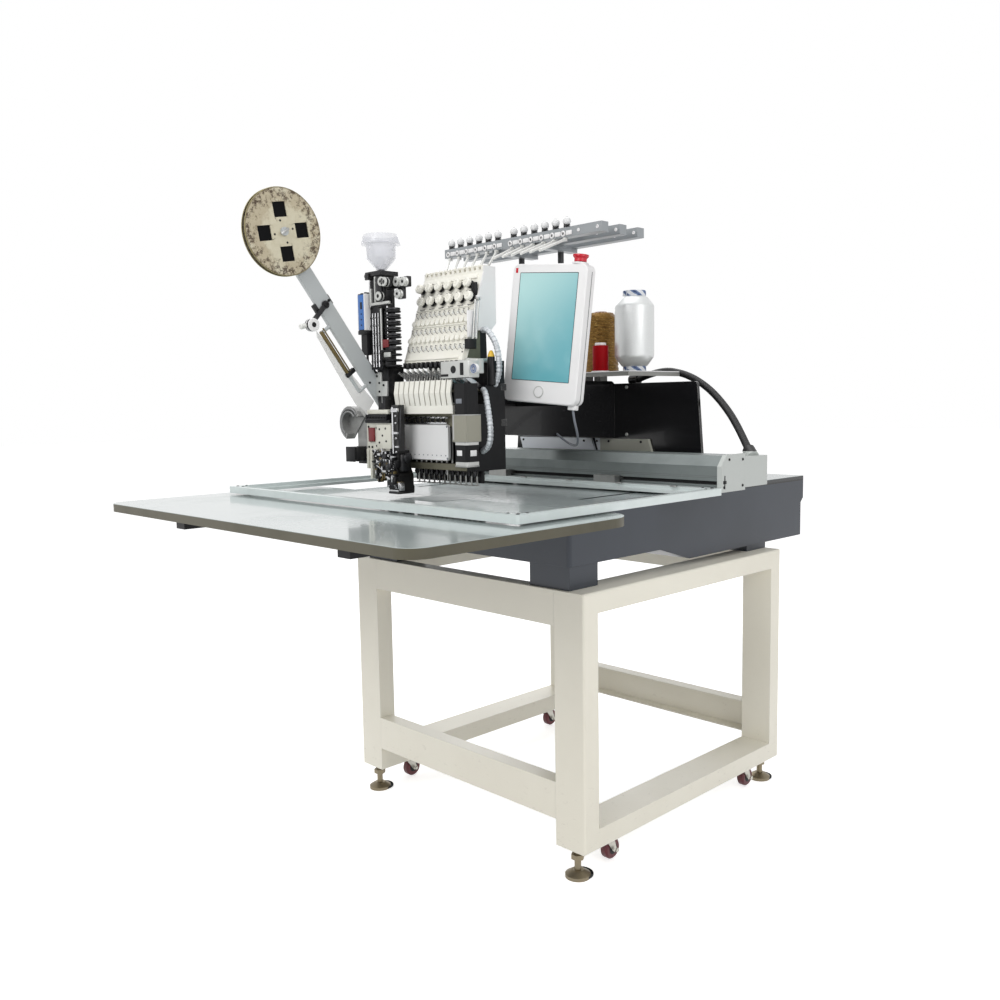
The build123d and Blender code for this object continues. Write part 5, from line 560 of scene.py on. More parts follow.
NODE_PAINT = {
    "stand": ("stand_side_left", "stand_side_right", "stand_rails"),
    "base": ("base_casting",),
    "bed": ("bed_plate",),
    "plate_dull": ("needle_plate",),
    "steel": ("frame_brackets", "needle_bars_idle", "needle_bar_active"),
    "chrome": ("rotary_hook", "take_up_levers_idle", "take_up_lever_active"),
    "table": ("table_board",),
    "black": ("table_brackets", "y_carriages", "sequin_drives", "panel_bracket"),
    "motor": ("head_motors",),
    "feeder": ("sequin_feeder",),
    "aluminium": ("border_frame",),
    "beam": ("x_beam",),
    "rack": ("thread_rack",),
    "cap": ("beam_end_caps", "x_drive_box"),
    "belt": ("x_belt",),
    "arm": ("arm_casting",),
    "cabinet": ("control_cabinet",),
    "foot_cover": ("foot_covers",),
    "shelf": ("spool_shelf",),
    "pearl": ("rack_guides", "thread_tubes", "thread_spools"),
    "white": ("panel_housing", "home_button", "front_cover", "head_cover"),
    "screen": ("panel_screen",),
    "red": ("estop_button",),
    "case": ("needle_case",),
    "cream": ("tension_base", "tension_knobs", "lever_guard"),
    "dark_steel": ("sequin_tower", "tape_lever"),
    "clear": ("bead_hopper",),
    "arm_grey": ("reel_arm",),
    "board": ("sequin_reel",),
    "conduit": ("cable_conduit",),
}
CORNERS = [end + "_" + hand for end in ("front", "rear") for hand in ("left", "right")]


def paint_nodes():
    """Give every solid of the frame its finish."""
    jobs = [(paint, node) for paint, nodes in NODE_PAINT.items() for node in nodes]
    for corner in CORNERS:
        jobs.append(("foot_zinc", "levelling_foot_" + corner))
        jobs.append(("zinc", "caster_fork_" + corner))
        jobs.append(("maroon", "caster_wheel_" + corner))
    for paint, node in jobs:
        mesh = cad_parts[node].data
        mesh.materials.clear()
        mesh.materials.append(PAINT[paint])


paint_nodes()


# Shapes, each given as (points in mm, faces)


def net(rows, columns, ring_rows=False, ring_columns=False):
    """Quads of a grid of points, closed along either way if asked."""
    last_row = rows if ring_rows else rows - 1
    last_column = columns if ring_columns else columns - 1
    r, c = np.meshgrid(np.arange(last_row), np.arange(last_column), indexing="ij")
    r, c = r.ravel(), c.ravel()
    r2, c2 = (r + 1) % rows, (c + 1) % columns
    return np.stack([r * columns + c, r * columns + c2, r2 * columns + c2, r2 * columns + c], 1).tolist()


def basis(axis):
    """Two unit vectors square to an axis, and the axis itself."""
    w = np.array(axis, float) / np.linalg.norm(axis)
    helper = np.array([0.0, 0.0, 1.0]) if abs(w[2]) < 0.9 else np.array([1.0, 0.0, 0.0])
    u = np.cross(helper, w)
    u = u / np.linalg.norm(u)
    return u, np.cross(w, u), w


def turned(profile, centre, axis=(0, 0, 1), sides=24, flutes=0, depth=0.0):
    """Profile of (radius, height) turned about an axis; flutes press the radius in by a cosine."""
    radius, height = np.array(profile, float).T
    u, v, w = basis(axis)
    angle = np.arange(sides) * 2 * np.pi / sides
    ripple = 1.0 - depth * (0.5 - 0.5 * np.cos(flutes * angle)) if flutes else np.ones(sides)
    around = (np.cos(angle) * ripple)[:, None] * u + (np.sin(angle) * ripple)[:, None] * v
    points = np.array(centre, float) + radius[:, None, None] * around + height[:, None, None] * w
    return points.reshape(-1, 3), net(len(radius), sides, False, True)


def tube(path, radius, sides=10, closed=False):
    """Circle carried along a path; the radius may change from point to point."""
    path = np.array(path, float)
    if closed:
        run = np.roll(path, -1, 0) - np.roll(path, 1, 0)
    else:
        run = np.gradient(path, axis=0)
    run = run / np.linalg.norm(run, axis=1)[:, None]
    helper = np.eye(3)[np.argmin(np.abs(run).max(0))]
    u = np.cross(helper, run)
    u = u / np.linalg.norm(u, axis=1)[:, None]
    v = np.cross(run, u)
    angle = np.arange(sides) * 2 * np.pi / sides
    size = np.broadcast_to(np.array(radius, float), len(path))[:, None, None]
    ring = np.cos(angle)[:, None] * u[:, None] + np.sin(angle)[:, None] * v[:, None]
    points = path[:, None] + size * ring
    faces = net(len(path), sides, closed, True)
    if not closed:
        faces.append(list(range(sides)))
        faces.append(list(range((len(path) - 1) * sides, len(path) * sides)))
    return points.reshape(-1, 3), faces


def spring(start, end, radius, wire, turns, sides=5, steps=10):
    """Wire carried along a helix between two points."""
    start, end = np.array(start, float), np.array(end, float)
    u, v = basis(end - start)[:2]
    share = np.linspace(0, 1, int(turns * steps) + 1)
    angle = share * turns * 2 * np.pi
    path = start + share[:, None] * (end - start)
    path = path + radius * (np.cos(angle)[:, None] * u + np.sin(angle)[:, None] * v)
    return tube(path, wire / 2, sides)


def soft_block(x_span, y_span, z_span, radius=1.0, steps=2):
    """Box whose edges are rounded: a sphere's directions moved out to the eight corners."""
    spans = np.array([x_span, y_span, z_span], float)
    low, high = spans.min(1), spans.max(1)
    radius = min(radius, 0.49 * float((high - low).min()))
    quarter = np.linspace(0, np.pi / 2, steps + 1)
    lon = np.concatenate([quarter + k * np.pi / 2 for k in range(4)])
    sign_x = np.repeat([1, -1, -1, 1], steps + 1)
    sign_y = np.repeat([1, 1, -1, -1], steps + 1)
    lat = np.concatenate([quarter - np.pi / 2, quarter])
    sign_z = np.repeat([-1, 1], steps + 1)
    middle, half = (low + high) / 2, (high - low) / 2 - radius
    flat = np.cos(lat)[:, None]
    x = middle[0] + sign_x * half[0] + radius * flat * np.cos(lon)
    y = middle[1] + sign_y * half[1] + radius * flat * np.sin(lon)
    z = middle[2] + (sign_z * half[2] + radius * np.sin(lat))[:, None] + 0 * x
    points = np.stack([x, y, z], -1).reshape(-1, 3)
    columns = len(lon)
    faces = net(len(lat), columns, False, True)
    pole = np.arange(4) * (steps + 1)
    faces.append(pole[::-1].tolist())
    faces.append((pole + (len(lat) - 1) * columns).tolist())
    return points, faces


def plate(outline, axis, span, edge=0.6):
    """Flat outline given thickness along an axis, with its rims chamfered inwards."""
    flat = np.array(outline, float)
    ahead = np.roll(flat, -1, 0) - flat
    ahead = ahead / np.linalg.norm(ahead, axis=1)[:, None]
    behind = np.roll(ahead, 1, 0)
    area = np.sum(flat[:, 0] * np.roll(flat[:, 1], -1) - np.roll(flat[:, 0], -1) * flat[:, 1])
    inward = np.stack([-(ahead[:, 1] + behind[:, 1]), ahead[:, 0] + behind[:, 0]], 1) * np.sign(area)
    inward = inward / (1.0 + np.sum(ahead * behind, 1))[:, None]
    low, high = min(span), max(span)
    edge = min(edge, 0.45 * (high - low))
    rim = flat + inward * edge
    rings = [(rim, low), (flat, low + edge), (flat, high - edge), (rim, high)]
    others = [k for k in range(3) if k != axis]
    points = np.zeros((4, len(flat), 3))
    for row, (ring, level) in enumerate(rings):
        points[row][:, others] = ring
        points[row][:, axis] = level
    faces = net(4, len(flat), False, True)
    faces.append(list(range(len(flat))))
    faces.append(list(range(3 * len(flat), 4 * len(flat))))
    return points.reshape(-1, 3), faces


def rounded_outline(u_span, v_span, radius, steps=6):
    """Rectangle with round corners, as points of its edge."""
    turn = np.linspace(0, np.pi / 2, steps + 1)
    angle = np.concatenate([turn + k * np.pi / 2 for k in range(4)])
    side_u = np.repeat([1, 0, 0, 1], steps + 1)
    side_v = np.repeat([1, 1, 0, 0], steps + 1)
    u = np.where(side_u, u_span[1] - radius, u_span[0] + radius) + radius * np.cos(angle)
    v = np.where(side_v, v_span[1] - radius, v_span[0] + radius) + radius * np.sin(angle)
    return np.stack([u, v], 1)


def screw(centre, axis, radius, height=None):
    """Pan-headed screw with a round socket in its head."""
    tall = radius * 0.7 if height is None else height
    head = [(radius, -0.2), (radius, tall * 0.5), (radius * 0.82, tall)]
    socket = [(radius * 0.48, tall), (radius * 0.44, tall * 0.35), (0.0, tall * 0.35)]
    return turned(head + socket, centre, axis, 12)


def blocks(*rows):
    """Rounded boxes, one for each row of X, Y and Z spans and a radius."""
    return [soft_block(*row) for row in rows]


def rods(*rows):
    """Rods, one for each row of a path, a radius and a number of sides."""
    return [tube(*row) for row in rows]


def screws(places, axis, radius, height):
    """Equal screws at many places."""
    return [screw(place, axis, radius, height) for place in places]


def moved(shape, place):
    """A shape set in a frame: origin and three axes."""
    points, faces = shape
    origin, axes = place
    return np.array(origin, float) + points @ np.array(axes, float), faces


def all_moved(shapes, place):
    """Shapes set in a frame, one after another."""
    return [moved(shape, place) for shape in shapes]


def turned_axes(axis, degrees):
    """Three unit axes turned about one of them, as rows."""
    c, s = math.cos(math.radians(degrees)), math.sin(math.radians(degrees))
    first, second = [k for k in range(3) if k != axis]
    rows = np.eye(3)
    rows[first, first], rows[first, second] = c, s
    rows[second, first], rows[second, second] = -s, c
    return rows


def box_mm(node):
    """Lower and upper corner of a solid's box, in mm."""
    return [np.array(corner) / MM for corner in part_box(node)]


def make(name, body, paint, shapes, angle=35.0, stands_for=(), uv=None):
    """One mesh object of one finish from many shapes, in metres, riding on a body."""
    points, faces, first = [], [], 0
    for shape_points, shape_faces in shapes:
        points.append(np.asarray(shape_points, float))
        faces.extend([[index + first for index in face] for face in shape_faces])
        first += len(shape_points)
    mesh = bpy.data.meshes.new(name)
    mesh.from_pydata((np.concatenate(points) * MM).tolist(), [], faces)
    if uv is not None:
        layer = mesh.uv_layers.new(name="surface")
        corner = np.zeros(len(mesh.loops), int)
        mesh.loops.foreach_get("vertex_index", corner)
        layer.data.foreach_set("uv", uv(corner).astype(np.float32).ravel())
    shell = bmesh.new()
    shell.from_mesh(mesh)
    bmesh.ops.remove_doubles(shell, verts=shell.verts, dist=1e-6)
    bmesh.ops.dissolve_degenerate(shell, edges=shell.edges, dist=1e-7)
    bmesh.ops.recalc_face_normals(shell, faces=shell.faces)
    shell.to_mesh(mesh)
    shell.free()
    mesh.shade_smooth()
    mesh.set_sharp_from_angle(angle=math.radians(angle))
    mesh.materials.append(PAINT[paint])
    piece = bpy.data.objects.new(name, mesh)
    bpy.context.scene.collection.objects.link(piece)
    if body is not None:
        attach(piece, body)
    if stands_for:
        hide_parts(*stands_for)
    return piece


def strip_uv(columns, around, along):
    """UV of a turned or carried surface: round it in metres, along it in metres."""

    def write(corner):
        row, column = np.divmod(corner, columns)
        lengths = np.asarray(along, float)
        u = column / columns * around
        return np.stack([u, lengths[np.minimum(row, len(lengths) - 1)]], 1)

    return write


# Camera, light and floor


def set_place(thing, right, up, back, place):
    """Put a camera or a lamp at a place, with its three axes."""
    matrix = np.eye(4)
    matrix[:3] = np.stack([right, up, back, place], 1)
    thing.matrix_world = Matrix(matrix.tolist())


def photo_camera():
    """Camera where the photograph was taken: place, heading, dip and a slight roll."""
    place = np.array([1.7901, -1.8061, 1.1088])
    yaw, dip, roll = -0.797578181, 0.101989563, 0.0167836682
    ahead = np.array([math.sin(yaw) * math.cos(dip), math.cos(yaw) * math.cos(dip), -math.sin(dip)])
    right = np.array([math.cos(yaw), -math.sin(yaw), 0.0])
    down = np.cross(ahead, right)
    across = math.cos(roll) * right + math.sin(roll) * down
    below = -math.sin(roll) * right + math.cos(roll) * down
    data = bpy.data.cameras.new("photo_camera")
    data.sensor_fit = "HORIZONTAL"
    data.sensor_width = 36.0
    data.lens = 34.295
    data.clip_end = 60.0
    camera = bpy.data.objects.new("photo_camera", data)
    bpy.context.scene.collection.objects.link(camera)
    set_place(camera, across, -below, -ahead, place)
    bpy.context.scene.camera = camera


def sky():
    """White sky: full white where it is seen, dimmer as a light."""
    bpy.context.scene.view_settings.view_transform = "Standard"
    world = bpy.data.worlds.new("studio")
    bpy.context.scene.world = world
    world.use_nodes = True
    nodes, links = world.node_tree.nodes, world.node_tree.links
    nodes.clear()
    light, seen = (nodes.new("ShaderNodeBackground") for _ in range(2))
    for background, strength in ((light, 0.52), (seen, 1.0)):
        background.inputs["Color"].default_value = (1.0, 1.0, 1.0, 1.0)
        background.inputs["Strength"].default_value = strength
    path = nodes.new("ShaderNodeLightPath")
    seen_by = path.outputs["Is Camera Ray"]
    for ray in ("Is Glossy Ray", "Is Transmission Ray"):
        either = nodes.new("ShaderNodeMath")
        either.operation = "MAXIMUM"
        links.new(seen_by, either.inputs[0])
        links.new(path.outputs[ray], either.inputs[1])
        seen_by = either.outputs[0]
    mix = nodes.new("ShaderNodeMixShader")
    links.new(seen_by, mix.inputs["Fac"])
    links.new(light.outputs[0], mix.inputs[1])
    links.new(seen.outputs[0], mix.inputs[2])
    out = nodes.new("ShaderNodeOutputWorld")
    links.new(mix.outputs[0], out.inputs["Surface"])


def lamps():
    """Broad lamps in front, at the right, above and behind: place, target, size and power."""
    rows = (
        ("key", (0.3, -3.4, 3.0), (0.0, -0.1, 0.9), 2.6, 62.0),
        ("side", (3.4, -0.6, 2.4), (0.0, 0.0, 0.8), 2.4, 34.0),
        ("top", (-0.6, 0.4, 4.2), (0.0, 0.0, 0.9), 3.0, 40.0),
        ("back", (-2.6, 2.8, 2.6), (0.0, 0.2, 0.9), 2.2, 30.0),
    )
    for name, place, target, size, power in rows:
        data = bpy.data.lights.new("lamp_" + name, "AREA")
        data.shape = "DISK"
        data.size = size
        data.energy = power
        lamp = bpy.data.objects.new("lamp_" + name, data)
        bpy.context.scene.collection.objects.link(lamp)
        set_place(lamp, *basis(np.array(place) - np.array(target)), place)


def floor():
    """White floor that keeps the shadow, and glows where it is seen so that it meets the sky."""
    half = 30.0
    corners = [(-half, -half, 0), (half, -half, 0), (half, half, 0), (-half, half, 0)]
    mesh = bpy.data.meshes.new("floor")
    mesh.from_pydata(corners, [], [(0, 1, 2, 3)])
    sheet = bpy.data.objects.new("floor", mesh)
    bpy.context.scene.collection.objects.link(sheet)
    f = Finish("floor_white")
    camera, mirror, glass = (f.add("ShaderNodeLightPath", out=ray) for ray in (0, 3, 6))
    glow = {"Emission_Color": (1.0, 1.0, 1.0, 1.0), "Emission_Strength": (camera + mirror + glass) * 0.62}
    mesh.materials.append(f.done((0.86, 0.86, 0.86, 1.0), 0.9, **glow))


photo_camera()
sky()
lamps()
floor()


# Cords


def spline_points(name, route):
    """Points along a smooth NURBS line whose control points are the route's."""
    curve = bpy.data.curves.new(name + "_line", "CURVE")
    curve.dimensions = "3D"
    line = curve.splines.new("NURBS")
    line.points.add(len(route) - 1)
    for point, place in zip(line.points, route):
        point.co = (*(np.array(place) * MM), 1.0)
    line.order_u = 3
    line.use_endpoint_u = True
    line.resolution_u = 40
    guide = bpy.data.objects.new(name + "_line", curve)
    bpy.context.scene.collection.objects.link(guide)
    bpy.context.view_layer.update()
    shown = bpy.data.meshes.new_from_object(guide)
    points = np.zeros(len(shown.vertices) * 3)
    shown.vertices.foreach_get("co", points)
    bpy.data.objects.remove(guide)
    bpy.data.curves.remove(curve)
    bpy.data.meshes.remove(shown)
    return points.reshape(-1, 3) / MM


def run_lengths(points):
    """Length along a line of points up to each."""
    return np.concatenate([[0.0], np.cumsum(np.linalg.norm(np.diff(points, axis=0), axis=1))])


def even(points, count):
    """Places read along a line at even lengths."""
    lengths = run_lengths(points)
    marks = np.linspace(0, lengths[-1], count)
    return np.stack([np.interp(marks, lengths, points[:, k]) for k in range(3)], 1)


def ribbed(line, pitch, low, rise, steep):
    """Path along a line and a radius that rises and falls by a clipped cosine once every pitch."""
    ribs = int(run_lengths(line)[-1] / pitch)
    path = even(line, ribs * 6 + 1)
    phase = np.linspace(0, ribs, len(path))
    return path, low + rise * np.clip(0.5 + steep * np.cos(phase * 2 * np.pi), 0, 1)


def conduit():
    """Corrugated tube from the cabinet to the drive box: a ribbed circle along a smooth line."""
    route = [
        (20.0, 512.0, 1171.0),
        (100.0, 509.0, 1198.0),
        (205.0, 490.0, 1182.0),
        (300.0, 452.0, 1144.0),
        (382.0, 406.0, 1096.0),
        (452.0, 364.0, 1040.0),
        (505.0, 330.0, 980.0),
    ]
    line = spline_points("conduit", route)
    path, radius = ribbed(line, 6.4, 8.6, 1.4, 0.8)
    piece = make("conduit_hose", None, "conduit", [tube(path, radius, 14)], 50.0, ("cable_conduit",))
    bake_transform(piece)


def harness(name, route):
    """Clear spiral wrap over leads: a circle along a smooth line, with a small tooth at every turn."""
    thick, sides = 15.0, 14
    line = spline_points(name, route)
    path, radius = ribbed(line, 9.0, thick / 2, -0.9, 1.4)
    surface = strip_uv(sides, math.pi * thick * MM, run_lengths(path) * MM)
    piece = make(name, "head", "wrap", [tube(path, radius, sides)], 50.0, (), surface)


def panel_lead():
    """Thin lead from the plug under the panel to the side of the arm: a circle along a smooth line."""
    route = [
        (265.4, -67.8, 1088.0),
        (266.0, -64.0, 1062.0),
        (256.0, -40.0, 1030.0),
        (222.0, 0.0, 1004.0),
        (170.0, 50.0, 994.0),
        (110.0, 90.0, 998.0),
        (60.0, 110.0, 1016.0),
        (49.0, 112.0, 1022.0),
    ]
    thick = 6.0
    line = spline_points("panel_lead", route)
    piece = make("panel_lead", None, "mark_grey", [tube(even(line, 90), thick / 2, 10)], 50.0)
    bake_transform(piece)


UPPER_WRAP = [
    (83, -190, 1284),
    (96, -194, 1288),
    (116, -196, 1276),
    (136, -194, 1246),
    (140, -190, 1206),
    (134, -186, 1172),
    (118, -186, 1150),
]
LOWER_WRAP = [
    (119, -226, 1140),
    (132, -232, 1138),
    (146, -238, 1104),
    (156, -240, 1060),
    (158, -240, 1026),
    (144, -236, 1000),
    (119, -232, 992),
]


# Spools on the shelf


def spool_part(name, paint, profile, shape, sides, angle, stands_for=()):
    """Piece of a spool with its UV map: round its mean circle and along its profile, in metres."""
    radius, height = np.array(profile, float).T
    along = run_lengths(np.stack([radius, height, 0 * radius], 1)) * MM
    surface = strip_uv(sides, 2 * np.pi * radius.mean() * MM, along)
    make(name, "frame", paint, [shape], angle, stands_for, surface)


def thread_wall(profile, centre, sides, swell, seed):
    """Turned surface whose radius is pushed in and out by a sum of slanted waves."""
    points, faces = turned(profile, centre, UP, sides)
    draw = np.random.default_rng(seed)
    around = np.arctan2(points[:, 1] - centre[1], points[:, 0] - centre[0])
    level = points[:, 2] - centre[2]
    push = np.zeros(len(points))
    for _ in range(18):
        push += np.cos(draw.integers(3, 24) * around + draw.uniform(0.2, 1.1) * level + draw.uniform(0, 6.28))
    out = np.stack([np.cos(around), np.sin(around), 0 * around], 1)
    return points + out * (swell / 4.0 * push)[:, None], faces


def silver_spool():
    """Silver cone between the two ends of its paper core."""
    cone = [(32, 15), (36, 17), (52, 38), (54.4, 42), (55, 47), (55, 178)]
    cone += [(54.4, 183), (52, 187), (38, 205), (33, 209), (30, 209)]
    shape = turned(cone, SILVER_FOOT, UP, 72)
    spool_part("silver_cone", "silver_thread", cone, shape, 72, 60.0, ("thread_spools",))
    end = [(6, 0), (32, 0), (32.4, 1), (32.4, 15), (31.6, 16.4), (28.5, 16.4), (28, 8), (6, 8)]
    for name, low in (("silver_core_low", 0.4), ("silver_core_high", 208.0)):
        core = [(radius, low + height) for radius, height in end]
        spool_part(name, "core", core, turned(core, SILVER_FOOT, UP, 48), 48, 40.0)


def red_spool():
    """Red thread between white flanges."""
    thread = [(16, 5), (21.6, 5), (22.3, 8), (22.3, 72), (21.6, 76), (14, 77)]
    spool_part("red_thread_body", "red_thread", thread, turned(thread, RED_FOOT, UP, 48), 48, 50.0)
    low = [(5, 0.3), (25, 0.3), (26, 1.3), (26, 4), (24, 5.2), (5, 5.2)]
    top = [(14, 76), (15.4, 76.4), (15.8, 78), (15.8, 82), (14.8, 84), (7, 84), (6, 78)]
    make("red_spool_flanges", "frame", "white", [turned(flange, RED_FOOT, UP, 36) for flange in (low, top)])


def gold_spool():
    """Crinkled gold cone: the radius shrinks evenly with height and falls off by a square near the top."""
    rise = np.linspace(0, 1, 44)
    bend = np.clip((rise - 0.88) / 0.12, 0, 1)
    wall = np.stack([51.5 - 6.0 * rise - 11.0 * bend ** 2, 2.0 + 176.0 * rise], 1)
    cone = np.concatenate([[[8, 1]], wall, [[24, 179.5], [18, 178.0]]])
    spool_part("gold_cone", "gold_thread", cone, thread_wall(cone, GOLD_FOOT, 88, 1.5, 11), 88, 70.0)
    neck = [(6, 172), (19, 172), (19, 181), (17.5, 182), (9, 182), (8.5, 174)]
    make("gold_core", "frame", "oxide", [turned(neck, GOLD_FOOT, UP, 32)])


# Thread rack


def guide_xs():
    """Places of the thread guides: two groups with a gap between."""
    pitch, gap, count = 37.0, 59.0, 6
    first = np.arange(count) * pitch - 246.0
    return np.concatenate([first, first + (count - 1) * pitch + gap])


def rack():
    """Clear balls over black springs, and white eyelets on the front of the first bar."""
    bar_y, bar_front, bar_top, eye_z = 10, -3.1, 1536, 1521
    turn = np.linspace(-0.42 * np.pi, 0.5 * np.pi, 9)
    ball = np.stack([10.6 * np.cos(turn), 17.0 + 10.6 * np.sin(turn)], 1)
    ball = np.concatenate([ball, [[3.4, 27.9], [2.6, 26.0], [0.0, 25.6]]])
    ring = [(3.0, 0.0), (6.6, 0.0), (7.4, 1.0), (7.4, 2.4), (6.2, 4.0), (4.2, 4.0), (3.2, 2.4), (3.0, 0.0)]
    balls, springs, eyelets, hole_shades = [], [], [], []
    for x in guide_xs():
        balls.append(turned(ball, (x, bar_y, bar_top), UP, 18))
        springs.append(spring((x, bar_y, bar_top - 0.2), (x, bar_y, bar_top + 10.5), 7.4, 2.8, 3.0))
        springs.append(tube([(x - 2, 3, 1542), (x + 9, -3, 1537.5), (x + 19, -3, 1541)], 2.1, 6))
        eyelets.append(turned(ring, (x, bar_front, eye_z), FRONT, 18))
        eyelets.append(soft_block((x + 9, x + 28), (-5.6, -2.9), (1516, 1527), 1.2))
        # Painted shade: a black disc sits in each eyelet's hole, standing for the dark inside it.
        hole_shades.append(turned([(3.1, 1.0), (0.0, 0.6)], (x, bar_front, eye_z), FRONT, 12))
    make("guide_balls", "frame", "ball", balls, 40.0, ("rack_guides",))
    make("guide_springs", "frame", "black", springs)
    make("guide_eyelets", "frame", "white", eyelets)
    make("guide_hole_shade", "frame", "black", hole_shades)
    rivets = [(x, y - 13, 1524) for y in (10, 80, 150) for x in (232, 292)]
    make("rack_rivets", "frame", "white", screws(rivets, FRONT, 4.5, 2.0))


def thread_tubes():
    """Collars under the first bar, and soft tubes that follow the head: a circle along a straight line."""
    collar_height, tube_y, foot_y, lowest = 8.0, 3.0, -130.0, 1454.0
    collar = [(0, -collar_height), (6, -collar_height), (6, 0), (0, 0)]
    shapes = []
    for place, x in enumerate(guide_xs()):
        drop = (76.0, 48.0)[place // 6]
        foot = (-120.0 + 31.0 * place, foot_y, RACK_BAR_LOW - drop)
        shapes.append(turned(collar, (x, tube_y, RACK_BAR_LOW), UP, 20))
        path = np.linspace((x, tube_y, RACK_BAR_LOW - collar_height / 2), foot, 15)
        shapes.append(tube(path[path[:, 2] > lowest], 3.5, 12))
    piece = make("thread_tube_bends", None, "pearl", shapes, 40.0, ("thread_tubes",))
    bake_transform(piece)


# Head


def on_face(x, share, out=0.0):
    """Point of the leaning tension face at a share of its height, moved out along its normal."""
    foot = np.array([x, TENSION_FOOT_Y + TENSION_RUN * share, TENSION_FOOT_Z + TENSION_RISE * share])
    return foot + out * LEAN


def face_wire(x, share, bends, radius):
    """Bent wire on the tension face, through points given aside, up and out from a place."""
    return tube([on_face(x + aside, share + up, out) for aside, up, out in bends], radius, 6)


def tension_knobs():
    """Fluted knobs with discs and springs in two rows, and wires with small seats below them."""
    cap = [(4, 11), (8.5, 11), (11.6, 12.5), (12, 14), (12, 20), (10.8, 22.5)]
    cap += [(7, 23.4), (6.4, 21.8), (3.2, 21.8), (2.6, 23.2), (0, 23.2)]
    disc = [(2, 0.2), (5.6, 0.2), (5.6, 3.0), (9.6, 3.0), (10.2, 3.6)]
    disc += [(8.0, 4.6), (10.2, 5.6), (9.6, 6.4), (4, 6.8), (4, 11)]
    seat = [(4.6, 0.1), (4.6, 1.0), (3.4, 2.2), (1.6, 1.2), (0, 1.2)]
    hook = ((-8, -0.075, 0), (-8, -0.075, 7), (-4, -0.085, 9), (4, -0.085, 9), (8, -0.07, 4))
    bow = ((-5, 0.03, 0), (-5, 0.03, 5), (0, 0, 7.5), (5, -0.03, 5), (5, -0.03, 0))
    caps, discs, coils, wires, seats = [], [], [], [], []
    for place, x in enumerate(TENSION_XS):
        share = (0.86, 0.70)[place % 2]
        foot = on_face(x, share)
        caps.append(turned(cap, foot, LEAN, 48, 12, 0.10))
        discs.append(turned(disc, foot, LEAN, 24))
        coils.append(spring(foot + 6.4 * LEAN, foot + 11.6 * LEAN, 6.4, 1.3, 2.5))
        wires.append(face_wire(x, share, hook, 0.8))
        for level in (0.56, 0.36, 0.16):
            wires.append(face_wire(x, level, bow, 0.7))
            seats.append(turned(seat, on_face(x, level) + np.array([9.0, 0, 0]), LEAN, 12))
    make("tension_caps", "head", "cream", caps, 35.0, ("tension_knobs",))
    make("tension_discs", "head", "dark_steel", discs)
    make("tension_coils", "head", "black", coils)
    make("thread_hooks", "head", "dark_steel", wires)
    make("thread_seats", "head", "pearl", seats)


def tension_strips():
    """Row of dots at the right of the tension face, ribs across it, teeth over it and housings under it."""
    dot = [(2.0, 0.1), (2.0, 0.9), (0, 1.1)]
    dots = [turned(dot, on_face(75.0, 0.10 + 0.078 * k), LEAN, 10) for k in range(10)]
    make("strip_marks", "head", "black", dots)
    ribs = []
    for share, height in ((0.955, 12.0), (0.62, 4.0), (0.42, 4.0), (0.04, 5.0)):
        reach = height / (2 * TENSION_RISE)
        low, high = on_face(0, share - reach), on_face(0, share + reach)
        up = (high - low) / np.linalg.norm(high - low)
        rib = soft_block((-137, 66), (-height / 2, height / 2), (-1, 4.0), 1.0)
        ribs.append(moved(rib, ((low + high) / 2, [RIGHT, tuple(up), tuple(LEAN)])))
    make("tension_ribs", "head", "cream", ribs)
    teeth = [soft_block((x - 4.6, x - 0.2), (-184.6, -150), (1438, 1444), 1.0) for x in TENSION_XS]
    make("comb_teeth", "head", "cream", teeth)
    housing = [(2, 4), (6.5, 3), (7, 0), (6.5, -4), (4.5, -8), (0, -9)]
    housings = []
    for x in TENSION_XS:
        housings.append(turned(housing, on_face(x, 0.0, -4.0) + np.array([0, 0, -4.0]), UP, 14))
        housings.append(soft_block((x - 2, x + 2), (-268, -256), (1198, 1212), 0.8))
    make("spring_housings", "head", "dark_steel", housings)


def lever_details():
    """Thread loops over the guard, and a comb of small hooks on two bright rails below it."""
    arch_y, arch_foot, arch_rise = -262.0, 1165.0, 27.0
    turn = np.linspace(0, np.pi, 9)
    bead = [(0.8, -2.4), (3.6, -1.6), (3.6, 1.6), (0.8, 2.4)]
    ring = [(2.2, -2.2), (4.4, -1.6), (4.8, 0), (4.4, 1.6), (2.2, 2.2), (2.2, -2.2)]
    loops, hooks = [], []
    for x in NEEDLE_XS[:-1]:
        arch = [x + 6.0 * np.cos(turn), arch_y + 0 * turn, arch_foot + arch_rise * np.sin(turn)]
        loops.append(tube(np.stack(arch, 1), 1.6, 6))
        loops.append(turned(bead, (x, arch_y, arch_foot + arch_rise), BACK, 12))
    for x in NEEDLE_XS[:8]:
        hooks.append(turned(ring, (x, -268, 1067), BACK, 14))
        wire = [(x + 8, -266, 1062), (x + 8, -272, 1064), (x + 10, -272, 1074), (x + 14, -266, 1076)]
        hooks.append(tube(wire, 1.1, 6))
    make("thread_arches", "head", "milky", loops)
    make("thread_comb", "head", "black", hooks)
    rails = blocks(
        ((-140, 30), (-267, -259.5), (1058.5, 1064), 1.2),
        ((-138, 34), (-266, -259.5), (1072, 1077), 1.2),
    )
    make("comb_rails", "head", "chrome", rails)


def cover_details():
    """Screws, a row of dots and a bright bead on the front cover."""
    front = -266.0
    marks = screws([(x, front, z) for x in (-134, 30) for z in (974, 1052)], FRONT, 2.6, 0.9)
    dot = [(1.6, -0.1), (1.6, 0.4), (0, 0.5)]
    marks += [turned(dot, (-112 + 17.0 * k, front, 981), FRONT, 10) for k in range(9)]
    make("cover_marks", "head", "mark_grey", marks)
    rim = np.insert(rounded_outline((-139, 35), (969, 1057), 9.5), 1, front + 0.1, axis=1)
    make("cover_bead", "head", "steel", [tube(rim, 0.9, 6, True)])


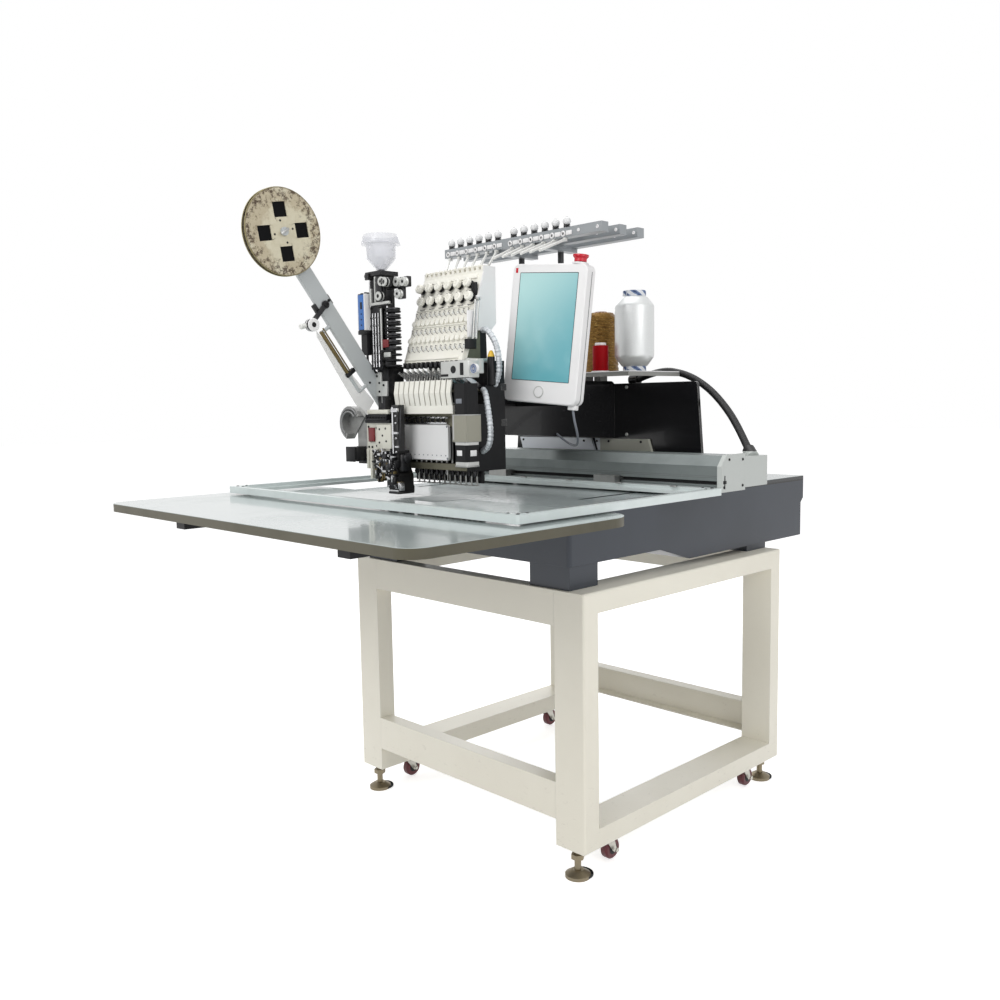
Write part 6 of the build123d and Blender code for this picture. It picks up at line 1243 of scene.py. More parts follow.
def needle_details():
    """Clamps on the needle bars, a black sheet behind them that is painted shade, bronze pins between, and a
    bright lip above.
    """
    clamp = [(0.6, 915), (1.1, 918), (1.1, 929), (4.6, 931.6)]
    clamp += [(4.9, 934), (4.9, 942), (4.4, 944.4), (3.6, 944.6)]
    idle, active = [], []
    for place, x in enumerate(NEEDLE_XS):
        pin = screw((x, NEEDLE_Y - 4.4, 938), FRONT, 2.2, 2.4)
        if place == WORKING_NEEDLE:
            active.append(pin)
        else:
            idle += [turned(clamp, (x, NEEDLE_Y, 0), UP, 14), pin]
    make("needle_clamps", "head", "dark_steel", idle)
    make("needle_clamp_active", "needle_bar", "chrome", active)
    # Painted shade: a black sheet and small black blocks behind the needle bars stand for the shade under the
    # head.
    shade_sheet = blocks(((-138, 116), (-228, -222), (914, 947), 1.5))
    shade_sheet += [soft_block((x - 4, x + 4), (-229.5, -226), (918, 932), 1.0) for x in NEEDLE_XS]
    make("needle_painted_shade", "head", "black", shade_sheet)
    pins = screws([(x + 10, -228, 924) for x in NEEDLE_XS[:-1]], FRONT, 2.4, 2.0)
    make("skirt_pins", "head", "bronze", pins)
    make("guide_lip", "head", "steel", blocks(((-136, 116), (-262.5, -259.5), (1106, 1110), 1.0)))


def head_right():
    """Sensor block with windows, roll of tape, and the connector at the right of the head."""
    block = blocks(
        ((46, 146), (-296, -262), (1168, 1208), 2.0),
        ((40, 140), (-263, -241), (1178, 1212), 2.0),
        ((84, 96), (-250, -180), (1206, 1216), 1.0),
        ((140, 166), (-284.4, -278), (1182, 1194), 1.0),
    )
    make("sensor_block", "head", "alloy", block)
    face_y = on_face(0, 0.80)[1]
    dark = [turned([(9, -0.2), (9, 0.8), (7.6, 1.2), (0, 0.6)], (92, -296, 1188), FRONT, 20)]
    dark += blocks(
        ((116, 128), (-297.2, -295), (1174, 1203), 1.5),
        ((48, 74), (-297.0, -295), (1172, 1178), 1.0),
        ((84.2, 100), (-252, -226), (1238, 1262), 2.0),
        ((62, 79), (face_y - 9, face_y - 2), (1366, 1400), 1.5),
    )
    make("sensor_windows", "head", "black", dark)
    side = blocks(
        ((81.0, 86.2), (-240, -212), (1266, 1330), 1.4),
        ((66, 88), (-206, -196), (1362, 1368), 1.5),
    )
    make("side_block", "head", "white", side)
    bars = rods(
        ([(92, -230, 1262), (90, -218, 1356)], 2.6, 10),
        ([(99, -226, 1262), (97, -214, 1352)], 2.0, 10),
        ([(84, -214, 1356), (100, -214, 1356)], 3.0, 10),
    )
    make("side_rods", "head", "steel", bars)
    roll = []
    for size in 11.5 - 2.1 * np.arange(5):
        turn = [(size - 0.9, 0), (size, 0), (size, 8.5), (size - 0.9, 8.5), (size - 0.9, 0)]
        roll.append(turned(turn, (158, -284.2, 1188), FRONT, 28))
    make("tape_roll_white", "head", "white", roll[0::2])
    make("tape_roll_blue", "head", "blue", roll[1::2])
    plug = [(0, 1150), (9, 1150), (10.5, 1152), (10.5, 1196), (9.5, 1206), (9, 1219), (0, 1219)]
    make("connector_body", "head", "black", [turned(plug, (120, -198, 0), UP, 24)])
    cap = [(8.6, 1217), (8.4, 1222), (5.0, 1231), (2.6, 1234), (0, 1234)]
    make("connector_cap", "head", "yellow", [turned(cap, (120, -198, 0), UP, 24)])


def motor_details():
    """Silver plates, rods and blank labels of the two motors."""
    plates = blocks(
        ((97.4, 142.6), (-304.6, -260), (1016.8, 1019.4), 0.6),
        ((97.4, 146.4), (-308.5, -260), (1079.6, 1082.4), 0.6),
        ((99, 141), (-303, -262), (957.6, 962.4), 1.2),
    )
    plates += screws([(x, y, 1019) for x in (102, 138) for y in (-300, -264)], UP, 2.2, 1.4)
    plates += rods(
        ([(101, -306, 1022), (101, -306, 1080)], 3.4, 12),
        ([(76, -270, 962), (76, -270, 1040)], 3.2, 12),
    )
    make("motor_plates", "head", "steel", plates)
    seats = [soft_block((70, 98), (-274, -258), (z, z + 10), 1.5) for z in (1036, 956)]
    make("motor_rod_seat", "head", "alloy", seats)
    labels = blocks(
        ((108, 126), (-304.5, -303.4), (985, 998), 0.4),
        ((141.4, 142.5), (-292, -272), (984, 998), 0.4),
    )
    make("motor_labels", "head", "white", labels)
    make("motor_mark", "head", "mark_grey", blocks(((108, 128), (-304.5, -303.4), (1108, 1119), 0.4)))


# Sequin and bead device


def tower_details():
    """Pale pulleys on a dark yoke, and the black hubs, screws and stacked discs of the bead tower."""
    pulley = [(2.4, -0.3), (10.8, -0.3), (11.4, 0.6), (11.4, 2.6), (8.6, 4.4), (8.6, 7.6)]
    pulley += [(11.4, 9.4), (11.4, 11.6), (10.8, 12.5), (5.0, 12.5), (4.4, 11.2), (2.4, 11.2)]
    near = ((-129.3, 1412), (-153.3, 1379), (-141.3, 1414))
    far = ((-110, 1412), (-84, 1410), (-106, 1382))
    pale = [turned(pulley, (x, -313, z), FRONT, 28) for x, z in near]
    pale += [turned(pulley, (x, -289.8, z), FRONT, 28) for x, z in far]
    make("tower_pulleys", "sequin", "alloy", pale)
    yoke = blocks(
        ((-166, -76), (-290, -278), (1398, 1424), 2.0),
        ((-118, -94), (-290, -281), (1370, 1400), 2.0),
    )
    make("pulley_yoke", "sequin", "dark_steel", yoke)
    black = screws([(x, -324.2, z) for x, z in near], FRONT, 3.6, 2.2)
    black += screws([(x, -301, z) for x, z in far], FRONT, 3.4, 2.2)
    black += screws([(x, -307, z) for x in (-204, -171) for z in (1206, 1276, 1353, 1426)], FRONT, 2.6, 2.0)
    disc = [(8.0, -3.2), (18.4, -2.8), (21.2, -1.6), (21.2, 1.6), (18.4, 2.8), (8.0, 3.2)]
    levels = (1206, 1220, 1234, 1248, 1262, 1278, 1294, 1310, 1326, 1342)
    black += [turned(disc, (-146.3, -285, z), UP, 28) for z in levels]
    make("tower_screws", "sequin", "black", black)


def tower_front():
    """Guide rods, fins, pale brackets and the red block on the front of the tower, and its head."""
    bars = []
    for angle in np.radians([196, 262]):
        x, y = -146.3 + 16.0 * math.cos(angle), -285 + 16.0 * math.sin(angle)
        bars.append(tube([(x, y, 1246), (x, y, 1356)], 1.7, 8))
    bars += [tube([(x, -308.5, 1204), (x, -308.5, 1340)], 1.8, 8) for x in (-199, -188, -176)]
    bars.append(tube([(-204, -311, 1356), (-204, -311, 1424)], 2.0, 8))
    make("tower_rods", "sequin", "chrome", bars)
    levels = (1216, 1236, 1256, 1286, 1306, 1326)
    fins = [soft_block((-209, -166), (-309.5, -306), (z, z + 5), 0.8) for z in levels]
    fins += [soft_block((-168, -126), (-306.6, -300), (z, z + 4.0), 0.8) for z in (1242, 1357)]
    make("tower_fins", "sequin", "dark_steel", fins)
    brackets = blocks(
        ((-200, -126), (-315, -306.5), (1359, 1366), 1.0),
        ((-204, -196), (-314, -306.5), (1359, 1402), 1.0),
        ((-180, -176), (-316, -306.5), (1366, 1430), 0.8),
        ((-165, -161.5), (-311, -306.5), (1246, 1350), 0.8),
        ((-160, -135), (-306.5, -302), (1228, 1240), 1.0),
    )
    make("tower_brackets", "sequin", "alloy", brackets)
    make("tower_patch", "sequin", "oxide", blocks(((-163, -141), (-308, -302), (1252, 1272), 1.0)))
    head = blocks(
        ((-222, -206), (-312, -296), (1432, 1441), 1.5),
        ((-214, -200), (-319, -313), (1424, 1440), 1.0),
        ((-172, -150), (-318, -306), (1384, 1428), 2.0),
        ((-192, -182), (-292, -278), (1442, 1452), 2.0),
    )
    head.append(turned([(0, 0), (6, 0), (6, 7), (4, 9), (0, 9)], (-221, -304, 1436), LEFT, 14))
    make("tower_head_parts", "sequin", "dark_steel", head)
    outside = [(7.2, 0), (9.0, 0.6), (37.6, 33), (38.6, 37), (39.0, 62), (41, 66)]
    outside += [(50.4, 68.4), (51.2, 70), (50.4, 74), (45.4, 90), (43.8, 92.6)]
    inside = [(42.0, 92.4), (43.6, 88), (47.4, 75), (46, 71.6), (38.6, 69), (37.2, 62)]
    inside += [(36.8, 38), (35.8, 35), (8.6, 4.4), (7.2, 3.4), (7.2, 0)]
    shell = turned(outside + inside, (-187.3, -285, 1444), UP, 56)
    make("hopper_shell", "sequin", "clear", [shell], 40.0, ("bead_hopper",))


def tower_drive():
    """Blue drive with white edges and black ends, its lead, and the pale plates of the neck below."""
    make("drive_blue", "sequin", "blue", blocks(((-239.2, -213.5), (-324.9, -297), (1300, 1389), 1.6)))
    edges = blocks(
        ((-213.6, -209.4), (-325.4, -300), (1297.5, 1391), 1.0),
        ((-240.0, -237.6), (-325.2, -298), (1300, 1390), 0.8),
    )
    make("drive_white_edges", "sequin", "white", edges)
    slots = screws([(-225, -324.9, z) for z in (1312, 1326, 1340)], FRONT, 2.0, 1.0)
    slots += blocks(
        ((-229, -221), (-325.4, -324), (1352, 1370), 1.0),
        ((-236, -230), (-318, -304), (1388.5, 1394), 1.0),
        ((-221, -215), (-318, -304), (1388.5, 1395), 1.0),
        ((-240.5, -208), (-326, -296), (1288, 1299), 2.0),
    )
    make("drive_slots", "sequin", "black", slots)
    lead = [(-224, -310, 1238), (-224, -309, 1220), (-216, -300, 1200), (-206, -296, 1190)]
    make("drive_lead", "sequin", "black", [tube(lead, 3.2, 8)])
    neck = blocks(
        ((-213, -190), (-294.5, -289), (1130, 1192), 1.2),
        ((-188, -166), (-296, -289), (1112, 1168), 1.2),
    )
    make("neck_plates", "sequin", "alloy", neck)
    bolts = [(x, -294.5, z) for x, z in ((-206, 1182), (-197, 1142), (-197, 1164))]
    bolts += [(-177, -296, z) for z in (1158, 1124)]
    make("neck_bolts", "sequin", "black", screws(bolts, FRONT, 3.0, 2.4))


def strewn(name, paint, count, seed):
    """Pins, heads and small plates at seeded places on the front of the lower feeder."""
    back = -318
    draw = np.random.default_rng(seed)
    spots = draw.uniform((-180, 900), (-92, 992), (count, 2))
    spots[:, 0] += np.clip((940 - spots[:, 1]) * 0.7, 0, 26)
    shapes = []
    for kind, (x, z) in enumerate(spots):
        size = draw.uniform(1.6, 4.2)
        front = -331.0 - draw.uniform(0.5, 4.0)
        if kind % 3 == 0:
            shapes.append(screw((x, front + 4.0, z), FRONT, size, 4.4))
            continue
        left, right, low, high = ((2.4, 1.4, 0.8, 0.7), (0.6, 0.7, 2.2, 2.6))[kind % 3 - 1]
        wide, tall = (x - left * size, x + right * size), (z - low * size, z + high * size)
        shapes.append(soft_block(wide, (front, back), tall, 0.8))
    make(name, "sequin", paint, shapes)


def feeder_plate():
    """Pale plate of the feeder with its screws, red slider, and the black and pale bars above it."""
    face = -320
    plate_x, plate_z, plate_width, plate_height = -222.3, 992.0, 108.0, 70.0
    shares = [(u, v) for u in (0.40, 0.64, 0.86) for v in (0.16, 0.82)]
    spots = [(plate_x + plate_width * u, plate_z + plate_height * v) for u, v in shares]
    black = screws([(x, face, z) for x, z in spots + [(-160, 1028)]], FRONT, 3.6, 2.6)
    black += screws([(x, face, z) for x, z in ((-214, 1000), (-200, 1000), (-214, 1052))], FRONT, 3.0, 2.2)
    black += blocks(
        ((-222, -120), (-326, -312), (1062, 1070), 1.5),
        ((-214, -128), (-330, -318), (1068, 1084), 2.0),
    )
    black += screws([(-206 + 12.0 * k, -330, 1076) for k in range(7)], FRONT, 2.6, 3.4)
    make("feeder_screws", "sequin", "black", black)
    make("feeder_slider", "sequin", "oxide", blocks(((-210, -187), (-326, -319), (1014, 1050), 1.5)))
    pale = blocks(
        ((-178, -118), (-323.4, -319), (996, 1058), 1.5),
        ((-212, -124), (-327, -316), (1084, 1096), 3.0),
    )
    make("feeder_cover", "sequin", "plate_pale", pale)
    dots = ((-165, 1046), (-140, 1048), (-153, 1030), (-166, 1012), (-138, 1016))
    make("feeder_cover_screws", "sequin", "black", screws([(x, -323.4, z) for x, z in dots], FRONT, 2.8, 1.2))


def feeder_links():
    """Bright posts, pins and springs, dark links, and strewn small parts of the lower feeder."""
    posts = ((-170, 3.0), (-156, 2.4), (-138, 3.2), (-118, 2.2))
    pins = ((-176, 984, 3.0), (-148, 944, 3.4), (-126, 950, 3.0), (-112, 978, 3.2))
    pins += ((-104, 960, 2.8), (-120, 912, 2.8), (-100, 900, 2.4))
    bright = [tube([(x, -326, 936), (x, -326, 990)], radius, 10) for x, radius in posts]
    bright += rods(
        ([(-176, -327, 976), (-112, -327, 968)], 1.6, 8),
        ([(-166, -334, 954), (-120, -330, 930)], 1.5, 8),
    )
    bright += [screw((x, -324, z), FRONT, radius, 3.0) for x, z, radius in pins]
    bright += blocks(
        ((-126, -92), (-325, -322), (888, 894), 0.8),
        ((-150, -140), (-326, -321), (930, 940), 1.0),
    )
    bright.append(spring((-164, -331, 960), (-132, -331, 982), 3.0, 1.1, 8))
    bright.append(spring((-110, -325, 930), (-110, -325, 962), 3.4, 1.2, 8))
    make("feeder_bright", "sequin", "chrome", bright)
    dark = blocks(
        ((-184, -150), (-329, -321), (966, 990), 2.0),
        ((-146, -108), (-331, -321), (940, 966), 2.5),
        ((-132, -100), (-330, -320), (900, 936), 2.0),
        ((-128, -86), (-328, -278), (884, 890), 1.5),
        ((-186, -176), (-326, -300), (918, 960), 2.0),
        ((-174, -162), (-318, -290), (916, 932), 1.5),
        ((-98, -84), (-318, -286), (940, 984), 3.0),
    )
    dark.append(turned([(0, -1), (9, -1), (9, 3), (6, 5), (0, 5)], (-118, -331, 953), FRONT, 20))
    dark.append(turned([(0, -1), (7, -1), (7, 4), (0, 4)], (-134, -331, 978), FRONT, 18))
    dark.append(turned([(0, 0), (13, 0), (13, 8), (9, 10), (0, 10)], (-88, -300, 974), RIGHT, 22))
    dark.append(tube([(-92, -312, 1100), (-88, -316, 1060), (-92, -318, 1010), (-98, -320, 976)], 2.6, 8))
    make("feeder_links", "sequin", "dark_steel", dark)
    strewn("feeder_small_bright", "chrome", 34, 5)
    strewn("feeder_small_dark", "black", 34, 6)
    strewn("feeder_small_bronze", "bronze", 14, 8)


def feeder_sides():
    """Fittings of the feed bar at the right; ribs of the horn, feed motor and posts at the left."""
    bar = rods(([(-107, -326, 986), (-107, -326, 1102)], 2.2, 8))
    bar += blocks(
        ((-112.6, -88), (-327, -320), (1089, 1099), 1.0),
        ((-112.6, -90), (-326, -320), (1034, 1040), 0.8),
        ((-104, -90), (-325, -320), (1000, 1005), 0.8),
    )
    bar += screws([(-96, -324, z) for z in (1080, 1062, 1024, 990)], FRONT, 3.0, 2.4)
    make("feed_bar_fittings", "sequin", "chrome", bar)
    turn = np.radians(np.linspace(35, 240, 16))
    horn = []
    for size, level in ((38.0, -347.0), (30.0, -349.0)):
        arc = [-262.3 + size * np.cos(turn), level + 0 * turn, 1062 + size * np.sin(turn)]
        horn.append(tube(np.stack(arc, 1), 2.2, 8))
    make("horn_ribs", "sequin", "horn_grey", horn)
    make("feed_motor_wrap", "sequin", "black", blocks(((-263, -225.6), (-352, -326), (963.2, 1000.8), 3.0)))
    ends = [soft_block((-264, -225), (y, y + 3), (962.5, 1001.5), 1.0) for y in (-359.5, -324.5)]
    make("feed_motor_plates", "sequin", "black", ends)
    posts = blocks(
        ((-208, -199), (-324, -312), (918, 994), 1.5),
        ((-222, -214), (-324, -312), (944, 996), 1.5),
    )
    make("feed_post", "sequin", "plate_pale", posts)


def windowed_disc(span):
    """Flange with four windows: each quarter has rows of points from the quarter's border to its window."""
    outer, inner, reach, half, steps = 101.4, 6.6, 51.0, 17.5, 10
    share, one, turn = np.arange(steps) / steps, np.ones(steps), np.pi / 4
    inwards, outwards = outer + (inner - outer) * share, inner + (outer - inner) * share
    radius = np.concatenate([outer * one, inwards, inner * one, outwards])
    angle = np.concatenate([turn * (2 * share - 1), turn * one, turn * (1 - 2 * share), -turn * one])
    border = np.stack([radius * np.cos(angle), radius * np.sin(angle)], 1)
    across = np.concatenate([one, 1 - 2 * share, -one, 2 * share - 1])
    aside = np.concatenate([2 * share - 1, one, 1 - 2 * share, -one])
    window = np.stack([reach + half * across, half * aside], 1)
    half_way = (border + window) / 2
    rows = [(flat, span[1]) for flat in (border, half_way, window)]
    rows += [(flat, span[0]) for flat in (window, half_way, border)]
    shapes = []
    for quarter in range(4):
        place = turned_axes(0, REEL_TURN + 90.0 * quarter)[1:]
        points = [REEL_CENTRE + flat @ place + np.array([x, 0, 0]) for flat, x in rows]
        shapes.append((np.concatenate(points), net(len(rows), 4 * steps, False, True)))
    around = math.radians(REEL_TURN) - turn + np.arange(4 * steps) * turn * 2 / steps
    for size in (outer, inner):
        wall = np.concatenate([reel_circle(x, size, around) for x in span])
        shapes.append((wall, net(2, 4 * steps, False, True)))
    return shapes


def reel_circle(x, size, angle):
    """Points of a circle about the reel's axis."""
    return REEL_CENTRE + np.stack([x + 0 * angle, size * np.cos(angle), size * np.sin(angle)], 1)


def reel_details():
    """Windowed flanges with worn rims, wound tape between them, marks round the hub and the axle's bar."""
    flanges = windowed_disc((-209.3, -206.3)) + windowed_disc((-196.3, -193.3))
    make("reel_flanges", "reel", "board", flanges, 35.0, ("sequin_reel",))
    tape = [(6.6, -206.2), (80, -206.2), (80.4, -205.4), (80.4, -197.2)]
    tape += [(80, -196.4), (6.6, -196.4), (6.6, -206.2)]
    make("reel_tape", "reel", "tape", [turned(tape, REEL_CENTRE, RIGHT, 56)])
    spots = reel_circle(-193.3, 26.0, np.radians(20 + 90 * np.arange(4)))
    dot = [(2.6, -0.1), (2.6, 0.6), (0, 0.8)]
    make("reel_hub_marks", "reel", "black", [turned(dot, spot, RIGHT, 10) for spot in spots])
    turn = np.arange(64) * 2 * np.pi / 64
    rims = [tube(reel_circle(x, 101.0, turn), 1.5, 6, True) for x in (-207.8, -194.8)]
    make("reel_rims", "reel", "rim", rims)
    bar = soft_block((-188, -185.5), (-13, 13), (-3, 3), 1.0)
    make("axle_bar", "sequin", "steel", [moved(bar, (REEL_CENTRE, turned_axes(0, 35.0)))])


def arm_details():
    """Clamps and screws of the reel arm, and the tape run beside it, along the arm and down from it."""
    arm_run, arm_rise = -298.5, 401.0
    along = np.array([0.0, arm_run, arm_rise]) / math.hypot(arm_run, arm_rise)
    down = np.array([0.0, -arm_rise, arm_run]) / math.hypot(arm_run, arm_rise)
    arm = (np.array([-215.3, -265.5, 1115.0]), [RIGHT, tuple(along), tuple(down)])
    clamp = blocks(
        ((-8, 4.8), (288, 316), (-24, 30), 2.0),
        ((-5.6, 5.6), (118, 130), (26, 56), 2.0),
    )
    clamp += screws([(5.4, 302, -16), (5.4, 296, 24)], RIGHT, 4.0, 3.0)
    clamp.append(screw((5, 18, 4), RIGHT, 4.5, 3.0))
    clamp.append(screw((5, -6, -6), RIGHT, 4.0, 3.0))
    clamp.append(screw((5, 70, 10), RIGHT, 3.0, 2.0))
    make("arm_clamp", "sequin", "black", all_moved(clamp, arm))
    guides = rods(([(0, 124, 48), (0, 254, 48)], 5.4, 12), ([(3, 120, 40), (3, 258, 40)], 2.0, 8))
    make("tape_rods", "sequin", "bronze", all_moved(guides, arm))
    film = [(22, 26), (8, 76), (60, 77), (150, 73), (250, 66), (264, 58), (124, 40)]
    make("tape_film", "sequin", "film", [moved(plate(film, 0, (-0.4, 0.4), 0.1), arm)])


def lever_roller():
    """White roller at the tip of the tape lever, its screws, and a pearl knob on a stub."""
    pivot_y, pivot_z = -444.6, 1355.6
    tip_y, tip_z = pivot_y - 46.0, pivot_z - 52.0
    roller = [(3, -0.4), (14.6, -0.4), (15.8, 0.8), (15.8, 3.0), (12.6, 5.0), (12.6, 9.2)]
    roller += [(15.8, 11.2), (15.8, 13.4), (14.6, 14.6), (6.5, 14.6), (6, 13.2), (3, 13.2)]
    make("lever_roller", "tape_lever", "white", [turned(roller, (-205.3, tip_y, tip_z), RIGHT, 32)])
    tip_screw = screw((-192.2, tip_y, tip_z), RIGHT, 4.2, 2.4)
    pivot_screw = screw((-205.2, pivot_y, pivot_z), RIGHT, 7.0, 3.0)
    make("lever_screw", "tape_lever", "black", [tip_screw, pivot_screw])
    knob = [(0, 0), (5.5, 0), (6.5, 1.5), (6.5, 15), (5, 17), (0, 17)]
    knob_foot, knob_way = (-203, tip_y - 16, tip_z - 2), (0, -1, -0.25)
    make("lever_knob", "tape_lever", "pearl", [turned(knob, knob_foot, knob_way, 20)])
    stub = [(-203, tip_y - 10, tip_z), (-203, tip_y - 19, tip_z - 2.5)]
    make("lever_stub", "tape_lever", "black", [tube(stub, 4.2, 10)])


# Panel


def panel_place():
    """Origin and axes of the panel, turned about Y, then X, then Z."""
    yaw, tilt, roll = (math.radians(value) for value in (9.0, -3.0, 5.0))
    about_z = np.array([[math.cos(yaw), -math.sin(yaw), 0], [math.sin(yaw), math.cos(yaw), 0], [0, 0, 1]])
    about_x = np.array([[1, 0, 0], [0, math.cos(tilt), -math.sin(tilt)], [0, math.sin(tilt), math.cos(tilt)]])
    about_y = np.array([[math.cos(roll), 0, math.sin(roll)], [0, 1, 0], [-math.sin(roll), 0, math.cos(roll)]])
    return np.array([190.0, -72.0, 1272.0]), (about_z @ about_x @ about_y).T


def panel_details():
    """Dark line round the screen, red lamp, ring of the button, seam, back fittings, plug and stop collar."""
    front, half_height, low_border, top_border = -18.0, 168.0, 54.0, 22.0

    def add(name, paint, shapes):
        make(name, "panel", paint, all_moved(shapes, panel_place()))

    middle = (low_border - top_border) / 2
    line = rounded_outline((-84.2, 84.2), (middle - 130.2, middle + 130.2), 1.5, 3)
    add("screen_line", "black", [tube(np.insert(line, 1, front, axis=1), 0.7, 6, True)])
    add("panel_lamps", "red", [soft_block((-99, -92), (-18.8, -17.4), (146, 158), 2.4, 3)])
    ring = [(12.6, -0.2), (14.6, -0.2), (14.8, 0.5), (14.2, 1.0), (12.8, 1.0), (12.6, -0.2)]
    add("home_ring", "alloy", [turned(ring, (0, front, low_border / 2 - half_height), FRONT, 36)])
    outline = rounded_outline((-108.2, 108.2), (-168.2, 168.2), 18, 8)
    seam = np.concatenate([[(50.0, 168.2)], outline[9:], outline[:1]])
    add("panel_seam", "seam_grey", [tube(np.insert(seam, 1, 4.0, axis=1), 0.9, 6)])
    vents = [soft_block((x - 2, x + 2), (17.2, 18.6), (70, 126), 1.2) for x in np.arange(-66, 67, 12.0)]
    add("panel_vents", "seam_grey", vents)
    bolts = [(x, -front, z) for x in (-92, 92) for z in (-150, 150)]
    add("panel_bolts", "black", screws(bolts, BACK, 4.0, 2.0))
    add("panel_plug", "white", blocks(((80, 102), (-6, 10), (-178, -166), 2.0)))
    collar = [(15.3, -0.2), (20, -0.2), (20.6, 0.8), (20, 3.2), (15.6, 3.2), (15.3, -0.2)]
    add("estop_collar", "collar_white", [turned(collar, (75, 0, half_height), UP, 36)])


# Frame, beam and covers


def border_details():
    """Corner screws, long groove strips and bright clips of the border frame."""
    low, high = box_mm("border_frame")
    top, inset, aside, margin = high[2], 17.5, 26, 40
    xs, ys = (low[0] + inset, high[0] - inset), (low[1] + inset, high[1] - inset)
    dark = []
    for x in xs:
        for y in ys:
            dark.append(screw((x, y, top), UP, 4.2, 1.6))
            dark.append(screw((x - math.copysign(aside, x), y, top), UP, 3.2, 1.4))
            dark.append(screw((x, y + (aside if y < 0 else -aside), top), UP, 3.2, 1.4))
    make("frame_screws", "hoop", "dark_steel", dark)
    level = (top - 1.0, top + 0.25)
    strips = [soft_block((low[0] + margin, high[0] - margin), (y - 1.2, y + 1.2), level, 0.2) for y in ys]
    strips += [soft_block((x - 1.2, x + 1.2), (low[1] + margin, high[1] - margin), level, 0.2) for x in xs]
    make("frame_grooves", "hoop", "seam_grey", strips)
    clips = []
    for x in np.linspace(low[0] + 120, high[0] - 120, 6):
        clips.append(soft_block((x - 9, x + 9), (high[1] - 33, high[1] - 24), (top - 0.5, top + 2.4), 1.0))
    make("frame_clips", "hoop", "steel", clips)


def beam_details():
    """Seam lines along the beam, profile and screws of the end caps."""
    low, high = box_mm("x_beam")
    run = (low[0] + 2, high[0] - 2)
    lines = []
    for y in (low[1] + 34, high[1] - 26):
        lines.append(soft_block(run, (y - 0.8, y + 0.8), (high[2] - 0.6, high[2] + 0.2), 0.2))
    for z in (low[2] + 32, low[2] + 36):
        lines.append(soft_block(run, (low[1] - 0.25, low[1] + 0.6), (z - 0.6, z + 0.6), 0.2))
    make("beam_lines", "beam", "seam_grey", lines)
    (left, front, bottom), (right, back, top) = box_mm("beam_end_caps")
    spots = [(front + 12, bottom + 12), (back - 12, bottom + 12)]
    spots += [(back - 12, top - 14), (front + 34, top - 12)]
    dark = []
    for x, way in ((left, LEFT), (right, RIGHT)):
        dark += screws([(x, y, z) for y, z in spots], way, 3.4, 1.8)
        skin = (x - 0.7, x + 0.7)
        dark.append(soft_block(skin, (front + 8, front + 22), (bottom + 20, bottom + 28), 0.4))
        dark.append(soft_block(skin, (front + 13, front + 17), (bottom + 8, bottom + 40), 0.4))
    make("cap_marks", "beam", "black", dark)


def cabinet_details():
    """Screws of the cabinet front and foot covers, vents and sockets on the back."""
    make("cabinet_studs", "frame", "alloy", screws([(94, 360, z) for z in (1146, 1012)], FRONT, 5.0, 3.0))
    spots = [(x, 992) for x in (-10, 34, 150, -310, -60)] + [(x, 884) for x in (196, -272)]
    make("foot_cover_screws", "frame", "black", screws([(x, 352, z) for x, z in spots], FRONT, 3.6, 2.4))
    back = box_mm("control_cabinet")[1][1]
    skin = (back - 1.0, back + 0.6)
    vents = [soft_block((x - 1.6, x + 1.6), skin, (1000, 1110), 0.6) for x in np.arange(-120, 121, 10.0)]
    make("cabinet_vents", "frame", "seam_dark", vents)
    fittings = screws([(x, back, z) for x in (-158, 158) for z in (890, 1140)], BACK, 4.5, 2.4)
    fittings += blocks(
        ((-120, -60), (back - 1, back + 7), (900, 950), 3.0),
        ((60, 116), (back - 1, back + 5), (906, 946), 3.0),
    )
    make("cabinet_back_fittings", "frame", "black", fittings)


def shelf_details():
    """White bead round the shelf's rim."""
    ring = rounded_outline((-230.3, 190.3), (244.7, 480.3), 6.0)
    make("shelf_bead", "frame", "white", [tube(np.insert(ring, 2, SHELF_TOP - 0.6, axis=1), 1.6, 6, True)])


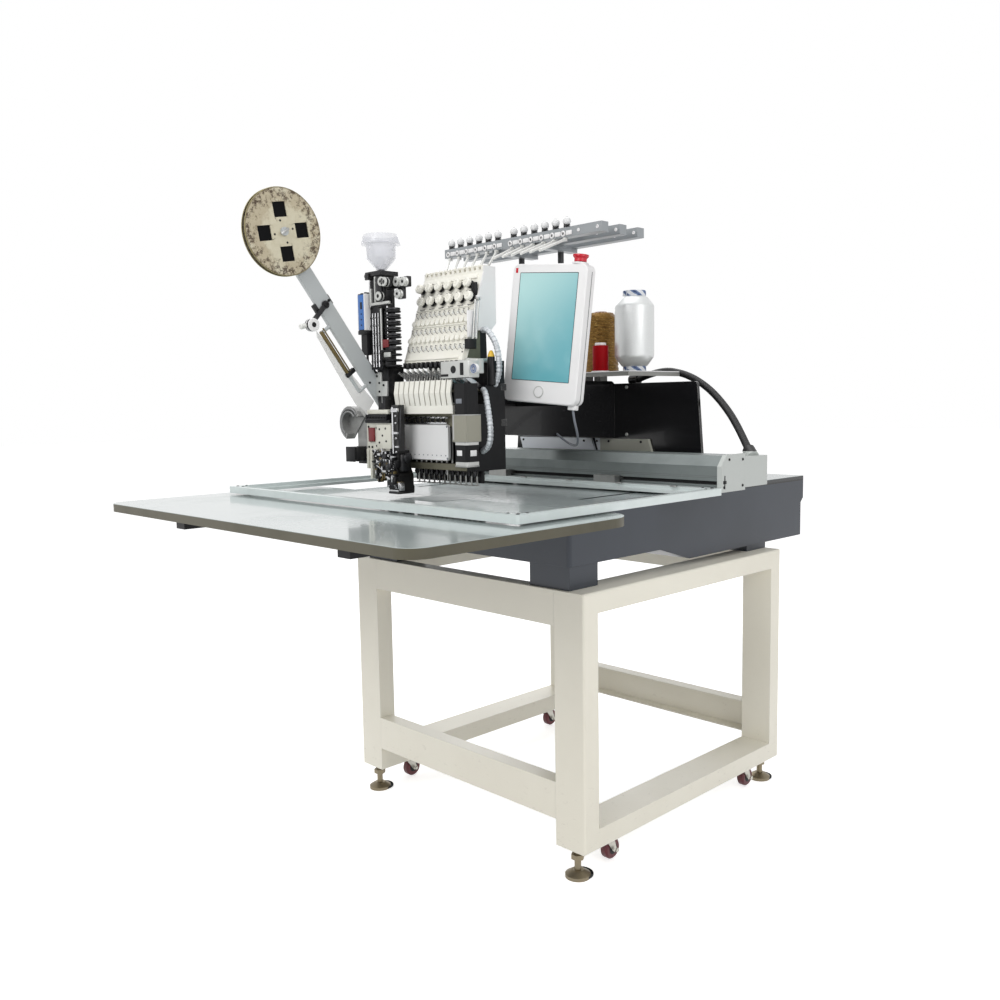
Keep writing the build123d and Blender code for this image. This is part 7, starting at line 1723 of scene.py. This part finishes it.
def stand_details():
    """Bolts at the rear rail, weld beads at the front rails and rubber pads under the feet."""
    spots = [(x, z) for x in (380, -380) for z in (160, 205)]
    bolts = screws([(x, 600, z) for x, z in spots], FRONT, 6.0, 4.0)
    bolts += screws([(x, 650, z) for x, z in spots], BACK, 6.0, 4.0)
    make("stand_bolts", "frame", "dark_steel", bolts)
    welds = []
    for x in (-335.6, 335.6):
        for span in ((134, 224), (596, 680)):
            height = np.linspace(*span, 24)
            wobble = 0.5 * np.sin(np.arange(24) * 2.1)
            welds.append(tube(np.stack([x + 0 * height, -209.4 + wobble, height], 1), 2.2, 6))
    make("stand_welds", "frame", "stand", welds)
    pad = [(0, 0.4), (29, 0.4), (30.4, 1.6), (30.4, 5.0), (29.4, 6.0)]
    for hand, x in (("left", -380.0), ("right", 380.0)):
        for end, y in (("front", -185.0), ("rear", 625.0)):
            corner = end + "_" + hand
            make("foot_rubber_" + corner, "foot_" + corner, "black", [turned(pad, (x, y, 0), UP, 28)])


def caster_details():
    """Bearing rings and axle nuts of the casters."""
    nut = [(0, 3.6), (4.2, 3.6), (5.6, 2.4), (5.6, -0.2)]
    for corner in CORNERS:
        low, high = box_mm("caster_wheel_" + corner)
        x, y, z = (low + high) / 2
        half = (high[0] - low[0]) / 2
        ring = [(3.9, half - 0.4), (13, half - 0.4), (14, half + 0.2)]
        ring += [(12, half + 0.5), (6, half + 0.5), (3.9, half - 0.4)]
        hubs = [turned(ring, (x, y, z), way, 24) for way in (LEFT, RIGHT)]
        make("wheel_hub_" + corner, "wheel_" + corner, "black", hubs)
        fork_low, fork_high = box_mm("caster_fork_" + corner)
        ends = ((fork_low[0], LEFT), (fork_high[0], RIGHT))
        nuts = [turned(nut, (edge, y, z), way, 6) for edge, way in ends]
        make("axle_nuts_" + corner, "fork_" + corner, "zinc", nuts)


conduit()
silver_spool()
red_spool()
gold_spool()
rack()
thread_tubes()
tension_knobs()
tension_strips()
lever_details()
cover_details()
needle_details()
head_right()
motor_details()
harness("upper_wrap", UPPER_WRAP)
harness("lower_wrap", LOWER_WRAP)
tower_details()
tower_front()
tower_drive()
feeder_plate()
feeder_links()
feeder_sides()
reel_details()
arm_details()
lever_roller()
panel_details()
panel_lead()
border_details()
beam_details()
cabinet_details()
shelf_details()
stand_details()
caster_details()
